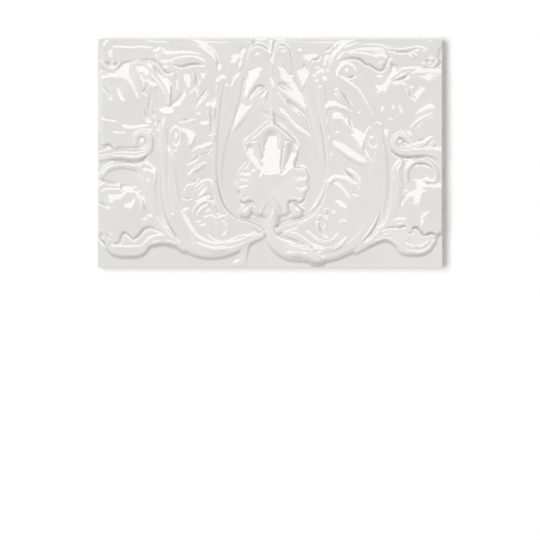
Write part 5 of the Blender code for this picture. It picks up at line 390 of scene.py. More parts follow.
def top_bands(r):
    """The soft mouldings along the upper edge, and the ground they lie on."""
    r.pad([(-111, 66), (-111, 77), (-60, 77), (-14, 77), (-14, 66), (-16, 50), (-34, 46), (-48, 58),
           (-80, 62), (-98, 60), (-108, 61)], [(-110, 70, 1.7), (-100, 66, 1.8), (-90, 66, 1.8),
                                               (-80, 66, 1.8), (-60, 70, 1.8), (-40, 66, 1.6),
                                               (-20, 70, 1.6), (-25, 52, 1.7)], edge=0.9)
    r.pad([(14, 77), (60, 77), (111, 77), (111, 66), (106, 58), (90, 56), (76, 60), (48, 58), (36, 46),
           (18, 50), (14, 66)], [(20, 70, 1.6), (40, 66, 1.7), (60, 70, 1.8), (80, 66, 1.8), (100, 66, 1.9),
                                 (108, 70, 1.9), (26, 52, 1.6), (90, 60, 1.9), (84, 58, 1.9),
                                 (102, 60, 1.9)], edge=0.9)
    r.band([(-46, 77, -42, 71.4, 1.7), (-34, 77, -34, 70.6, 1.8), (-24, 77, -24, 71, 1.8),
            (-14, 77, -12, 71.6, 1.7)], (0, 0.5, 1), 0.4)
    r.band([(14, 77, 15, 71.4, 1.7), (24, 77, 24, 70.8, 1.8), (34, 77, 34, 70.4, 1.8),
            (44, 77, 42, 71, 1.7)], (0, 0.5, 1), 0.4)


def left_scroll(r):
    """The left scroll: its thick stem, and the finer arc that turns over at the top."""
    r.band([(-6, -56.5, -5, -52.5, 2.2), (-14, -60.5, -13, -53.5, 2.7), (-22, -65.8, -22, -55.5, 3.2),
            (-32, -69.6, -33, -56.5, 3.6), (-44, -69.8, -42, -54.5, 3.8), (-55, -66, -49, -49, 4.1),
            (-64, -57, -54, -41, 4.4), (-70.5, -44, -57.5, -30, 4.2), (-73, -28, -59.5, -16, 4.0),
            (-73.8, -10, -62, -2, 3.9), (-74, 5, -66, 6, 3.8), (-73.5, 17, -66.5, 17, 3.5),
            (-70, 27, -62, 23.5, 3.0)], (0, 0.2, 0.33, 0.48, 0.6, 0.82, 1), 0.7)
    r.band([(-73.5, 17, -66.5, 17, 3.3), (-70, 27, -62, 23.5, 3.2), (-63, 32.5, -55, 27, 3.0),
            (-55, 39, -47, 34, 3.0), (-48, 46, -40.5, 42.5, 3.0), (-43.8, 53, -36.2, 50, 3.0),
            (-42.4, 58, -33.8, 57.5, 2.9), (-44, 63.5, -36.5, 67, 2.8), (-50, 67, -43, 73, 2.6),
            (-58, 69.4, -53, 76.5, 2.4), (-70, 70, -70, 77, 2.2), (-78, 70, -78, 77, 1.9),
            (-88, 70, -88, 77, 1.7), (-98, 70.4, -98, 77, 1.7), (-104, 70.4, -106, 76.5, 1.8),
            (-106.2, 66.5, -111.5, 70, 1.9), (-105.5, 62.5, -111, 62.5, 2.0)], (0, 0.33, 0.6, 0.82, 1), 0.1,
           8)
    r.ridge([(-110.4, 60.4, 1.6, 2.8), (-107, 57, 1.7, 3.0), (-102.6, 56.4, 1.6, 2.9),
             (-99.8, 59.4, 1.0, 2.6)])
    r.ridge([(-104.4, 59.6, 1.7, 3.0), (-104, 59.6, 1.7, 3.0)])


def hood_left(r):
    hood = [(-40, 58.5), (-38, 64), (-44, 70), (-56, 73), (-66, 73), (-74, 71), (-77, 63), (-74, 59),
            (-71.5, 55), (-67.6, 53), (-63.4, 55), (-62.2, 57.6), (-58, 57), (-52, 58.6), (-46, 58.8)]
    r.pad(hood, [(-44, 60, 2.9), (-50, 61, 2.9), (-58, 60, 2.9), (-64, 59, 2.8), (-68.5, 56.5, 3.0),
                 (-72, 60, 2.7), (-62, 66, 2.6), (-70, 66.5, 2.4), (-52, 66, 2.7), (-75, 64, 2.4),
                 (-58, 71.5, 2.3), (-70, 71, 2.1)], edge=1.2)


def arch_fan_left(r):
    """Fluted leaf inside the left arch."""
    r.pad([(-66, 20), (-77, 24), (-78, 40), (-80, 58), (-66, 62), (-50, 64), (-38, 60), (-38, 50),
           (-44, 40), (-54, 30)], [(-69, 28, 2.9), (-72, 45, 2.7), (-62, 45, 2.7), (-55, 50, 2.7),
                                   (-48, 50, 2.8), (-60, 56, 2.6), (-44, 56, 2.8), (-60, 36, 2.9),
                                   (-46, 44, 2.9)], edge=1.0)
    r.ridge([(-66, 27, 1.4, 2.9), (-60, 33, 1.8, 3.1), (-56, 40, 1.9, 3.1), (-54.8, 47, 1.9, 3.0),
             (-54.8, 54, 1.6, 2.6)])
    r.ridge([(-46.4, 44, 0.8, 2.7), (-45, 50, 1.0, 3.0), (-45.4, 56, 0.9, 2.7)])
    r.ridge([(-70, 24, 1.8, 3.2), (-67.4, 33, 1.7, 3.4), (-66.6, 42, 1.7, 3.4), (-69.4, 49, 1.4, 3.2),
             (-74.2, 55.6, 1.1, 3.0), (-79, 60, 0.9, 2.8)])
    r.ridge([(-73, 24, 1.2, 3.0), (-71.8, 33, 1.1, 3.1), (-71.6, 42, 1.0, 3.0), (-74.4, 49, 1.0, 2.9),
             (-78, 55, 0.9, 2.8), (-82, 59.6, 0.7, 2.6)])


def corner_leaf_left(r):
    """The broad leaf in the upper left."""
    outline = [(-74, 10), (-74, 26), (-74, 42), (-76, 50), (-79.4, 57), (-82.6, 60), (-86, 61.4), (-90, 61),
               (-94, 59.6), (-97.4, 55.6), (-101, 53.6), (-104.6, 52.4), (-108, 54), (-112.6, 52),
               (-112.8, 40), (-112.8, 26), (-112, 12), (-100, 8), (-86, 10)]
    r.pad(outline, [(-82, 20, 2.7), (-80, 38, 2.8), (-81, 52, 2.7), (-86, 57, 2.6), (-85, 60, 2.7),
                    (-92, 57, 2.6), (-94, 59, 2.6), (-100, 50, 2.8), (-104, 48, 2.9), (-109, 50, 2.8),
                    (-108, 45, 2.8), (-98, 40, 3.0), (-92, 44, 3.0), (-90, 32, 3.0), (-99, 30, 3.0),
                    (-106, 27, 2.9), (-96, 23, 2.8), (-86, 46, 2.9), (-96, 12, 2.6), (-108, 16, 2.6)],
          edge=1.0)
    r.groove([(-92, 58, 1.2, 0.4), (-91, 50, 1.6, 0.9), (-88, 41, 1.5, 0.9), (-85.4, 31, 1.2, 0.6),
              (-84.4, 24, 0.8, 0.2)])
    r.groove([(-101.5, 46, 1.0, 0.4), (-99.4, 40, 1.4, 0.8), (-97, 33, 1.0, 0.3)])
    r.groove([(-88, 58, 1.0, 0.5), (-84, 51, 1.5, 0.9), (-82.6, 43, 1.2, 0.6), (-81, 34, 0.8, 0.3)])


def under_fold_left(r):
    outline = [(-78.6, 17), (-83, 19.6), (-90, 20), (-97, 20.6), (-103, 22), (-109, 23.4), (-112, 20),
               (-111.5, 12), (-110.6, 6), (-107, 5.8), (-104.4, 5.2), (-103, 2.6), (-99, 4), (-93, 3.6),
               (-87, 4), (-82, 8)]
    r.pad(outline, [(-84, 19, 2.8), (-92, 19, 2.8), (-98, 19, 2.8), (-90, 14.4, 2.9), (-98, 14.6, 2.9),
                    (-106, 10, 2.9), (-104, 17, 2.8), (-110, 18, 2.7), (-100, 8, 2.9), (-94, 6, 3.0)],
          edge=0.9)


def side_grounds(r):
    """The low ground between the stems and what turns beside them."""
    r.pad([(-86, 14), (-71, 14), (-71, -20), (-69, -40), (-60, -58), (-74, -52), (-82, -38), (-84, -20),
           (-82, -8), (-86, 0)], [(-80, 8, 2.6), (-77, -4, 2.7), (-76, -24, 3.0), (-70, -46, 3.2)],
          edge=1.2)
    r.pad([(88, 14), (74, 14), (76, -20), (74, -40), (62, -58), (76, -52), (84, -40), (88, -22), (86, -8),
           (88, 0)], [(82, 8, 2.6), (80, -4, 2.7), (82, -24, 3.0), (74, -46, 3.2)], edge=1.2)


def side_scroll_left(r):
    r.band([(-116, -1.4, -116, -7, 3.2), (-107, 0.8, -106, -4.6, 3.8), (-98, 2.4, -98, -4.2, 4.2),
            (-89, 2.2, -88, -5.2, 4.4), (-82.4, 4, -80.5, -2.5, 4.5), (-81.2, 6.8, -76.8, 5.5, 4.5),
            (-82.8, 10, -77.6, 12, 4.5), (-85.6, 11, -83.5, 15.3, 4.4), (-87.3, 9.5, -89.3, 12.7, 4.2),
            (-87.2, 7.6, -90.6, 7, 4.0)], (0, 0.5, 1), 0.7)
    r.ridge([(-84.4, 7.8, 1.9, 4.2), (-84, 7.6, 1.9, 4.2)])


def cup_flower_left(r):
    """The turned-over flower in the lower left."""
    lip = [(-112, -57), (-109.4, -61.5), (-105.4, -66.4), (-100, -68.8), (-92, -69.2), (-85, -68.2),
           (-80.8, -65), (-78.6, -61), (-73, -60), (-64, -61.6), (-56, -66), (-54, -58), (-62, -50),
           (-72, -46), (-82, -46), (-92, -50), (-104, -54)]
    r.pad(lip, [(-108, -59, 3.2), (-100, -65, 3.6), (-90, -65, 3.6), (-83, -62, 3.6), (-76, -57, 3.8),
                (-66, -58, 4.0), (-95, -60, 3.3), (-85, -57, 3.3), (-76, -53, 3.6), (-60, -60, 4.0)],
          edge=1.8)
    r.ridge([(-101, -62, 0.8, 3.5), (-96, -61.4, 1.2, 4.0), (-90, -61.6, 1.2, 4.0),
             (-85.6, -61.8, 1.0, 4.0), (-80, -57.2, 1.1, 4.3), (-73, -54.2, 1.1, 4.4),
             (-66, -56.8, 0.8, 4.4)])
    r.ridge([(-80, -60.6, 0.8, 3.6), (-77, -59, 1.0, 4.1), (-70, -57.8, 1.0, 4.3), (-62, -60, 0.8, 4.3)])
    body = [(-111, -19), (-117, -26), (-117, -40), (-112.6, -50), (-109, -52.6), (-105, -56),
            (-103.4, -59.6), (-99.6, -59), (-98, -54.6), (-95.6, -52.8), (-93, -54.8), (-90.6, -57.2),
            (-87, -55), (-84, -51), (-80, -48.9), (-74, -50.6), (-70, -53), (-74, -44), (-80, -34),
            (-84, -24), (-90, -21), (-98, -19.6)]
    r.pad([(-117, -4), (-117, -28), (-84, -28), (-76, -20), (-78, -4)],
          [(-108, -14, 2.4), (-96, -12, 2.2), (-86, -14, 2.4), (-96, -24, 3.0), (-80, -8, 2.4)], edge=1.2)
    r.pad(body, [(-108, -22, 3.0), (-98, -21, 2.9), (-92, -22, 2.9), (-104, -27, 3.5), (-98, -27, 3.6),
                 (-96, -35, 4.1), (-104, -42, 4.4), (-94, -44, 4.6), (-86, -42, 4.4), (-87, -29, 3.5),
                 (-80, -46, 4.0), (-100, -56, 4.6), (-90, -53, 4.8), (-109, -50, 4.0), (-111, -34, 3.6),
                 (-78, -44, 3.6)], edge=1.4)
    r.groove([(-88, -25, 1.6, 0.5), (-91, -31, 2.0, 0.7), (-94, -36, 1.6, 0.2)])
    r.ridge([(-93, -23, 0.8, 2.6), (-88.6, -30, 1.1, 3.9), (-84.6, -37.6, 0.9, 4.4)])
    r.ridge([(-112, -23.6, 0.9, 2.6), (-106, -24.2, 1.1, 3.0), (-100, -24.6, 0.8, 2.8)])
    r.ridge([(-112, -29.6, 1.0, 3.4), (-107, -32, 1.2, 3.9), (-101, -32.6, 1.0, 3.9)])
    r.ridge([(-112, -35, 0.8, 3.2), (-108, -36.6, 0.8, 3.8)])
    r.ridge([(-111, -50.6, 1.1, 4.4), (-107, -52, 1.2, 4.8), (-103, -55.6, 1.2, 5.0)])
    r.ridge([(-109.4, -55.6, 1.6, 4.6), (-106.8, -57.6, 1.5, 4.6), (-107.6, -60.4, 1.3, 4.2)])
    r.ridge([(-76, -43, 1.0, 4.4), (-80, -41.4, 1.6, 4.6), (-84.6, -44.4, 1.0, 4.8)])
    r.band([(-60, -61, -58, -58, 3.2), (-67, -57, -64.5, -53, 3.8), (-75, -49.5, -70.5, -44, 4.0),
            (-81, -38, -73.8, -32, 4.0), (-84, -26, -75, -20, 3.8), (-86, -17, -76, -9, 3.8),
            (-89, -12, -81, -6, 3.8), (-94, -10.2, -90, -6.3, 3.8), (-100, -10, -99, -6.2, 3.8),
            (-105.5, -12, -108, -8, 3.8), (-108.6, -15.5, -113, -14, 3.6)], (0, 0.3, 0.62, 1), 0.6)
    r.groove([(-80, -24, 0.8, 0.3), (-80.6, -16, 1.5, 1.3), (-80.8, -11.6, 1.3, 1.0)])
    r.ridge([(-108.6, -18.6, 2.0, 3.4), (-108.2, -19.4, 2.0, 3.4)])


def inner_leaf_left(r):
    """The acanthus that curls inside the left scroll."""
    r.pad([(-70, 18), (-62, 28), (-50, 38), (-42, 48), (-38, 60), (-33, 58), (-33, 30), (-34.5, 15),
           (-35.6, 4), (-36, -8), (-36, -20), (-35, -28), (-30, -38), (-22, -45), (-8, -53), (-20, -62),
           (-35, -63), (-50, -58), (-60, -44), (-64, -26), (-68, -8), (-70, 4)],
          [(-60, 20, 2.6), (-42, 34, 2.4), (-38, 50, 2.3), (-40, 10, 1.9), (-40, -4, 1.9), (-44, -14, 2.1),
           (-45, -30, 2.3), (-40, -42, 2.4), (-24, -50, 2.6), (-45, -50, 3.2), (-56, -20, 3.0),
           (-60, 0, 2.8), (-50, 0, 2.1), (-50, 12, 2.0)], edge=1.0)
    r.ridge([(-62, 17.6, 0.9, 3.6), (-59.4, 14.6, 1.0, 3.8), (-58.6, 10.4, 1.0, 3.8), (-60, 6.4, 1.0, 3.7),
             (-62, 4.4, 1.0, 3.6), (-64.6, 7, 0.9, 3.6), (-65.4, 11, 0.9, 3.6), (-64.6, 15, 0.9, 3.6),
             (-62.4, 17.8, 0.8, 3.6)])
    r.ridge([(-62, 14.4, 1.3, 3.5), (-61.8, 8, 1.3, 3.5)])
    r.ridge([(-62.5, 1.4, 0.8, 3.2), (-62.5, 1.0, 0.8, 3.2)])
    r.pad([(-58.6, 17.8), (-54.6, 18), (-51, 16), (-49, 12), (-49.4, 8), (-51.6, 4.4), (-55, 4.4),
           (-53.4, 8), (-54.6, 11.6), (-57, 14.4)],
          [(-56, 17, 1.6), (-50.6, 13, 2.2), (-51.4, 6, 4.0), (-55, 12, 3.4), (-54.4, 5.4, 4.0)], edge=0.9)
    r.pad([(-46.6, 22.6), (-40, 22.8), (-40, 18.6), (-45.6, 17.6)],
          [(-45, 22, 1.8), (-41, 22, 1.8), (-45, 18.4, 3.0), (-41, 18.8, 3.0)], edge=0.6)
    r.pad([(-37.6, 40), (-41.6, 34), (-43.2, 30), (-40.6, 27.4), (-37.4, 22), (-35.6, 28)],
          [(-39, 37, 2.0), (-42, 31, 2.4), (-37, 25, 3.8), (-37, 34, 3.2)], edge=0.8)
    r.groove([(-38.8, 33, 0.5, 0.5), (-38.8, 24, 0.7, 1.2), (-38.6, 14, 0.5, 0.8)])
    r.ridge([(-51, 21.6, 1.1, 3.6), (-50.8, 21.4, 1.1, 3.6)])
    lobes = ([(-57.4, -13.4, 0.8, 3.0), (-55.4, -7, 1.8, 3.2), (-52, -1.4, 2.0, 3.3),
              (-47.6, 2.8, 1.9, 3.3), (-43, 4.6, 1.5, 3.2), (-38.6, 5.6, 0.8, 2.8)],
             [(-54.6, -15, 0.8, 3.0), (-50.6, -11.4, 1.5, 3.6), (-46.6, -9, 1.6, 3.8),
              (-43.6, -7, 1.2, 3.4)], [(-46.6, -2, 0.7, 2.8), (-42.6, -0.6, 1.3, 3.4), (-39, 2, 1.0, 3.4)],
             [(-57.4, -26, 0.9, 3.4), (-54.4, -21.8, 1.2, 3.8), (-50.4, -20.2, 1.0, 3.6)],
             [(-51.6, -27.6, 0.8, 3.0), (-48.6, -22.4, 1.2, 3.3), (-43, -18.4, 1.3, 3.4),
              (-38.6, -19, 1.2, 3.2), (-36.8, -24, 1.0, 3.0)],
             [(-47.6, -29, 1.2, 2.8), (-44, -25.6, 1.6, 3.0), (-42, -21.6, 1.3, 3.1)],
             [(-49, -33, 0.9, 3.4), (-44, -30, 1.1, 3.6), (-38.6, -29, 1.0, 3.4)],
             [(-50.4, -44, 1.2, 3.6), (-50, -38, 1.2, 3.8), (-47, -33.6, 1.2, 3.8),
              (-41.6, -31.4, 1.2, 3.6), (-37.2, -34, 1.0, 3.4), (-36, -39, 0.9, 3.2)],
             [(-47, -45.6, 1.9, 4.0), (-46.6, -47.6, 1.9, 4.0)],
             [(-57.4, -36.6, 1.6, 4.6), (-57, -37.4, 1.6, 4.6)],
             [(-41.6, -36.6, 1.4, 3.2), (-40, -41, 1.4, 3.2), (-43.6, -42.6, 1.0, 3.0)],
             [(-37.4, -42, 0.9, 3.2), (-35.6, -48, 1.0, 3.2), (-36.6, -53, 0.8, 3.2)],
             [(-33.6, -43, 0.9, 3.4), (-30.4, -41.6, 0.9, 3.6), (-28.6, -43.6, 0.8, 3.6)],
             [(-30.6, -45, 0.8, 3.4), (-29, -49, 0.9, 3.6), (-28.8, -53, 1.0, 3.6),
              (-31.6, -54.6, 0.8, 3.4)])
    for lobe in lobes:
        r.ridge(lobe, blend=0.3)


def husk(r):
    """The hanging leaf above the palmette."""
    left = [(-3, 70), (-8, 71.8), (-13.5, 69), (-15.2, 62), (-15.6, 55), (-17, 45), (-20, 32), (-25.2, 13),
            (-17, 21), (-9, 27.5), (0, 28), (1, 40), (1, 55), (1, 66)]
    r.pad(left, [(-8, 68, 3.2), (-8, 61, 2.6), (-12, 62, 2.5), (-11, 56.6, 2.2), (-6, 56, 2.4),
                 (-8, 48, 2.6), (-14, 50, 2.2), (-16.4, 42, 1.8), (-14, 36, 2.2), (-18.6, 34, 1.6),
                 (-16, 30, 1.3), (-23, 20, 0.8), (-17, 22.5, 0.7), (-9, 31, 1.0), (-12, 34, 1.5),
                 (-4, 37, 2.4), (-24, 15, 0.5), (-1, 50, 2.8), (-3, 60, 2.8)], edge=1.0)
    right = [(4, 70), (8, 71.8), (13, 69), (15, 62), (16, 54), (18, 44), (23, 35), (24.8, 26.5), (17, 31.5),
             (12, 34.5), (19, 28), (24.5, 20), (28.4, 8.5), (20, 13.5), (12, 20.5), (4.6, 25), (0.8, 30),
             (0.8, 44), (0.8, 60)]
    r.pad(right, [(8, 68, 3.2), (8, 61, 2.6), (9, 57, 2.2), (14, 50, 2.2), (9, 46.6, 2.6), (16, 42.6, 2.2),
                  (20, 38, 1.5), (17, 32.6, 1.3), (23.6, 28, 0.9), (10, 38, 2.4), (9, 33, 2.2),
                  (17, 26, 1.7), (23.5, 18, 1.4), (8, 29, 1.8), (13, 21.6, 1.3), (20, 15, 1.1),
                  (27, 10, 0.8), (3, 50, 2.8)], edge=1.0)
    r.ridge([(0.6, 77, 2.6, 1.6), (0.6, 68, 1.4, 2.8), (0.8, 58, 1.3, 3.4), (1.2, 46, 1.7, 3.5),
             (1.2, 36, 1.6, 3.0), (1.0, 28, 1.3, 2.6), (1.4, 21, 1.3, 3.2)])
    r.groove([(-14.6, 34.6, 0.8, 0.6), (-11.5, 39.6, 2.2, 2.0), (-7.5, 43, 2.4, 2.6),
              (-4.4, 43.4, 1.8, 1.8)])
    r.groove([(-9.8, 33.8, 0.5, 0.4), (-6, 37.6, 1.2, 1.2), (-3, 41.5, 1.4, 1.4)])
    r.groove([(14.8, 39.8, 0.8, 0.5), (11.5, 43, 2.0, 2.0), (8, 44.6, 2.0, 2.4), (6, 44.8, 1.4, 1.4)])
    r.groove([(5, 41, 0.8, 0.5), (10, 36, 1.4, 0.9), (17, 29.4, 1.3, 0.6)])


def stub(r):
    r.band([(-10, -58, -9, -55, 1.8), (-16, -60, -12, -57.6, 1.9), (-19.6, -63, -13.8, -63, 1.9),
            (-20, -68, -14.6, -69, 1.7), (-21, -71, -15.4, -73, 0.9), (-25, -73.4, -17, -76, 0.3)],
           (0, 0.5, 1), 0.4)


def right_heart_band(r):
    r.band([(37.4, 52, 30, 52, 2.4), (38, 44, 30, 43.6, 2.6), (38.4, 34, 31, 33, 2.6),
            (39, 24, 32.6, 23.4, 2.6), (39.8, 13, 34.8, 12.4, 2.4), (40.6, 1, 36.8, 0, 2.2),
            (40.2, -12, 37.4, -12, 2.2), (39, -25, 35.6, -23.4, 2.4), (35.4, -35.8, 31.8, -32, 2.4),
            (29, -44.5, 26.2, -39.4, 2.4), (20, -49.5, 18.4, -43, 2.4), (11, -52, 10, -46.4, 2.4),
            (3, -54, 2, -50, 2.6)], (0, 0.5, 1), 0.4)


def right_scroll(r):
    """The right scroll: its thick stem, and the finer arc that turns over at the top."""
    r.band([(3, -49, -2, -49, 4.2), (5.6, -54, -2, -57, 4.0), (11, -56.5, 1, -63.4, 3.8),
            (18, -57.6, 9, -69.6, 3.7), (27, -57.6, 20, -71.3, 3.7), (36, -58.6, 32, -72.6, 3.7),
            (46, -56.5, 45, -69.8, 3.7), (54, -50, 57, -64.6, 3.8), (59, -41, 66, -57.4, 3.8),
            (62, -30, 73, -48, 3.9), (64, -18, 77.6, -35, 4.0), (66, -6, 78.6, -18, 3.9),
            (68.4, 3, 77.8, -5, 3.8), (69.6, 10, 76, 8, 3.6), (66.5, 16, 75, 19, 3.2)],
           (0, 0.18, 0.3, 0.4, 0.55, 0.67, 0.84, 1), 0.7)
    r.band([(69.6, 10, 76, 8, 3.4), (66.5, 16, 75, 19, 3.3), (62, 23.5, 72, 28, 3.1),
            (56, 31.5, 66, 37, 3.0), (50, 38.5, 58, 44, 3.0), (44.4, 44, 51, 49, 3.0),
            (40, 50, 45.5, 52, 3.0), (38.6, 57, 44.8, 57, 2.9), (40.4, 64, 46.4, 62, 2.8),
            (46, 71, 50.5, 65.2, 2.6), (54, 76.5, 56.5, 68, 2.4), (66, 77, 66, 70, 2.2),
            (78, 77, 78, 70, 1.9), (90, 77, 90, 69.4, 1.7), (100, 77, 99.6, 70.6, 1.7),
            (107, 75, 103.4, 69.8, 1.8), (111.4, 69, 105, 66.5, 1.9), (111, 62, 105.6, 62.4, 2.0)],
           (0, 0.18, 0.4, 0.67, 1), 0.1, 8)
    r.ridge([(102.4, 61.6, 1.2, 3.0), (104.4, 58.6, 1.4, 3.4), (108.4, 58.8, 1.5, 3.4),
             (110.6, 61.4, 1.4, 3.4)])
    r.ridge([(106.4, 62.6, 1.4, 3.2), (106.8, 62.4, 1.4, 3.2)])
    r.ridge([(94.4, 64.6, 3.0, 2.6), (94.9, 64.4, 3.0, 2.6)])
    r.ridge([(12, -65.4, 1.1, 5.2), (17, -66.8, 1.2, 5.4), (23, -66.6, 1.0, 5.2)])
    r.pad([(25.4, -60.6), (29.6, -60), (33.6, -61.6), (35.4, -66), (38, -70.6), (33, -73), (28, -72.2),
           (25.6, -68)], [(30, -66, 6.2), (34, -70, 5.0), (27, -62, 5.6)], edge=1.8)


def hood_right(r):
    r.pad([(44, 62), (46, 70), (56, 73), (66, 73), (76, 72), (81, 66.6), (78.4, 62.4), (77, 58),
           (75.6, 54.8), (71, 54.4), (67.6, 57.4), (64.4, 57.4), (62.4, 59.8), (58.4, 62), (53, 62.8),
           (49, 61.8), (45.6, 60)], [(48, 65, 2.7), (55, 66.6, 2.8), (62, 62.4, 2.9), (66, 59.4, 2.9),
                                     (72.4, 56.4, 3.0), (76, 60, 2.7), (79, 65.6, 2.2), (66, 68.6, 2.5),
                                     (74, 67.4, 2.4), (66, 65, 2.7), (60, 71.6, 2.3), (72, 71, 2.2)],
          edge=1.2)
    r.ridge([(73.5, 59.6, 1.3, 4.0), (73.7, 59.2, 1.3, 4.0)])


def arch_fan_right(r):
    r.pad([(72, 16), (80, 24), (80, 46), (80, 62), (70, 66), (60, 66), (48, 66), (40, 60), (40, 50),
           (48, 42), (56, 34), (64, 26)], [(71, 26, 3.0), (76, 45, 2.7), (62, 44, 2.9), (58, 56, 2.6),
                                           (66, 54, 2.6), (50, 60, 2.6), (48, 50, 2.8), (68, 36, 3.0)],
          edge=1.0)
    r.ridge([(45, 46, 1.2, 3.4), (44.9, 50.4, 1.3, 3.6), (46, 55.6, 1.4, 3.6), (49.6, 59, 1.4, 3.6),
             (54, 58, 1.4, 3.4), (56.4, 54, 1.3, 3.2), (55, 50.4, 1.2, 3.0), (51.4, 50.8, 1.0, 2.8)])
    r.ridge([(50.6, 56, 1.4, 3.0), (51, 53.6, 1.4, 3.0)])
    r.ridge([(70, 25, 0.9, 3.3), (65, 32.6, 1.0, 3.4), (58.4, 41.4, 0.8, 3.1)])
    r.pad([(69.4, 44.4), (74, 43.6), (77, 46), (78.4, 51), (80.6, 54.6), (83.4, 56.2), (81, 51), (79, 45.6),
           (77.4, 40), (74.4, 38.4), (72, 36.6), (71, 41)],
          [(71, 43.6, 2.6), (75.6, 46, 2.7), (80, 53.6, 2.6), (78, 44, 3.4), (74, 39, 3.4),
           (81.6, 53, 3.0)], edge=0.8)
    r.pad([(70.8, 52.2), (74.4, 51.8), (74.2, 49.6), (71.4, 49.4)],
          [(71, 52, 1.6), (74, 51.6, 1.6), (72, 49.8, 3.0), (74, 49.8, 3.0)], edge=0.5)
    r.ridge([(73.6, 25, 1.2, 3.1), (74.4, 31, 1.3, 3.3), (74, 36, 1.0, 3.1)])
    r.ridge([(77.6, 38, 0.9, 3.3), (76.8, 31, 0.8, 3.3), (77.2, 25, 0.8, 3.2)])


def corner_leaf_right(r):
    outline = [(76, 6), (75, 26), (75, 44), (78, 52), (84, 56), (92, 57), (96, 57), (98.4, 58.4), (102, 56),
               (108, 56), (117, 56), (117, 45), (117, 30), (117, 16), (117, 4), (97, 2), (86, 2)]
    r.pad(outline, [(83, 22, 2.7), (81, 34, 2.7), (83, 46, 2.7), (88, 53, 2.3), (94, 54, 2.3),
                    (104, 54.6, 2.3), (96, 47, 2.7), (104, 48, 2.9), (108, 42, 2.9), (100, 45, 2.8),
                    (95, 36, 3.0), (104, 35, 2.8), (110, 33, 2.8), (104, 28, 3.0), (88, 38, 2.9),
                    (88, 28, 2.9), (90, 15, 2.7), (94, 10, 2.8), (98, 22, 3.0), (106, 20, 2.9),
                    (110, 16, 2.8), (101, 13, 2.8)], edge=0.6)
    r.ridge([(80.8, 44, 0.9, 3.0), (83.6, 48.6, 1.0, 3.2), (88, 51.6, 0.9, 3.2), (91.6, 53.4, 0.7, 2.9)])
    r.groove([(84, 47.2, 0.6, 0.6), (87, 49.6, 0.8, 1.2), (91.4, 51, 0.6, 0.8)])
    r.ridge([(82.4, 42, 0.8, 3.0), (85.4, 46, 1.0, 3.3), (90.4, 45, 0.9, 3.2)])
    r.groove([(90, 43.6, 0.8, 0.6), (92.2, 40.6, 1.3, 1.2), (93.8, 36.6, 0.9, 0.6)])
    r.groove([(82.2, 35, 0.6, 0.5), (82.6, 30, 0.8, 0.9), (83.4, 24, 0.6, 0.4)])
    r.ridge([(85.2, 33.4, 1.3, 3.3), (86.4, 28.4, 1.3, 3.4), (87.8, 23.6, 0.8, 3.2)])
    r.ridge([(92.6, 14, 0.8, 3.2), (94.6, 18, 1.1, 3.7), (98.4, 21.8, 1.1, 3.8), (102.6, 24.6, 1.0, 3.6),
             (108, 26.8, 0.8, 3.2)])
    r.ridge([(96.4, 15, 0.8, 3.2), (98.2, 18.6, 1.1, 3.5), (103, 22.4, 0.9, 3.4), (108, 24, 0.7, 3.2)])
    r.ridge([(101.4, 52.4, 0.8, 2.9), (103.4, 50, 0.9, 3.3), (105.4, 47.6, 0.7, 3.3)])
    r.ridge([(78.6, 23.6, 1.3, 3.2), (80.6, 21.6, 1.2, 3.2)])
    r.pad([(75.2, 17), (78.8, 16.8), (78, 10), (77, 5.6), (75.6, 11)],
          [(76, 16.4, 1.4), (78.4, 16, 1.4), (77, 6.4, 3.8)], edge=0.6)


def side_scroll_right(r):
    r.band([(116, 3.6, 116, -6.4, 3.4), (108, 5.2, 107.6, -3.6, 4.0), (101, 4.4, 100.8, -2.2, 4.2),
            (93, 4.4, 93, -3.1, 4.4), (88, 4.0, 86.4, -2.6, 4.5), (85.8, 4.8, 81.6, 1.6, 4.6),
            (84.8, 7, 80.2, 7, 4.6), (85.6, 9.6, 83, 12, 4.5), (87.2, 10, 87.6, 12.6, 4.2),
            (88.6, 8.4, 90.6, 10, 4.0), (90.4, 6.6, 92.4, 7.4, 3.6)][::-1], (0, 0.5, 1), 0.3)
    r.ridge([(86.2, 7.6, 1.5, 4.2), (86.6, 7.2, 1.5, 4.2)])
    r.ridge([(93, 5.4, 0.7, 4.2), (98.2, 4.8, 0.9, 4.8), (102, 6.2, 0.9, 4.8), (104.6, 9, 0.9, 4.4),
             (107, 10.6, 0.7, 4.0)])
    r.ridge([(107.8, 6.2, 1.2, 4.8), (108, 6, 1.2, 4.8)])


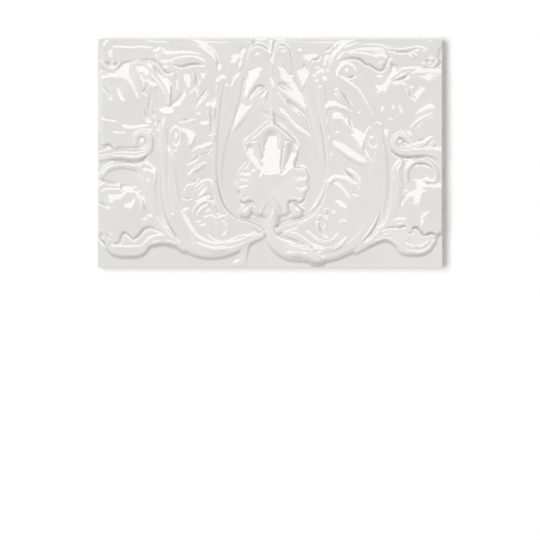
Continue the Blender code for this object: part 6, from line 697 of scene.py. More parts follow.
def cup_flower_right(r):
    lip = [(112, -50), (110.8, -56), (109, -60.4), (106, -64.6), (101, -67.4), (94.7, -68.2), (88.6, -67.5),
           (85, -65.4), (81.7, -61), (78.2, -59), (74.7, -59), (69.5, -61), (62.5, -64.6), (55.6, -67.2),
           (54, -60), (62, -52), (72, -47), (82, -46), (92, -48), (104, -50)]
    r.pad(lip, [(109, -57, 2.6), (102, -64, 2.9), (93, -65, 3.1), (86, -62.6, 2.8), (80, -57.4, 2.9),
                (72, -58, 2.7), (98, -59, 3.1), (88, -56, 3.2), (80, -52, 3.5), (62, -60, 2.8)], edge=1.8)
    r.ridge([(59, -61.6, 0.8, 3.3), (65, -59.4, 1.0, 3.5), (71.2, -55.2, 1.1, 3.7), (79, -53.4, 0.9, 3.8)])
    r.ridge([(65, -60.4, 0.8, 3.3), (71.2, -57, 1.0, 3.5), (76, -55.8, 1.1, 3.4), (80.4, -57, 1.1, 3.3),
             (85.2, -60.4, 1.1, 3.3), (90, -63.8, 1.1, 3.5), (95, -65, 1.1, 3.9), (101, -64.6, 1.1, 3.8),
             (105.4, -62, 1.0, 3.6), (108.6, -57.6, 0.8, 3.4)])
    r.ridge([(89.5, -59.4, 0.8, 3.5), (93, -61.4, 1.1, 4.0), (98.2, -61.8, 1.1, 4.0),
             (102.4, -60.4, 1.0, 3.9), (105, -58, 0.7, 3.5)])
    body = [(96, -16), (104.5, -15.6), (108.4, -20), (117, -21), (117, -35), (117, -48), (110, -54.8),
            (107.3, -53.2), (104.6, -54), (102.2, -54.6), (99.9, -52.6), (98, -50), (95.4, -49.6),
            (93.8, -53.6), (91.4, -53.4), (89.6, -49), (86, -49.6), (82.4, -49.4), (78, -50), (73.8, -51.6),
            (78, -44), (84, -36), (88, -30), (91, -22), (93, -17)]
    r.pad([(78, -4), (78, -22), (90, -30), (117, -28), (117, -4)],
          [(84, -14, 2.4), (98, -11, 2.2), (108, -14, 2.2), (98, -22, 2.8)], edge=1.2)
    r.pad(body, [(97, -17, 2.4), (103, -16.4, 2.4), (98, -26, 3.3), (97, -35, 4.1), (106, -24, 3.4),
                 (108, -34, 3.8), (104, -37, 3.9), (101, -44, 4.3), (99.6, -50, 4.8), (92, -40, 4.4),
                 (88, -43.6, 3.9), (82, -45, 3.8), (82, -48, 4.2), (88, -47.6, 4.6), (90.6, -30, 3.4),
                 (88, -35, 3.7), (106, -46, 4.4), (110, -48, 4.2), (94, -46, 4.7), (105, -52, 4.8)],
          edge=1.3)
    r.ridge([(101, -22, 0.8, 3.0), (107, -22.8, 1.0, 3.6), (112, -22.6, 0.8, 3.4)])
    r.ridge([(104.6, -37, 1.3, 4.4), (102, -42, 1.5, 4.8), (100.2, -48.6, 0.9, 5.2)])
    r.ridge([(80.6, -45.6, 0.9, 4.0), (84.8, -43.4, 1.5, 4.6), (89.4, -43.4, 1.2, 4.8)])
    r.groove([(98.6, -46.6, 0.6, 0.6), (97.4, -50, 0.8, 0.8)])
    r.band([(60, -61.4, 61, -62.6, 2.6), (67, -56.4, 69.5, -58.2, 3.0), (73.4, -48.4, 78.4, -51.6, 3.6),
            (77.4, -38, 84.5, -43, 4.0), (78.8, -28, 88, -33, 3.9), (79, -18, 88.6, -22, 3.8),
            (80.6, -9, 88.4, -13, 3.8), (84.4, -4.6, 88.8, -8.6, 3.6)], (0, 0.4, 0.75, 1), 0.6)
    r.band([(88.6, -19, 92.4, -18, 3.6), (88.2, -11, 92.6, -11.6, 3.8), (91.6, -6, 95, -8.6, 3.8),
            (96.6, -3.6, 98, -7.2, 3.8), (102, -3.2, 102, -7, 3.8), (107.4, -5.6, 105.6, -8.6, 3.8),
            (111, -10.4, 108, -11.6, 3.6), (111.6, -15.6, 108.8, -15.6, 3.6),
            (110.4, -20.6, 107.4, -19, 3.4), (104.6, -20, 104.8, -18, 3.0)], (0, 0.5, 1), 0.5)


def inner_leaf_right(r):
    """The acanthus that curls inside the right scroll."""
    r.pad([(74, 18), (66, 30), (54, 42), (42, 52), (35, 56), (33, 30), (36, 15), (38.4, 2), (38.8, -10),
           (38, -20), (36, -29), (31, -37), (23, -44), (8, -53), (20, -62), (35, -65), (48, -62), (59, -50),
           (66, -34), (70, -16), (73, 0), (75, 10)],
          [(62, 20, 2.6), (44, 36, 2.2), (42, 15, 2.0), (48, 10, 1.8), (44, 0, 2.0), (50, -6, 2.0),
           (60, -12, 3.0), (42, -26, 2.2), (50, -28, 2.8), (42, -40, 2.6), (28, -50, 2.8), (46, -50, 3.6),
           (58, -26, 3.6), (66, 6, 3.0), (56, -40, 3.8), (38, -50, 2.8), (42, 48, 2.2)], edge=1.0)
    r.ridge([(65.6, 17, 0.9, 3.6), (63.6, 12, 0.9, 3.7), (64.2, 7, 0.9, 3.7), (68.4, 3.4, 1.0, 3.7),
             (71, 6.6, 0.9, 3.7), (70.6, 11, 0.8, 3.6), (67.4, 15.6, 0.8, 3.6)])
    r.ridge([(67.2, 11.2, 1.5, 3.6), (67.6, 8.8, 1.4, 3.6)])
    r.pad([(51.6, 24), (54, 23), (56, 18.4), (58.6, 15.6), (62, 14.6), (62.4, 9), (62, 4), (64.6, -0.4),
           (65, -8.4), (61.6, -1), (59, 3), (56.2, 6.4), (54.6, 12), (51.8, 17), (49, 20)],
          [(53.4, 22, 2.2), (57.6, 15, 2.2), (61.6, 13, 2.4), (61, 5, 3.4), (64.4, -4, 3.8),
           (55, 12.6, 3.8), (50, 19.6, 3.6), (58, 4.6, 4.2)], edge=0.8)
    r.pad([(41.2, 8.4), (46, 7.2), (52, 3.8), (58.6, -1.6), (64.4, -7.6), (60.8, -8.2), (55, -5),
           (49.6, -1.6), (44.8, 2), (41.4, 5)], [(42, 7.8, 1.8), (49, 5, 2.2), (56, 0, 2.6), (44, 3.2, 3.8),
                                                 (50, -1, 4.4), (58, -5.6, 4.4), (63.4, -7, 3.6)], edge=0.8)
    r.ridge([(63, 1, 0.7, 3.6), (65.2, -3.6, 0.8, 4.0), (67, -8, 0.6, 3.8)])
    r.pad([(41.6, 27.4), (47, 27), (49.4, 20.6), (45, 21.6), (41.4, 22)],
          [(42, 27, 1.8), (46.6, 26.6, 1.8), (48.6, 21, 3.6), (42, 22.4, 3.4)], edge=0.6)
    r.ridge([(49, 21, 0.9, 3.6), (51.4, 16, 1.0, 3.6), (53.6, 11, 0.8, 3.4)])
    lobes = ([(37.6, 29.6, 0.9, 3.8), (39.6, 32.8, 1.3, 4.2), (42, 33.4, 1.2, 4.2), (46, 31, 1.2, 4.2),
              (50, 29.4, 1.2, 4.0), (53.6, 27, 0.8, 3.6)],
             [(44.6, 42, 0.8, 4.0), (49, 36, 1.0, 4.4), (54.6, 30.6, 0.7, 3.8)],
             [(43.4, 38.6, 0.6, 3.6), (47.4, 33.8, 0.8, 3.8), (51.6, 30.6, 0.6, 3.4)],
             [(45.6, 40.6, 0.5, 4.6), (50, 34.6, 0.6, 4.8), (53.4, 31.4, 0.5, 4.2)],
             [(44.7, 13.7, 1.2, 2.8), (45, 13.4, 1.2, 2.8)],
             [(39.6, -20.6, 0.8, 3.4), (41, -17, 1.1, 3.8), (46, -16, 1.2, 4.0), (50.6, -17.6, 1.2, 3.8),
              (54, -20.6, 0.9, 3.4)],
             [(43.2, -20.4, 0.8, 3.0), (47.6, -23.8, 1.3, 3.8), (53.2, -31, 0.9, 3.8)],
             [(52, -11, 0.9, 3.4), (56.2, -14.4, 1.2, 4.0), (59.2, -19, 1.2, 4.0), (59.4, -24, 0.9, 3.6)],
             [(55, -16, 0.7, 3.4), (57, -19.6, 0.8, 3.6), (57.4, -24, 0.6, 3.4)],
             [(44, -32.6, 1.4, 3.2), (47.6, -34.6, 2.0, 4.2), (50.4, -38, 1.0, 3.8)],
             [(37, -37.4, 1.4, 3.8), (37.2, -38, 1.4, 3.8)], [(42, -39, 0.9, 3.4), (42, -41.6, 0.9, 3.6)],
             [(47.6, -44.6, 1.8, 4.2), (47.8, -45.6, 1.8, 4.2)],
             [(32, -42, 1.4, 4.0), (32.2, -42.4, 1.4, 4.0)],
             [(31.4, -45.6, 0.9, 3.6), (32.2, -51, 1.0, 3.8), (35.8, -56.4, 0.8, 3.4)],
             [(36.6, -41.6, 0.8, 3.4), (37.6, -46, 1.1, 3.8), (35.6, -50.4, 0.9, 3.6)],
             [(25, -52.4, 0.9, 4.2), (30, -57, 1.1, 4.6), (34.6, -59, 1.2, 4.8), (39, -58.8, 1.2, 4.8),
              (42.6, -56.6, 1.1, 4.6), (44.6, -53.4, 0.8, 4.2)],
             [(34, -63.6, 0.9, 5.2), (40.8, -63.6, 1.2, 5.6), (46, -61, 1.2, 5.6), (50.2, -56.4, 0.8, 5.2)])
    for lobe in lobes:
        r.ridge(lobe, blend=0.3)


def palmette_faces(r):
    r.facet([(-2.6, 9), (0, 10.3), (4.6, 10.3), (5.4, 6), (7.4, 2.4), (7, -3), (6.4, -9), (7.2, -14.6),
             (2, -13.8), (-3, -14.6), (-5, -12), (-5.4, -5), (-5, 0), (-4.6, 5)])
    r.facet([(14.4, -1), (16.6, -1), (16.4, -5), (15.2, -8.4), (11.5, -11.6), (8, -14.6), (7.4, -12.5),
             (10, -9.5), (12.4, -5.4)])
    r.facet([(-15.6, 2), (-13, 2.6), (-10.6, 0.8), (-9.8, -3), (-6, -7.4), (-5, -11), (-5.6, -14),
             (-8, -17.6), (-7.6, -15), (-6.4, -10.5), (-9.6, -7.4), (-12.6, -4), (-15, -0.4)])
    r.facet([(16, -19.4), (18.5, -15.8), (21.5, -13.8), (22.4, -15), (20, -17.8), (18, -19.4)])
    r.facet([(18.6, -24.6), (20.4, -23), (24, -21.8), (24, -23.2), (21, -24.9)])
    r.facet([(-21, -20.6), (-18.6, -21.2), (-17, -23.4), (-18, -24.4), (-20, -23)])
    r.streak([(-16, 9.6, 1.3), (-12, 11.8, 1.3), (-8.6, 15, 1.3), (-5.2, 18.2, 1.3), (-1.6, 20, 1.4),
              (2, 20.6, 1.4), (6, 19.4, 1.4), (9.6, 16.8, 1.3), (13, 13, 1.3), (17, 9.8, 1.2)])
    for x, y, radius in ((-18.8, -13.8, 1.5), (-11, -12, 1.4), (-11.2, -31, 1.6), (-14, -35, 1.1),
                         (-18.5, -38.4, 1.9), (-6, -38.8, 1.5), (-7.6, -41.2, 1.2), (14.6, -30.2, 1.7),
                         (15.6, -35, 1.1), (20, -37.6, 1.7), (13.6, -41.2, 1.3)):
        r.spot(x, y, radius)
    r.crease([(-7.2, 8, 0.6, 0.4), (-6, 3, 0.9, 0.9), (-5, -3, 0.8, 0.7), (-6.6, -5.4, 0.5, 0.2)])
    r.crease([(9.6, 7, 0.6, 0.4), (8.2, 0, 0.8, 0.8), (7.4, -7, 0.9, 0.9), (7.6, -11.6, 0.7, 0.5)])
    r.crease([(9.6, 8, 0.7, 0.6), (13, 8.2, 0.8, 0.8), (17, 6, 0.9, 0.7), (18.4, 2, 0.8, 0.6),
              (18.2, -5, 0.6, 0.3)])
    r.crease([(-14.6, 6.8, 0.7, 0.4), (-12, 8, 0.8, 0.7), (-9.4, 7.8, 0.6, 0.4)])
    r.crease([(-19.6, -31, 0.8, 0.6), (-18.4, -33.2, 1.1, 1.2), (-16, -33.3, 1.1, 1.4),
              (-13, -32, 1.1, 1.3), (-10.6, -32.4, 0.8, 0.6)])
    r.crease([(13.6, -31.6, 0.8, 0.7), (16.6, -31.9, 1.1, 1.4), (19.5, -33.1, 1.1, 1.4),
              (22, -31.8, 1.0, 1.0), (23, -28.6, 0.7, 0.4)])
    r.crease([(-19.6, -16.2, 0.8, 0.8), (-16.6, -17, 0.8, 0.6), (-14, -18.6, 0.6, 0.2)])
    r.crease([(16.4, -8.8, 0.7, 0.6), (19, -9, 0.8, 0.7), (22, -10, 0.6, 0.3)])


def husk_faces(r):
    r.facet([(-14.8, 55.6), (-12.2, 56.4), (-9.1, 57.8), (-6, 57.5), (-4, 55.6), (-6, 52.5), (-6.4, 49.8),
             (-9, 47.5), (-10.2, 44.5), (-12.2, 41.4), (-14.8, 35.2), (-18, 36.4), (-17.2, 40.6),
             (-16.4, 46), (-15.2, 52)], -0.1, -0.1, 0.5, 0.05)
    r.facet([(-18.6, 35.4), (-15.8, 32.8), (-12.5, 33.5), (-9.6, 35.8), (-5.4, 40.4), (-4.6, 39.8),
             (-6, 37.4), (-8.6, 33.8), (-10.4, 30.8), (-15, 25.4), (-19, 20), (-25.2, 13.4), (-24, 19),
             (-21.4, 26.8)], -0.08, 0.1, 0.5, 0.05)
    r.facet([(4.4, 58.7), (7.1, 58.3), (10.9, 57.2), (12.5, 53.7), (15.2, 52.9), (15.5, 50.6), (17.8, 44.5),
             (20.9, 39), (23.6, 34), (24.4, 27.2), (20.9, 29), (16.3, 33), (9.4, 38.3), (6.3, 43),
             (10.9, 41), (14.8, 39.5), (13.6, 42.2), (12, 45.2), (8.6, 49.5), (7.5, 53), (5.2, 56.8)], 0.12,
            -0.1, 0.5, 0.06)
    r.facet([(5.4, 31.4), (9, 31.4), (11.6, 28.3), (14.8, 24.5), (19.4, 20.2), (24.4, 16.8), (27, 13.7),
             (27.6, 8.4), (22.6, 11.2), (17, 14.8), (12.4, 19.2), (9.4, 23.9), (5.8, 26)], 0.1, -0.1, 0.5,
            0.06)
    r.facet([(22.8, 59.8), (25.9, 54.8), (24, 49.8), (23.2, 45.2), (22, 41.4), (20.9, 43), (18.6, 48.3),
             (18.2, 53.7), (20.9, 56.8)], 0.1)
    r.facet([(22, 65.2), (23.2, 66.2), (33.2, 66.2), (30.9, 63.3), (29.8, 61), (27, 59), (24.8, 60.2),
             (22.5, 62.2)])
    r.facet([(-25, 66), (-19.8, 66.2), (-20.2, 63.7), (-21.4, 61), (-22.5, 59), (-25.8, 58.7),
             (-24.8, 62.2)])
    r.facet([(-19.3, 69.8), (-16.4, 69.6), (-17.2, 66.8), (-18, 62), (-18.4, 57.5), (-19.6, 54),
             (-20.4, 56), (-19.6, 61), (-19.6, 66)])
    r.facet([(-24, 52.2), (-20.6, 54.4), (-19.6, 53.6), (-22.2, 48.3), (-24, 43.7), (-25.9, 42.8),
             (-24.8, 47.5)])
    r.facet([(18.4, 69.8), (20.4, 69.8), (20.8, 66.8), (19.4, 66)])
    r.facet([(0.2, 64), (0.5, 60), (0.9, 53.2), (1.8, 53.2), (1.6, 60), (1.6, 64)])
    r.facet([(0.2, 50.6), (1.6, 50.6), (2.6, 46), (2.9, 41.2), (1.8, 41.2), (1.2, 46)])
    r.streak([(-10, 31.6, 0.9), (-6.4, 33.8, 0.9), (-4, 36.4, 0.9), (-2.6, 39, 0.8)], 0.9)
    r.streak([(4, 43.5, 0.9), (6.3, 39, 1.0), (9.4, 34.7, 1.0), (12.8, 31.2, 1.0), (17.3, 27.4, 1.0),
              (21.5, 23.7, 1.0), (24.6, 20, 0.9)], 0.9)
    r.streak([(-4.4, 26.2, 0.9), (-1.4, 23.6, 0.9)], 0.9)
    r.crease([(-9.8, 43.6, 0.9, 0.7), (-6.8, 44.4, 1.2, 1.0), (-3.6, 44, 1.0, 0.7)])
    r.crease([(6.2, 46.6, 0.9, 0.7), (9, 46, 1.0, 1.0), (12, 45, 0.9, 0.6)])
    r.crease([(-3, 45, 0.7, 0.4), (-1.4, 41, 0.9, 0.8), (-2, 36, 0.8, 0.7), (-3.4, 32, 0.6, 0.4)])
    for x, y, radius in ((-8.4, 65.2, 1.6), (9, 67, 1.7), (-28.8, 44.8, 1.3), (31.4, 56.2, 1.3),
                         (29.2, 51, 1.1), (30.6, 47.6, 1.1), (33, 43.6, 1.0), (1, 29, 1.2), (1.4, 23, 1.1)):
        r.spot(x, y, radius)
    r.facet([(-35.8, 46), (-35.2, 49), (-32.8, 51.4), (-30.4, 50.8), (-32.4, 49.4), (-34.4, 46.4)])
    r.facet([(-35.4, 58.6), (-34.6, 53.6), (-32.6, 53.4), (-32, 56), (-32.4, 59), (-34, 60)])
    r.facet([(36.4, 66), (38.8, 65.4), (37.6, 60.6), (36.8, 56), (35.6, 55.4), (35.2, 60)])
    r.facet([(34.6, 51.8), (36.4, 51.6), (38, 47.6), (36.6, 46.8)])
    r.crease([(27.6, 60.2, 0.7, 0.6), (29, 61.8, 0.8, 0.9), (31.6, 61.8, 0.8, 0.9), (33, 64, 0.6, 0.5)])
    r.crease([(37, 67.6, 0.7, 0.5), (38.6, 68.6, 0.9, 0.9), (40.2, 70.6, 0.7, 0.5)])


def upper_left_faces(r):
    r.facet([(-90.9, 60.2), (-92, 57.9), (-92.2, 53.7), (-90.9, 49), (-89, 43.7), (-86.3, 37.5),
             (-84.4, 32.2), (-84.2, 27.2), (-84.9, 27.2), (-86.3, 32.9), (-88.6, 39), (-90.9, 44.5),
             (-93.2, 47.9), (-96.7, 51), (-100.9, 52.5), (-105.5, 52.9), (-105.5, 53.8), (-100.2, 55.2),
             (-96.3, 57.7), (-93.6, 59.8)], 0.05, -0.2, 0.5, 0.06)
    r.streak([(-91, 60.6, 1.0), (-87.6, 61.2, 1.1), (-83.4, 59.8, 0.9)])
    r.facet([(-88.6, 58.2), (-83.2, 58.7), (-80.4, 55.8), (-80.2, 52.9), (-80.5, 50.2), (-79, 46.4),
             (-75.5, 45.2), (-75.5, 42.8), (-78.6, 42.8), (-80.4, 46), (-81.6, 50), (-84.5, 52),
             (-87.3, 54.5)])
    r.facet([(-101.3, 44.8), (-99.8, 44.6), (-98.2, 41.4), (-96.3, 36.8), (-95.4, 33.3), (-96.7, 32.5),
             (-98.6, 34), (-99.5, 37.5), (-100.5, 41.4)])
    r.facet([(-110.9, 51.6), (-106.3, 52.4), (-101.7, 52.2), (-97.5, 50.2), (-97.8, 49), (-100.4, 49.9),
             (-105.5, 51.4), (-109, 49.8), (-110.2, 47.2), (-111.2, 48.6)])
    r.facet([(-98.2, 19.5), (-95.5, 19.6), (-90.2, 18.7), (-84.4, 19.8), (-83.2, 19.5), (-83.2, 16.8),
             (-86.3, 16.4), (-89.4, 15.2), (-93.2, 15.2), (-96.6, 15.8)])
    r.facet([(-104.8, 15.6), (-100.9, 14.5), (-96.3, 14.8), (-94, 13.6), (-98.2, 12.3), (-102.5, 12.3)])
    r.facet([(-106, 69.8), (-106.9, 66.8), (-105.7, 61.8), (-104.4, 61.8), (-104.8, 66), (-104, 69.4)])
    r.facet([(-79, 59.5), (-75.5, 52.9), (-70.9, 45.2), (-68.6, 40.6), (-67.5, 34), (-66, 31.5),
             (-65.7, 37.5), (-65.4, 43.7), (-67.8, 48.3), (-72.5, 53.7), (-77, 59.5)], -0.12)
    r.facet([(-74, 29.8), (-73.2, 26.8), (-70.9, 25.2), (-67.5, 25), (-65.5, 27.2), (-62.8, 29),
             (-65.5, 31.5), (-68, 33), (-71, 30)])
    r.crease([(-65, 31.6, 0.8, 0.3), (-62, 34.6, 1.3, 0.8), (-59, 38.4, 1.2, 0.7), (-57.4, 42, 0.8, 0.3)])
    r.facet([(-61.5, 30.4), (-58.6, 33), (-56, 37.6), (-54.2, 42), (-56, 43.7), (-57, 49), (-57.5, 53),
             (-54.8, 53.7), (-52.8, 53), (-52.8, 43), (-54.4, 39), (-57, 34.5), (-60.2, 30.6)], 0.1)
    r.crease([(-75.4, 56.4, 0.6, 0.5), (-72.4, 52.4, 0.8, 0.8), (-70, 49, 0.6, 0.4)])
    r.crease([(-78, 53.6, 0.6, 0.5), (-75, 50, 0.9, 0.8), (-71.4, 45, 0.7, 0.6), (-69.6, 40, 0.5, 0.2)])
    r.crease([(-62, 54, 0.7, 0.2), (-61.6, 50, 0.9, 0.5), (-61.4, 43, 0.7, 0.2)])
    r.crease([(-50.4, 54, 1.2, 0.3), (-48.6, 50, 1.7, 0.8), (-48.6, 44, 1.4, 0.5), (-47, 38, 1.0, 0.3)])
    r.facet([(-46, 53.6), (-44.4, 54), (-43.8, 50), (-43.4, 47.5), (-44.8, 48.7)])
    r.facet([(-70.2, 67.5), (-64, 68.4), (-57, 68.6), (-51.7, 68), (-47.8, 66.4), (-45, 63.8), (-49, 65.2),
             (-55, 65.8), (-60, 65.2), (-65, 64.2), (-69, 64.2)])
    r.streak([(-63.4, 62.4, 0.8), (-59, 63.6, 1.0), (-53, 64, 1.0), (-48, 63.4, 1.0), (-44.6, 61.6, 1.0),
              (-42.8, 59.8, 0.8)])
    r.crease([(-63, 58.4, 0.9, 0.6), (-58.6, 57.2, 1.2, 1.2), (-53, 58.6, 1.2, 1.2),
              (-47.6, 58.9, 1.1, 1.0), (-44, 58, 0.8, 0.4)])
    r.crease([(-77, 61.4, 0.8, 0.5), (-73, 59, 1.0, 1.0), (-70.6, 55.4, 1.0, 1.0), (-68, 53, 1.0, 1.0),
              (-64.8, 53.2, 0.8, 0.4)])
    r.crease([(-105, 69.8, 0.8, -0.2), (-98, 69.6, 1.1, -0.4), (-92, 69, 1.1, -0.4), (-86, 69.6, 1.1, -0.4),
              (-78, 69, 0.9, -0.2)])
    r.crease([(-110.4, 46, 0.9, 0.3), (-109, 43, 1.2, 0.8), (-106.6, 40.4, 1.3, 0.9),
              (-105.2, 36, 1.0, 0.4)])
    r.spot(-69.3, 56.6, 1.6)
    r.spot(-76, 67.6, 1.5)
    r.spot(-82, 47.4, 1.4)
    r.crease([(-110, 61, 0.8, 0.4), (-107.6, 59.6, 1.0, 0.8), (-104, 58.8, 1.1, 0.9),
              (-100.6, 59.4, 1.0, 0.7)])
    r.spot(-107.8, 58.6, 1.2)
    r.spot(-104.2, 57.6, 1.2)
    r.spot(-79.8, 15.2, 1.3)
    r.facet([(-77.2, 31), (-76.4, 30.6), (-76.8, 27), (-78, 26.6), (-78, 29)])
    r.facet([(-75.6, 21.8), (-74, 22.2), (-75.4, 17.6), (-76.6, 17.6)])
    r.facet([(-83.6, 74.6), (-68, 74.4), (-68, 72.8), (-80, 73)])
    r.facet([(-52, 75), (-46, 75), (-42.2, 71), (-38.6, 67), (-35.6, 62.4), (-34.8, 59.6), (-36.6, 60.4),
             (-40, 65), (-44, 69.4), (-48, 72.6)], 0.05)
    r.streak([(-49.4, 29.6, 0.9), (-45, 34.4, 1.0), (-41, 39, 0.9)], 0.9)
    r.streak([(-46, 37.4, 0.7), (-42.6, 44.4, 0.7)], 0.9)
    r.streak([(-60, 25.6, 0.9), (-54, 28.8, 1.0)], 0.7)
    r.crease([(-48.6, 33, 0.6, 0.3), (-45, 38, 0.9, 0.8), (-42, 42, 0.7, 0.5)])
    r.crease([(-59.6, 20.8, 0.6, 0.3), (-56.4, 22, 0.9, 0.9), (-54, 22.2, 0.7, 0.5)])
    r.crease([(-81.5, 46.4, 0.6, 0.4), (-82, 43, 0.8, 0.9), (-83.6, 40.4, 0.8, 0.9), (-81, 39.2, 0.7, 0.8),
              (-79.4, 37, 0.8, 0.9), (-79.6, 33, 0.8, 0.8), (-80.6, 29, 0.8, 0.8), (-80.4, 24, 0.8, 0.8),
              (-79, 21, 0.6, 0.5)])
    r.crease([(-76.2, 31, 0.6, 0.4), (-76.8, 26.6, 0.7, 0.8), (-75.4, 23, 0.6, 0.5)])
    r.crease([(-82.4, 31, 0.6, 0.3), (-82, 25, 0.8, 0.8), (-80.6, 20.6, 0.6, 0.4)])
    r.crease([(-111, 24, 0.6, 0.4), (-107, 23, 0.8, 0.8), (-102.6, 22, 0.7, 0.5)])
    r.streak([(-111.6, 22.2, 0.7), (-107, 21.8, 0.8), (-103, 20.4, 0.7)], 0.7)
    r.streak([(-83, 41, 0.7), (-81, 38.6, 0.8), (-79.4, 37, 0.6)], 0.9)


def lower_left_faces(r):
    r.facet([(-84.8, -9.5), (-83.2, -8.6), (-79.4, -8.6), (-78.2, -10), (-75.5, -10.2), (-75.3, -19.8),
             (-76.7, -20.2), (-77, -14.5), (-78.6, -12.5), (-81, -13), (-83, -12)])
    r.facet([(-82.8, -12), (-81.8, -12.4), (-80.8, -20.2), (-82.2, -20)])
    r.facet([(-89, -10), (-87.8, -10.4), (-84.6, -19.6), (-85.4, -20), (-88, -14)], -0.15)
    r.streak([(-104.8, -7.8, 0.9), (-99.4, -7, 1.0), (-94, -7.9, 0.9)])
    r.facet([(-99, -21.4), (-97.5, -20.6), (-91.3, -21), (-89.4, -24.5), (-85.9, -29), (-83.6, -33.7),
             (-83.4, -38.3), (-84.8, -36.8), (-86.3, -33), (-88.6, -29), (-90.9, -26), (-94, -24.8),
             (-98, -25)], -0.08)
    r.facet([(-107.8, -28.3), (-106.7, -26.6), (-99.4, -26), (-98, -25), (-95.9, -26), (-97.5, -28.3),
             (-98, -31.5), (-102.5, -32), (-103.6, -35.2), (-105.5, -34.8), (-107.5, -32)])
    r.facet([(-96.7, -33.7), (-95.5, -32.4), (-91.7, -32), (-91, -36), (-91.7, -37.4), (-94.8, -37.4),
             (-96.3, -36)])
    r.streak([(-111.4, -25.4, 0.9), (-109.6, -23.9, 1.0), (-105, -23.6, 1.1), (-100.6, -23.8, 0.9)])
    r.crease([(-112.6, -17.6, 0.9, 0.5), (-109, -18.4, 1.3, 1.0), (-104, -19.6, 1.2, 0.8),
              (-100.6, -20, 0.8, 0.4)])
    r.facet([(-110.2, -50.2), (-105.5, -52.2), (-102.5, -54.8), (-101.3, -57.9), (-102.7, -57.9),
             (-104.4, -54.6), (-107.5, -53.2), (-109.8, -54)])
    r.facet([(-84.4, -46.8), (-83.6, -43), (-82.8, -41.5), (-81, -41.8), (-80.5, -42.8), (-76.3, -42.8),
             (-76.3, -44), (-79.4, -44.6), (-82, -44.9), (-83.6, -46.8)])
    r.streak([(-74.4, -42.5, 1.0), (-70.2, -49.8, 1.2), (-65.5, -55.2, 1.2), (-61.7, -59.5, 0.9)], 0.8)
    r.streak([(-65.2, -47.2, 0.8), (-61, -53.7, 1.0), (-57, -59, 1.1), (-53.6, -63, 0.9)], 0.8)
    r.crease([(-73, 4, 0.8, 0.2), (-72.4, -10, 1.0, 0.5), (-71.8, -22, 1.0, 0.6), (-70, -36, 1.0, 0.7),
              (-66.6, -47, 1.1, 1.0), (-62.6, -54, 1.0, 1.0), (-59.8, -58.4, 0.6, 0.4)])
    r.crease([(-67.6, 6, 0.8, 0.2), (-68, -10, 1.0, 0.4), (-67.4, -26, 1.0, 0.4), (-64.6, -40, 0.9, 0.3)])
    r.streak([(-81, -55.8, 0.9), (-76.3, -54.6, 1.1), (-71, -55.7, 1.1), (-66.3, -58.2, 0.9)])
    r.streak([(-78.4, -59, 0.9), (-71, -58.3, 1.1), (-65.5, -58.4, 1.1), (-62, -59.7, 0.9)])
    r.streak([(-73.6, -52.4, 0.7), (-70.2, -53.8, 0.8)])
    r.streak([(-98.8, -61.8, 1.0), (-95, -62.1, 1.2), (-91, -62.1, 1.0)], 0.8)
    r.streak([(-99, -66.4, 0.8), (-94, -66.8, 0.9), (-88, -66.6, 0.8)])
    r.streak([(-104.6, -61.4, 0.9), (-102.6, -63.6, 0.9)])
    r.crease([(-104.4, -60, 0.8, 0.3), (-101.4, -60.2, 1.1, 0.7), (-99, -58.8, 1.1, 0.7),
              (-97.6, -55, 1.1, 0.7), (-96, -53, 1.1, 0.7), (-93.4, -54.6, 1.1, 0.7),
              (-90.5, -57, 1.1, 0.7), (-87, -55.2, 1.2, 0.8), (-83, -50.8, 1.2, 0.9),
              (-79, -49.2, 1.2, 0.9), (-74.5, -51, 1.1, 0.7), (-70.6, -53.6, 0.7, 0.3)])
    r.crease([(-113.4, -32, 0.9, 0.9), (-110, -33.8, 1.0, 1.1), (-106.4, -35.8, 0.7, 0.4)])
    r.streak([(-99, 1.3, 0.8), (-92, 1.9, 1.1), (-86, 1.9, 1.0)], 0.8)
    r.crease([(-104, -4.8, 0.9, 0.6), (-95, -5.2, 1.1, 1.2), (-88.6, -6.3, 1.1, 1.2), (-83.6, -4, 1.1, 1.1),
              (-79.4, 0.6, 0.8, 0.6)])
    r.streak([(-103, -1.6, 0.8), (-96, -2.2, 1.0), (-89, -2.6, 1.1), (-84.4, -1, 1.0), (-81.6, -0.2, 0.7)],
             0.8)
    r.streak([(-108.6, 5.2, 0.8), (-105.5, 2.5, 0.9), (-101.7, 0.8, 0.8)], 0.8)
    r.streak([(-106.4, 6.2, 0.9), (-103.6, 5.8, 1.0), (-102, 4, 0.8)], 0.8)
    r.crease([(-108, 5.6, 0.6, 0.4), (-105.4, 4.4, 0.9, 0.9), (-102, 2.4, 0.8, 0.7),
              (-99.4, 3.6, 0.6, 0.4)])
    r.spot(-84.2, 9.2, 1.4)
    r.crease([(-113, -55, 1.2, 0.9), (-110.8, -58.6, 1.8, 1.3), (-108, -61.6, 1.2, 0.9)])
    r.facet([(-113, -3.6), (-111.6, -0.4), (-110.8, -1), (-112.2, -4)])


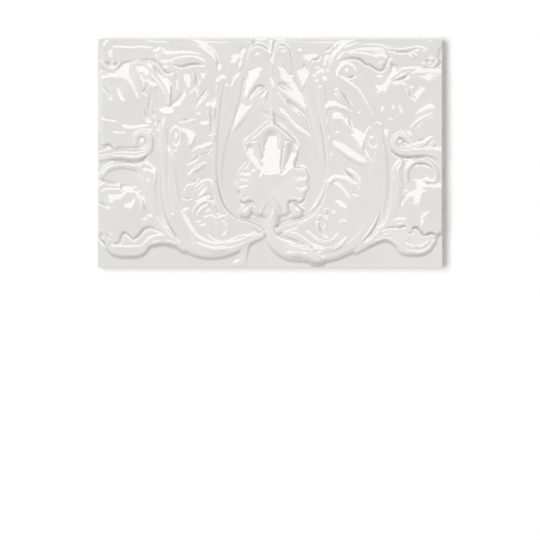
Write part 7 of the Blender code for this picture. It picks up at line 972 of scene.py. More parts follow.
def inner_left_faces(r):
    r.facet([(-57.8, -13.6), (-56.6, -7.6), (-52.6, -1), (-47.4, 3.4), (-42.6, 6), (-38.6, 6.6),
             (-38.8, 4.2), (-43, 2.4), (-47.4, -0.8), (-51, -5), (-53.8, -9.6), (-56, -14)], -0.06, -0.1,
            0.5, 0.055)
    r.streak([(-54.6, -14.8, 0.8), (-50.6, -11, 1.6), (-46.8, -8.2, 1.7), (-44.6, -7, 1.0)], 0.3)
    r.facet([(-57.4, -26), (-56.6, -24), (-53.5, -21), (-50.5, -20.2), (-47.4, -16.3), (-45.5, -15.5),
             (-47, -18.4), (-50.5, -22), (-54.3, -23.6), (-55.8, -25.8)])
    r.streak([(-50.2, -26, 1.1), (-47, -23.2, 1.6), (-43.6, -20.4, 1.8), (-40.4, -19.6, 1.8),
              (-38, -20.8, 1.5), (-36, -24.4, 1.0)], 0.6)
    r.facet([(-46.2, -28.6), (-45.5, -24.8), (-43.5, -21.7), (-40.8, -21.3), (-41.6, -24.8), (-43.2, -27.8),
             (-45.5, -29)])
    r.streak([(-51.2, -38.6, 1.0), (-49.2, -35.6, 1.4), (-46.2, -32.4, 1.4), (-43.4, -30.8, 1.4),
              (-40, -30, 1.0)], 0.7)
    r.facet([(-48.5, -43.2), (-47.8, -39.4), (-45.5, -36), (-41.2, -33.2), (-39.7, -32.2), (-40.6, -35.5),
             (-43.5, -37.2), (-46.6, -40), (-47.8, -42.8)], 0, 0.5)
    r.facet([(-58.2, -36.3), (-53.5, -36.5), (-54.8, -39), (-57.4, -39.3)])
    r.facet([(-47, -46.6), (-42.8, -46.4), (-42.8, -48.8), (-44.8, -49.3), (-46.8, -48)])
    r.facet([(-59, 17.2), (-54.3, 17.2), (-52.8, 14.8), (-50, 13), (-49.3, 9.8), (-52, 5.2), (-54, 4.8),
             (-54.7, 8.3), (-56.2, 12.2)])
    r.facet([(-46, 21), (-40, 21.8), (-40, 18), (-45.5, 18.3)])
    r.facet([(-43.4, 31), (-39, 34.4), (-36.4, 39), (-35.4, 36), (-35, 31.4), (-38, 30), (-40.2, 30.4),
             (-40.4, 25), (-41.6, 24.6), (-41.2, 29.6)])
    r.facet([(-36.4, 30), (-35.2, 30), (-35.4, 17), (-36.6, 8), (-37.6, 8), (-36.4, 17)], 0.05)
    r.facet([(-62.8, 14), (-61.3, 14), (-61.3, 9), (-62.6, 9)])
    r.streak([(-62, 4.4, 0.8), (-59.4, 6.2, 0.9), (-58.2, 9, 0.8)])
    r.streak([(-39.8, -1.2, 0.7), (-37.8, -2, 0.8), (-36.8, -4.6, 0.7)])
    r.streak([(-40.8, 11.6, 0.7), (-38.6, 11.8, 0.7)])
    r.streak([(-30.2, -44.2, 0.8), (-28.2, -43, 0.9), (-25.4, -44.9, 0.8)])
    r.streak([(-28.6, -40.8, 0.8), (-24.2, -43.4, 0.8)])
    r.facet([(-30.8, -45.6), (-29.8, -45.6), (-28.4, -49.4), (-28.4, -52.5), (-29.6, -55), (-30.4, -54.6),
             (-29.4, -52), (-29.6, -49)])
    for x, y, radius in ((-62.6, 1.4, 1.0), (-51.2, 21.4, 1.3), (-47.4, 26, 1.6), (-41.6, -38.6, 1.5),
                         (-39, -41.2, 1.4), (-34, -40.6, 1.3), (-35.2, -42.6, 1.0)):
        r.spot(x, y, radius)
    r.crease([(-46, -1.2, 0.8, 0.6), (-43.4, -0.8, 1.0, 1.2), (-40.6, 0.4, 1.0, 1.2),
              (-38.8, 2.2, 0.7, 0.6)])
    r.crease([(-39, 30, 0.7, 0.3), (-39, 22, 0.9, 0.4), (-39, 13.4, 0.9, 0.4)])
    r.crease([(-57, -29.6, 0.8, 0.6), (-54, -30, 0.9, 0.8), (-52, -30, 0.6, 0.4)])
    r.crease([(-52, -20.8, 0.6, 0.4), (-49.4, -18.6, 0.8, 0.8), (-47.6, -16, 0.6, 0.4)])
    r.crease([(-53.4, -7, 0.6, 0.3), (-50, -4.4, 0.9, 0.8), (-47, -2, 0.8, 0.7)])
    r.crease([(-44, -28.4, 0.6, 0.4), (-40, -27, 0.9, 0.8), (-37.4, -28.6, 0.8, 0.6),
              (-38.2, -32, 0.6, 0.3)])
    r.crease([(-34.6, -18, 0.9, 0.3), (-32.6, -27, 1.1, 0.9), (-30, -33.6, 1.3, 1.3),
              (-25.6, -39.4, 1.3, 1.3), (-20, -43, 1.8, 1.4), (-13, -44.2, 2.0, 1.5), (-7, -46.6, 2.0, 1.5),
              (-3.6, -50.4, 1.4, 1.2)])
    r.streak([(-28.8, -31.6, 0.7), (-27.4, -35, 0.9), (-25, -38.8, 0.8)], 0.8)
    r.streak([(-40.5, -54, 1.0), (-38.2, -56.3, 1.2), (-34.3, -58.2, 1.2), (-29.7, -58.6, 1.2),
              (-25, -56.8, 1.2), (-19.7, -54.6, 1.2), (-14.3, -54, 1.2), (-9.4, -52, 1.0)], 0.8)
    r.facet([(-52, -53), (-51, -53), (-49.4, -56.4), (-46.6, -58.8), (-41.4, -61), (-35.6, -62.2),
             (-29, -61.8), (-29, -64.2), (-36, -65.2), (-42.4, -64), (-47.6, -61.4), (-51, -57.6)], 0, 0.3)
    r.streak([(-29.6, -63, 1.4), (-22.8, -61.6, 1.1), (-16.6, -59.2, 1.0), (-11.2, -56.6, 0.9),
              (-5.4, -54.6, 0.8)])
    r.facet([(-13.6, -61.8), (-11, -61), (-12.4, -64), (-13, -71), (-14.8, -72), (-14.2, -66)])


def upper_right_faces(r):
    r.facet([(44.4, 61.6), (46, 63.8), (48.4, 66.8), (51.4, 68.3), (56, 69.5), (61.4, 70.6), (69, 70.4),
             (75, 70.5), (71.6, 69.2), (65, 68.9), (59, 68.4), (54.5, 67.2), (49.8, 65.4), (46.8, 62.6),
             (45.4, 60.4)])
    r.streak([(56, 66.6, 0.9), (62, 66, 1.0), (67, 64.8, 0.9), (70.8, 63.4, 0.7)])
    r.crease([(46.6, 60.4, 0.8, 0.4), (51.4, 62.6, 1.1, 0.9), (57.6, 62.6, 1.2, 1.2), (61, 61.2, 1.2, 1.3),
              (63.5, 58.8, 1.2, 1.3), (66, 58.4, 1.1, 1.3), (69, 56.4, 1.1, 1.3), (71.6, 54.9, 1.1, 1.3),
              (74.6, 55, 1.1, 1.2), (76.2, 57.6, 1.0, 1.0), (78, 61.4, 0.9, 0.7), (80, 63.8, 0.7, 0.4)])
    r.streak([(77, 70.2, 0.8), (82, 68.9, 1.0), (88.3, 68.9, 1.0), (94.5, 70.2, 1.0), (100.6, 70.2, 1.0),
              (103.6, 68.6, 0.9)], 0.8)
    r.crease([(79, 68, 0.7, 0.4), (86, 67, 1.0, 0.9), (92, 67.4, 1.0, 0.9), (97.6, 69, 0.8, 0.5)])
    r.facet([(95.6, 54.4), (97.4, 57.6), (99, 58.2), (101.4, 55.8), (104.5, 54.8), (112.6, 54.8),
             (112.6, 53.4), (104, 52.8), (98, 52), (95.4, 52.2), (93.8, 50), (94.2, 52.6)])
    r.facet([(100.6, 51.6), (102.4, 51.6), (105.6, 48), (104.4, 46.8)])
    r.facet([(98.6, 45.2), (102.2, 44.2), (101.8, 41.4), (100.2, 38.3), (96.8, 33), (95.4, 33), (96, 36.4),
             (94, 37.2), (96, 40.6), (97.5, 43)])
    r.facet([(107.2, 34.5), (108.7, 32.5), (109, 28.3), (105.2, 28.3), (101.4, 26.4), (96.8, 24.8),
             (94.6, 23.2), (95.6, 24.8), (97.5, 26.8), (99, 29.8), (103, 32.5)])
    r.streak([(92.5, 15, 1.0), (94.5, 18.3, 1.2), (96.8, 21, 1.2), (100.6, 23.3, 1.2), (105.4, 25.6, 0.9)],
             0.8)
    r.facet([(85.4, 17.4), (89.8, 15.4), (92.6, 16.4), (94, 12), (92.4, 9), (90.6, 12.6), (86, 16)])
    r.facet([(97.6, 18.8), (99.2, 19), (99.6, 16.4), (98.2, 15.6)])
    r.facet([(80.9, 32.8), (82.6, 32.8), (82.5, 28), (81, 28)])
    r.facet([(84.5, 33), (86.4, 33), (87.2, 29), (88.4, 25), (87.4, 23.2), (85.8, 26), (84.8, 29)])
    r.facet([(73.2, 30.6), (75.3, 32.4), (74.9, 26.8), (73.4, 26.8)])
    r.facet([(81.4, 56.8), (83.3, 55.2), (82.9, 53), (80.2, 50.6), (79.8, 46), (78, 43), (77.5, 38),
             (76, 39.4), (73.4, 40), (71.8, 36), (71, 37.5), (70.8, 40.6), (69.4, 44.5), (72.2, 44),
             (75.2, 45.2), (76.4, 49), (78.3, 53)])
    r.facet([(70.8, 52), (74.4, 51.8), (74, 49.4), (71.4, 49.4)])
    r.crease([(81.6, 46.6, 0.7, 0.4), (83.6, 48, 0.9, 0.9), (86, 49, 0.9, 1.0), (89, 50, 0.9, 1.0),
              (91, 52.6, 0.7, 0.5)])
    r.streak([(84.8, 50.6, 0.9), (87.6, 51.8, 1.0), (90.2, 52.4, 0.8)], 0.9)
    r.streak([(82, 51, 0.7), (84, 53, 0.8), (86.6, 54.6, 0.7)], 0.8)
    r.streak([(81.4, 43.4, 0.7), (83.4, 45.6, 0.8), (85.6, 47, 0.7)], 0.8)
    r.streak([(86.6, 45, 0.8), (88.6, 44.8, 0.9), (90.4, 44.2, 0.8)], 0.8)
    r.facet([(44.2, 49), (43.8, 52), (44.6, 56), (46.6, 59), (50.4, 60.4), (47.6, 57.4), (46, 54),
             (45.4, 50)])
    r.facet([(49.7, 57), (51.2, 57), (51.2, 53.2), (50, 53.2)])
    r.crease([(50.8, 50.6, 0.8, 0.6), (53.4, 50.2, 1.1, 1.2), (56, 51.2, 0.9, 0.8)])
    r.streak([(58.3, 43, 0.7), (61.4, 37.5, 1.0), (65.2, 30.6, 1.0), (68.4, 25.6, 0.8)], 0.9)
    r.streak([(44.4, 41.6, 1.0), (48.3, 37.5, 1.3), (51.4, 33.4, 1.0)], 0.9)
    r.streak([(44, 38.6, 0.7), (47.5, 35.2, 0.8), (51.4, 31, 0.7)], 0.9)
    r.crease([(45, 43, 0.5, 0.4), (49.4, 38.4, 0.7, 0.8), (53, 33, 0.6, 0.5)])
    r.facet([(38, 30.4), (39.6, 33.6), (41.8, 34), (44.5, 33), (48.3, 31.4), (51.6, 29.8), (52.4, 27.4),
             (50.6, 27.4), (47.5, 29.4), (44.5, 30.4), (41.8, 29.8), (39.6, 29.6)])
    r.facet([(41.6, 22), (41.4, 25.2), (42.5, 28.4), (44.5, 28), (47.6, 26.4), (48.8, 23.6), (50.6, 20.6),
             (53.7, 15.2), (52.4, 15.6), (48, 20.6), (44, 22.2)])
    r.facet([(51.8, 23.4), (53.8, 23.3), (55.4, 19), (58.5, 16), (61.5, 13.7), (62.7, 9), (61.9, 3),
             (61.8, -0.4), (59.2, 2.2), (56.9, 6), (54, 10.6), (54.6, 14.5), (52.3, 19.8)])
    r.facet([(41.5, 7.2), (43, 8), (46.2, 6), (50, 3.7), (53.8, 0.6), (58.5, -1.7), (61.5, -4), (64.6, -7),
             (60, -6.3), (56.9, -4.8), (53.8, -2.5), (50, -1), (47.7, 1.4), (44.6, 3.7), (42.3, 5.2)])
    r.facet([(61.6, 0.4), (62.8, 0), (64.8, -5.6), (64, -6)])
    r.facet([(63.6, 0.4), (65, 0), (67.4, -7.4), (66.2, -7.6)])
    r.facet([(37.9, 12.4), (39.3, 12.4), (39.5, 7.8), (38.4, 7.4)])
    r.facet([(36.6, 24), (38, 24), (38, 17), (37.2, 17)])
    r.facet([(42, 70.6), (43, 73.4), (44.6, 75), (50, 75), (46.6, 73), (43.6, 69.2), (42.6, 69)])
    r.facet([(75.4, 16.6), (78.4, 16.4), (78, 10), (77.4, 6.2), (76, 10)])
    for x, y, radius in ((73.6, 59.2, 1.8), (77.4, 57.4, 1.4), (94.6, 64.8, 2.4), (102, 67.6, 1.3),
                         (107.2, 62, 1.5), (44.8, 13.4, 1.6), (93.4, 43.4, 1.4), (79.6, 22, 1.4),
                         (67.4, 10, 1.7), (59, 26.6, 1.4), (108, 5.8, 1.6)):
        r.spot(x, y, radius)
    r.crease([(100.8, 60.6, 0.8, 0.6), (103, 61, 1.0, 1.0), (105.8, 61, 0.8, 0.7)])
    r.crease([(104, 58.4, 0.7, 0.5), (106.6, 57.8, 1.0, 1.0), (109, 59.4, 0.9, 0.8), (110, 62, 0.7, 0.5)])
    r.streak([(106.6, 56.4, 0.8), (108.6, 57, 0.9), (111, 58.4, 0.8)], 0.8)
    r.crease([(92, 40.6, 0.9, 0.3), (93, 38, 1.1, 0.7), (94, 36.4, 0.7, 0.3)])


def lower_right_faces(r):
    r.facet([(96, -16.4), (99.8, -16), (101.4, -15), (104.5, -15.6), (102.9, -18), (101.8, -20.6),
             (102.2, -23.7), (106.8, -24), (101.8, -25.2), (100.2, -27.5), (99.7, -34.5), (97.5, -35.2),
             (94.8, -36), (94.5, -32.2), (93.7, -29.8), (91.4, -31.4), (89.2, -34.5), (88.7, -33.7),
             (89.8, -29), (92.9, -26), (95.6, -23), (96, -19)])
    r.facet([(101.4, -37.6), (105.4, -37.4), (104.4, -40), (102.9, -43), (102.2, -47.5), (100.6, -51.4),
             (99.6, -50.4), (98.6, -47), (98.2, -43), (100, -40)])
    r.facet([(81, -45.8), (81, -44.8), (84.5, -43), (86.8, -42), (88.3, -43), (89.7, -44.5), (89, -45.4),
             (85.2, -45)])
    r.streak([(102.8, -21.9, 0.8), (105, -21.9, 0.9), (108.2, -21.9, 0.8)])
    r.facet([(89.2, -17), (90.4, -17), (90.8, -11.4), (92.6, -7.8), (95.4, -5.6), (95, -4.6), (92, -6.6),
             (89.8, -10)])
    r.streak([(95, -5.1, 0.9), (99.8, -3.9, 1.1), (104.5, -4.6, 1.0), (108.3, -7.6, 0.8)])
    r.crease([(93.7, -8.4, 0.7, 0.4), (97.5, -7.3, 0.9, 0.7), (102.2, -7.5, 0.9, 0.7),
              (106.8, -9.5, 0.7, 0.5)])
    r.crease([(102.2, -19.4, 0.8, 0.7), (105.2, -19.9, 1.0, 1.1), (110.2, -19.7, 0.8, 0.8)])
    r.facet([(86.8, -6), (85.6, -6.4), (83.6, -8.6), (82.2, -12.2), (81.6, -18.3), (83, -18.3),
             (83.8, -12.6), (85, -9)])
    r.facet([(86, -11), (86.9, -11), (86.7, -16), (87.8, -21), (86.6, -20.6), (85.8, -16)])
    r.facet([(111, 0.6), (112, 0), (113, -8), (112.2, -9)])
    r.streak([(57.5, -61.8, 0.9), (60.6, -59.6, 1.1), (65.2, -57.5, 1.1), (69, -54.5, 1.1),
              (72.2, -49.8, 1.1), (74.5, -45.2, 1.1), (76.4, -39.8, 0.8)], 0.8)
    r.streak([(59.8, -59, 0.8), (62.2, -56, 1.1), (66, -50.6, 1.1), (69, -45.2, 1.1), (71.4, -39.8, 1.1),
              (73, -35.2, 0.8)], 0.8)
    r.crease([(61.6, -58.4, 0.6, 0.4), (65.6, -54.6, 1.0, 0.9), (69, -50, 1.1, 0.9), (72.4, -42, 1.0, 0.6),
              (74, -34, 0.8, 0.3)])
    r.streak([(68.3, -58.7, 0.8), (72.2, -55.7, 1.0), (76, -54.1, 1.0), (79.8, -53.4, 0.8)], 0.8)
    r.streak([(66, -60.4, 0.8), (70, -58, 1.1), (74.5, -55.9, 1.1), (78.3, -55.9, 1.1), (82.2, -58, 1.0),
              (85.2, -61, 0.8)], 0.8)
    r.streak([(88, -58.6, 0.7), (91, -60.6, 0.9), (94.5, -61.6, 1.1), (98, -62, 1.1), (101.4, -60.8, 1.0),
              (103.8, -58.6, 0.8)], 0.8)
    r.streak([(96, -66, 0.8), (100, -65.4, 0.9), (103.7, -63.8, 1.0), (106.8, -61.4, 1.0),
              (108.4, -57.6, 0.8)], 0.8)
    r.crease([(74.5, -51, 0.7, 0.4), (79, -49.4, 0.9, 0.8), (84.5, -49.4, 0.9, 1.0),
              (87.4, -48.6, 1.1, 1.2), (89.4, -48.2, 0.7, 0.6)])
    r.crease([(94.6, -49.4, 0.8, 0.9), (97.6, -49.6, 1.0, 1.2), (99.8, -52, 1.0, 1.1),
              (101.6, -54.2, 1.0, 1.2), (104.6, -53.6, 1.1, 1.4), (107.5, -53, 1.3, 1.6),
              (110, -54.4, 1.0, 1.0)])
    r.crease([(91.8, -52.8, 0.8, 0.7), (92.8, -53.6, 0.8, 0.7)])
    r.crease([(80.4, 2, 0.9, 0.7), (82.4, -0.4, 1.0, 1.0), (86, -2, 1.1, 1.2), (91.4, -2.8, 1.1, 1.2),
              (97.5, -2.4, 1.0, 1.0), (102.4, -2, 0.8, 0.5)])
    r.streak([(90, 5.8, 0.8), (93, 4.6, 0.9), (97.5, 4.4, 0.8), (101.4, 5.4, 0.8), (103.7, 7.2, 0.9),
              (105.8, 9.6, 0.9)], 0.45)
    r.crease([(85, 9.9, 0.7, 0.6), (87.6, 9.4, 0.9, 0.9), (89.6, 7.4, 0.9, 0.9), (91.6, 5.6, 0.7, 0.5)])
    r.crease([(97, 7.8, 0.8, 0.5), (100.6, 8.8, 1.0, 0.9), (103, 10.4, 0.7, 0.5)])
    r.facet([(38.9, -19.6), (40.4, -16.2), (42.3, -15), (46.2, -15.3), (50, -16), (52.3, -18.2),
             (53.2, -20.6), (50.8, -19.2), (48.5, -17.3), (44.6, -17.3), (41.5, -17.8), (40, -20.6)])
    r.facet([(43, -19.6), (46.2, -20.8), (48.7, -24.2), (51, -27.6), (53.2, -31), (50.8, -30.4),
             (47.5, -25.7), (45.2, -22.6)], 0.05)
    r.facet([(56.9, -14.2), (58.9, -15), (60.6, -17.8), (60.6, -21), (59.6, -24.6), (58.4, -24.8),
             (58.6, -21), (57.8, -17.8)])
    r.crease([(49.2, -11, 0.9, 0.6), (51.6, -13.4, 1.2, 1.0), (54.4, -16, 1.2, 1.1), (57, -19.6, 0.9, 0.7)])
    r.crease([(54.6, -26.2, 0.8, 0.7), (57.6, -27.6, 0.8, 0.7)])
    r.facet([(43.6, -31.2), (46.2, -31.5), (49.2, -33.8), (51, -36.3), (50.6, -38.4), (48.5, -37.1),
             (46.2, -35), (45, -36.9), (44.5, -33.8)])
    r.facet([(40, 0.6), (41.4, 1.2), (41.2, -3), (40, -3.4)])
    for x, y, radius in ((37.3, -38, 1.8), (42.4, -39.6, 1.4), (48.2, -45.2, 2.1), (32.3, -42, 1.4),
                         (94.6, -53.6, 1.5), (87.2, -21.2, 1.2), (89.8, -25.2, 1.2), (85.2, 7.6, 1.2),
                         (28.8, -64, 1.3), (33.5, -65.6, 1.3), (25.8, -67.8, 1.2), (93.2, 2.4, 1.2)):
        r.spot(x, y, radius)
    r.streak([(31.8, -47.4, 0.7), (33, -51.7, 0.8), (37, -56, 0.7)], 0.8)
    r.crease([(33, -46.4, 0.6, 0.5), (33.9, -51, 0.8, 0.8), (37.5, -55.4, 0.6, 0.5)])
    r.streak([(27, -53.2, 0.9), (30.8, -56, 1.1), (33.8, -58.2, 1.2), (37, -59, 1.3), (40.8, -57.6, 1.3),
              (44.4, -53.6, 1.0)], 0.8)
    r.streak([(35, -63.2, 1.1), (40, -63.2, 1.3), (44.6, -61.7, 1.3), (47.7, -59.4, 1.2),
              (50.2, -56.5, 0.9)], 0.8)
    r.streak([(6.6, -52.6, 0.9), (12.3, -51.4, 1.1), (18.2, -49, 0.9)], 0.8)
    r.streak([(12, -52.6, 0.8), (15.4, -52.7, 1.1), (19.2, -53.9, 1.2), (23, -56.7, 1.2), (27.7, -60, 1.0)],
             0.8)
    r.streak([(12.6, -60.6, 0.9), (17, -61.6, 1.0), (21, -62.6, 0.8)])
    r.crease([(8, -54.8, 0.9, 0.5), (15, -57, 1.4, 1.0), (23.6, -60.4, 1.2, 0.7), (29, -61.6, 0.8, 0.4)])
    r.streak([(12, -65.9, 0.9), (17, -66.4, 1.2), (23.2, -66.3, 1.0)], 0.8)
    r.crease([(31.4, 28, 0.8, 0.2), (33.6, 18, 0.9, 0.5), (35.8, 6, 0.9, 0.6), (37.2, -10, 0.9, 0.7),
              (36.8, -21, 1.1, 0.9), (34.6, -30, 1.5, 1.3), (30.6, -36.6, 1.6, 1.4),
              (25.4, -41.2, 1.8, 1.5), (18, -43.8, 2.0, 1.5), (10, -45.6, 2.0, 1.5), (5, -48.4, 1.4, 1.2)])
    r.streak([(27, -36.6, 0.6), (29.6, -33, 0.7), (32, -28, 0.7), (33.6, -22.4, 0.6)], 0.8)
    r.streak([(27, -39.4, 0.6), (30.6, -36.9, 0.7), (34, -33, 0.7), (36.4, -27, 0.7), (37.4, -21, 0.6)],
             0.8)
    r.streak([(63.6, 5.6, 0.8), (66.8, 4, 0.9), (69, 3.2, 0.9), (71, 5.2, 0.7)])


def flatten_rim(r):
    """The face falls away to its edges, and the relief fades out just inside them."""
    to_side = np.minimum(LENGTH / 2 - np.abs(r.X), WIDTH / 2 - np.abs(r.Y))
    r.z *= np.clip(to_side / RIM_FLAT, 0, 1) ** 0.5
    r.z -= EDGE_DROP * np.clip(1 - to_side / EDGE_FALL, 0, 1) ** 2


MASSES = (side_grounds, corner_leaf_left, under_fold_left, corner_leaf_right, palmette, bud, husk,
          flutes_left, flutes_right, top_bands, arch_fan_left, arch_fan_right, hood_left, hood_right, stub,
          inner_leaf_left, inner_leaf_right, cup_flower_left, cup_flower_right, left_scroll,
          side_scroll_left, side_scroll_right, left_heart_band, right_heart_band, right_scroll)
FACES = (palmette_faces, husk_faces, upper_left_faces, lower_left_faces, inner_left_faces,
         upper_right_faces, lower_right_faces)


def tile_relief(columns, rows):
    """The whole relief: its masses, then their facets, with the walls eased and the glaze's rounding."""
    r = Relief(columns, rows)
    for form in MASSES:
        form(r)
    r.z *= MASS_HEIGHT
    for form in FACES:
        form(r)
    r.ease_walls(WALL_SLOPE, WALL_REACH)
    r.cut_creases()
    r.z = np.maximum(r.z, -FIELD_CUT)
    r.soften(GLAZE_ROUNDING)
    flatten_rim(r)
    return r


# Tile


def relief_sheet(relief):
    """A grid over the tile, raised to the relief."""
    bpy.ops.mesh.primitive_grid_add(x_subdivisions=COLUMNS - 1, y_subdivisions=ROWS - 1, size=2)
    tile = bpy.context.object
    mesh = tile.data
    points = np.empty(len(mesh.vertices) * 3, np.float32)
    mesh.vertices.foreach_get("co", points)
    points = points.reshape(-1, 3)
    i = np.rint((points[:, 0] + 1) / 2 * (COLUMNS - 1)).astype(int)
    j = np.rint((points[:, 1] + 1) / 2 * (ROWS - 1)).astype(int)
    points[:, 0] = relief.x[i] * MM
    points[:, 1] = relief.y[j] * MM
    points[:, 2] = (THICKNESS + relief.z[j, i]) * MM
    mesh.vertices.foreach_set("co", points.ravel())
    # painted shade: how far each point lies below the ground just north of it, which greys the glaze there
    painted_shade_depth = mesh.attributes.new("painted_shade_depth", "FLOAT", "POINT")
    painted_shade_depth.data.foreach_set("value", relief.painted_shade_depths()[j, i].astype(np.float32))
    return tile


def back_height(y):
    """How far up the back lies at y, which is more than 0 in its key grooves."""
    from_groove = np.abs(y - GROOVE_SPACING * (np.floor(y / GROOVE_SPACING) + 0.5))
    in_groove = from_groove < GROOVE_WIDTH / 2 and abs(y) < GROOVE_SPACING * GROOVE_COUNT / 2
    return GROOVE_DEPTH if in_groove else 0.0


def close_body(mesh):
    """Straight sides from the sheet's rim to the back, and the back in strips along its key grooves."""
    body = bmesh.new()
    body.from_mesh(mesh)
    rim = [edge for edge in body.edges if edge.is_boundary]
    made = bmesh.ops.extrude_edge_only(body, edges=rim)["geom"]
    foot = [corner for corner in made if isinstance(corner, bmesh.types.BMVert)]
    for corner in foot:
        corner.co.z = back_height(corner.co.y / MM) * MM
    end, side = LENGTH / 2 * MM - NEAR_RIM, WIDTH / 2 * MM - NEAR_RIM
    west = sorted((c for c in foot if c.co.x < -end), key=lambda c: c.co.y)
    east = sorted((c for c in foot if c.co.x > end), key=lambda c: c.co.y)
    south = sorted((c for c in foot if c.co.y < -side), key=lambda c: c.co.x)
    north = sorted((c for c in foot if c.co.y > side), key=lambda c: c.co.x)
    body.faces.new(south + [east[1], west[1]])
    body.faces.new(north + [east[-2], west[-2]])
    for k in range(1, len(west) - 2):
        body.faces.new((west[k], west[k + 1], east[k + 1], east[k]))
    bmesh.ops.recalc_face_normals(body, faces=body.faces)
    body.to_mesh(mesh)
    body.free()


def build_tile():
    tile = relief_sheet(tile_relief(COLUMNS, ROWS))
    tile.name = "relief_tile"
    close_body(tile.data)
    tile.data.shade_smooth()
    tile.data.set_sharp_from_angle(angle=np.radians(SHARP_ANGLE))
    tile.data.materials.clear()
    tile.data.materials.append(glaze_material())
    return tile


# Materials


def node(tree, kind, **values):
    made = tree.nodes.new(kind)
    for name, value in values.items():
        setattr(made, name, value)
    return made


def noise(tree, place, scale, detail=2.0):
    made = node(tree, "ShaderNodeTexNoise")
    made.inputs["Scale"].default_value = scale
    made.inputs["Detail"].default_value = detail
    tree.links.new(place, made.inputs["Vector"])
    return made.outputs["Fac"]


def remap(tree, value, from_low, from_high, to_low=0.0, to_high=1.0):
    made = node(tree, "ShaderNodeMapRange", interpolation_type="SMOOTHSTEP")
    tree.links.new(value, made.inputs["Value"])
    ends = {"From Min": from_low, "From Max": from_high, "To Min": to_low, "To Max": to_high}
    for name, number in ends.items():
        made.inputs[name].default_value = number
    return made.outputs["Result"]


def blend(tree, share, low, high):
    """A colour between two, each a colour or another node's output."""
    made = node(tree, "ShaderNodeMix", data_type="RGBA")
    for name, kind, value in (("Factor", "VALUE", share), ("A", "RGBA", low), ("B", "RGBA", high)):
        socket = [s for s in made.inputs if s.name == name and s.type == kind][0]
        if isinstance(value, tuple):
            socket.default_value = value
        else:
            tree.links.new(value, socket)
    return [s for s in made.outputs if s.type == "RGBA"][0]


def glaze_material():
    """White gloss glaze, with painted shade greying its creases and the foot of its walls, over a cream
    body that shows low down and on the back.
    """
    material = bpy.data.materials.new("white gloss glaze")
    material.use_nodes = True
    tree = material.node_tree
    shader = tree.nodes["Principled BSDF"]
    place = node(tree, "ShaderNodeTexCoord").outputs["Object"]
    painted_shade_depth = node(tree, "ShaderNodeAttribute", attribute_name="painted_shade_depth").outputs["Fac"]
    cloud = noise(tree, place, *CLOUD_NOISE)
    tone = blend(tree, remap(tree, cloud, *CLOUD_SPAN), GLAZE_COOL, GLAZE_WARM)
    # painted shade: the glaze is greyed where it lies below the ground just north of it, in creases and
    # under walls
    shaded_glaze = blend(tree, remap(tree, painted_shade_depth, *PAINTED_SHADE_SPAN), tone, GLAZE_PAINTED_SHADE)
    height = node(tree, "ShaderNodeSeparateXYZ")
    tree.links.new(place, height.inputs["Vector"])
    wander = noise(tree, place, *WANDER_NOISE)
    level = node(tree, "ShaderNodeMath", operation="MULTIPLY_ADD")
    tree.links.new(wander, level.inputs[0])
    level.inputs[1].default_value = GLAZE_LINE_WANDER
    tree.links.new(height.outputs["Z"], level.inputs[2])
    glazed = remap(tree, level.outputs["Value"], GLAZE_LINE, GLAZE_LINE + GLAZE_LINE_BLUR)
    grain = noise(tree, place, *GRAIN_NOISE)
    body = blend(tree, grain, BODY_DARK, BODY_LIGHT)
    tree.links.new(blend(tree, glazed, body, shaded_glaze), shader.inputs["Base Color"])
    roughness = remap(tree, glazed, 0, 1, BODY_ROUGHNESS, GLAZE_ROUGHNESS)
    tree.links.new(roughness, shader.inputs["Roughness"])
    shader.inputs["IOR"].default_value = GLAZE_IOR
    peel = noise(tree, place, *PEEL_NOISE)
    bump = node(tree, "ShaderNodeBump")
    bump.inputs["Strength"].default_value = PEEL_STRENGTH
    bump.inputs["Distance"].default_value = PEEL_DEPTH
    tree.links.new(peel, bump.inputs["Height"])
    tree.links.new(bump.outputs["Normal"], shader.inputs["Normal"])
    return material


def floor_material():
    material = bpy.data.materials.new("white floor")
    material.use_nodes = True
    tree = material.node_tree
    shader = tree.nodes["Principled BSDF"]
    shader.inputs["Base Color"].default_value = FLOOR_WHITE
    shader.inputs["Roughness"].default_value = 1.0
    shader.inputs["Specular IOR Level"].default_value = 0.0
    shader.inputs["Emission Color"].default_value = (1, 1, 1, 1)
    shader.inputs["Emission Strength"].default_value = FLOOR_GLOW
    return material


# Stage


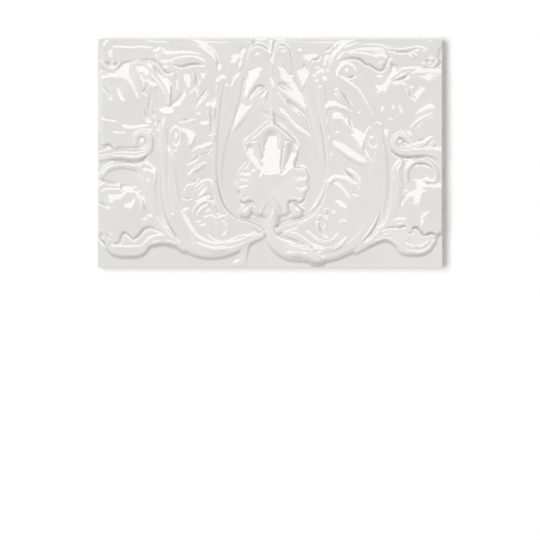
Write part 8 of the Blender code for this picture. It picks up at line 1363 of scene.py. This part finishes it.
def add_floor():
    bpy.ops.mesh.primitive_plane_add(size=FLOOR_SIZE)
    floor = bpy.context.object
    floor.name = "floor"
    floor.data.materials.append(floor_material())


def add_camera():
    """Straight down, with the photograph's framing."""
    data = bpy.data.cameras.new("camera")
    data.sensor_width = SENSOR
    data.lens = LENS
    data.clip_end = CLIP_END
    camera = bpy.data.objects.new("camera", data)
    bpy.context.scene.collection.objects.link(camera)
    camera.location = Vector(LOOKED_AT) + Vector((0, 0, FRAME_WIDTH * LENS / SENSOR))
    bpy.context.scene.camera = camera


def add_softbox(name, direction, distance, width, height, radiance):
    """A rectangular light that faces the tile, from so many degrees north and east of straight up."""
    north, east = np.radians(direction)
    data = bpy.data.lights.new(name, "AREA")
    data.shape = "RECTANGLE"
    data.size = width
    data.size_y = height
    data.energy = radiance * np.pi * width * height
    lamp = bpy.data.objects.new(name, data)
    bpy.context.scene.collection.objects.link(lamp)
    towards = Vector((np.tan(east), np.tan(north), 1)).normalized()
    lamp.location = towards * distance
    lamp.rotation_euler = towards.to_track_quat("Z", "Y").to_euler()
    return lamp


def add_light():
    world = bpy.data.worlds.new("studio")
    world.use_nodes = True
    background = world.node_tree.nodes["Background"]
    background.inputs["Color"].default_value = (1, 1, 1, 1)
    background.inputs["Strength"].default_value = ROOM_LIGHT
    bpy.context.scene.world = world
    for softbox in SOFTBOXES:
        add_softbox(*softbox).visible_diffuse = False
    add_softbox(*KEY_LIGHT).visible_glossy = False
    bpy.context.scene.view_settings.view_transform = "Standard"


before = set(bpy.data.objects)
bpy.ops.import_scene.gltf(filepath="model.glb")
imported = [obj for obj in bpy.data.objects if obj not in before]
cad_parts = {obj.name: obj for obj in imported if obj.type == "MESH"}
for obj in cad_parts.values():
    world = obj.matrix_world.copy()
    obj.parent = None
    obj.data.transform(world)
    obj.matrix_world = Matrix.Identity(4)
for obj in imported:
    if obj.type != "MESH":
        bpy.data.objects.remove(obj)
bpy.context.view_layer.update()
add_camera()
add_floor()
add_light()
tile = build_tile()
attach(tile, "root")
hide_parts("glazed_tile")
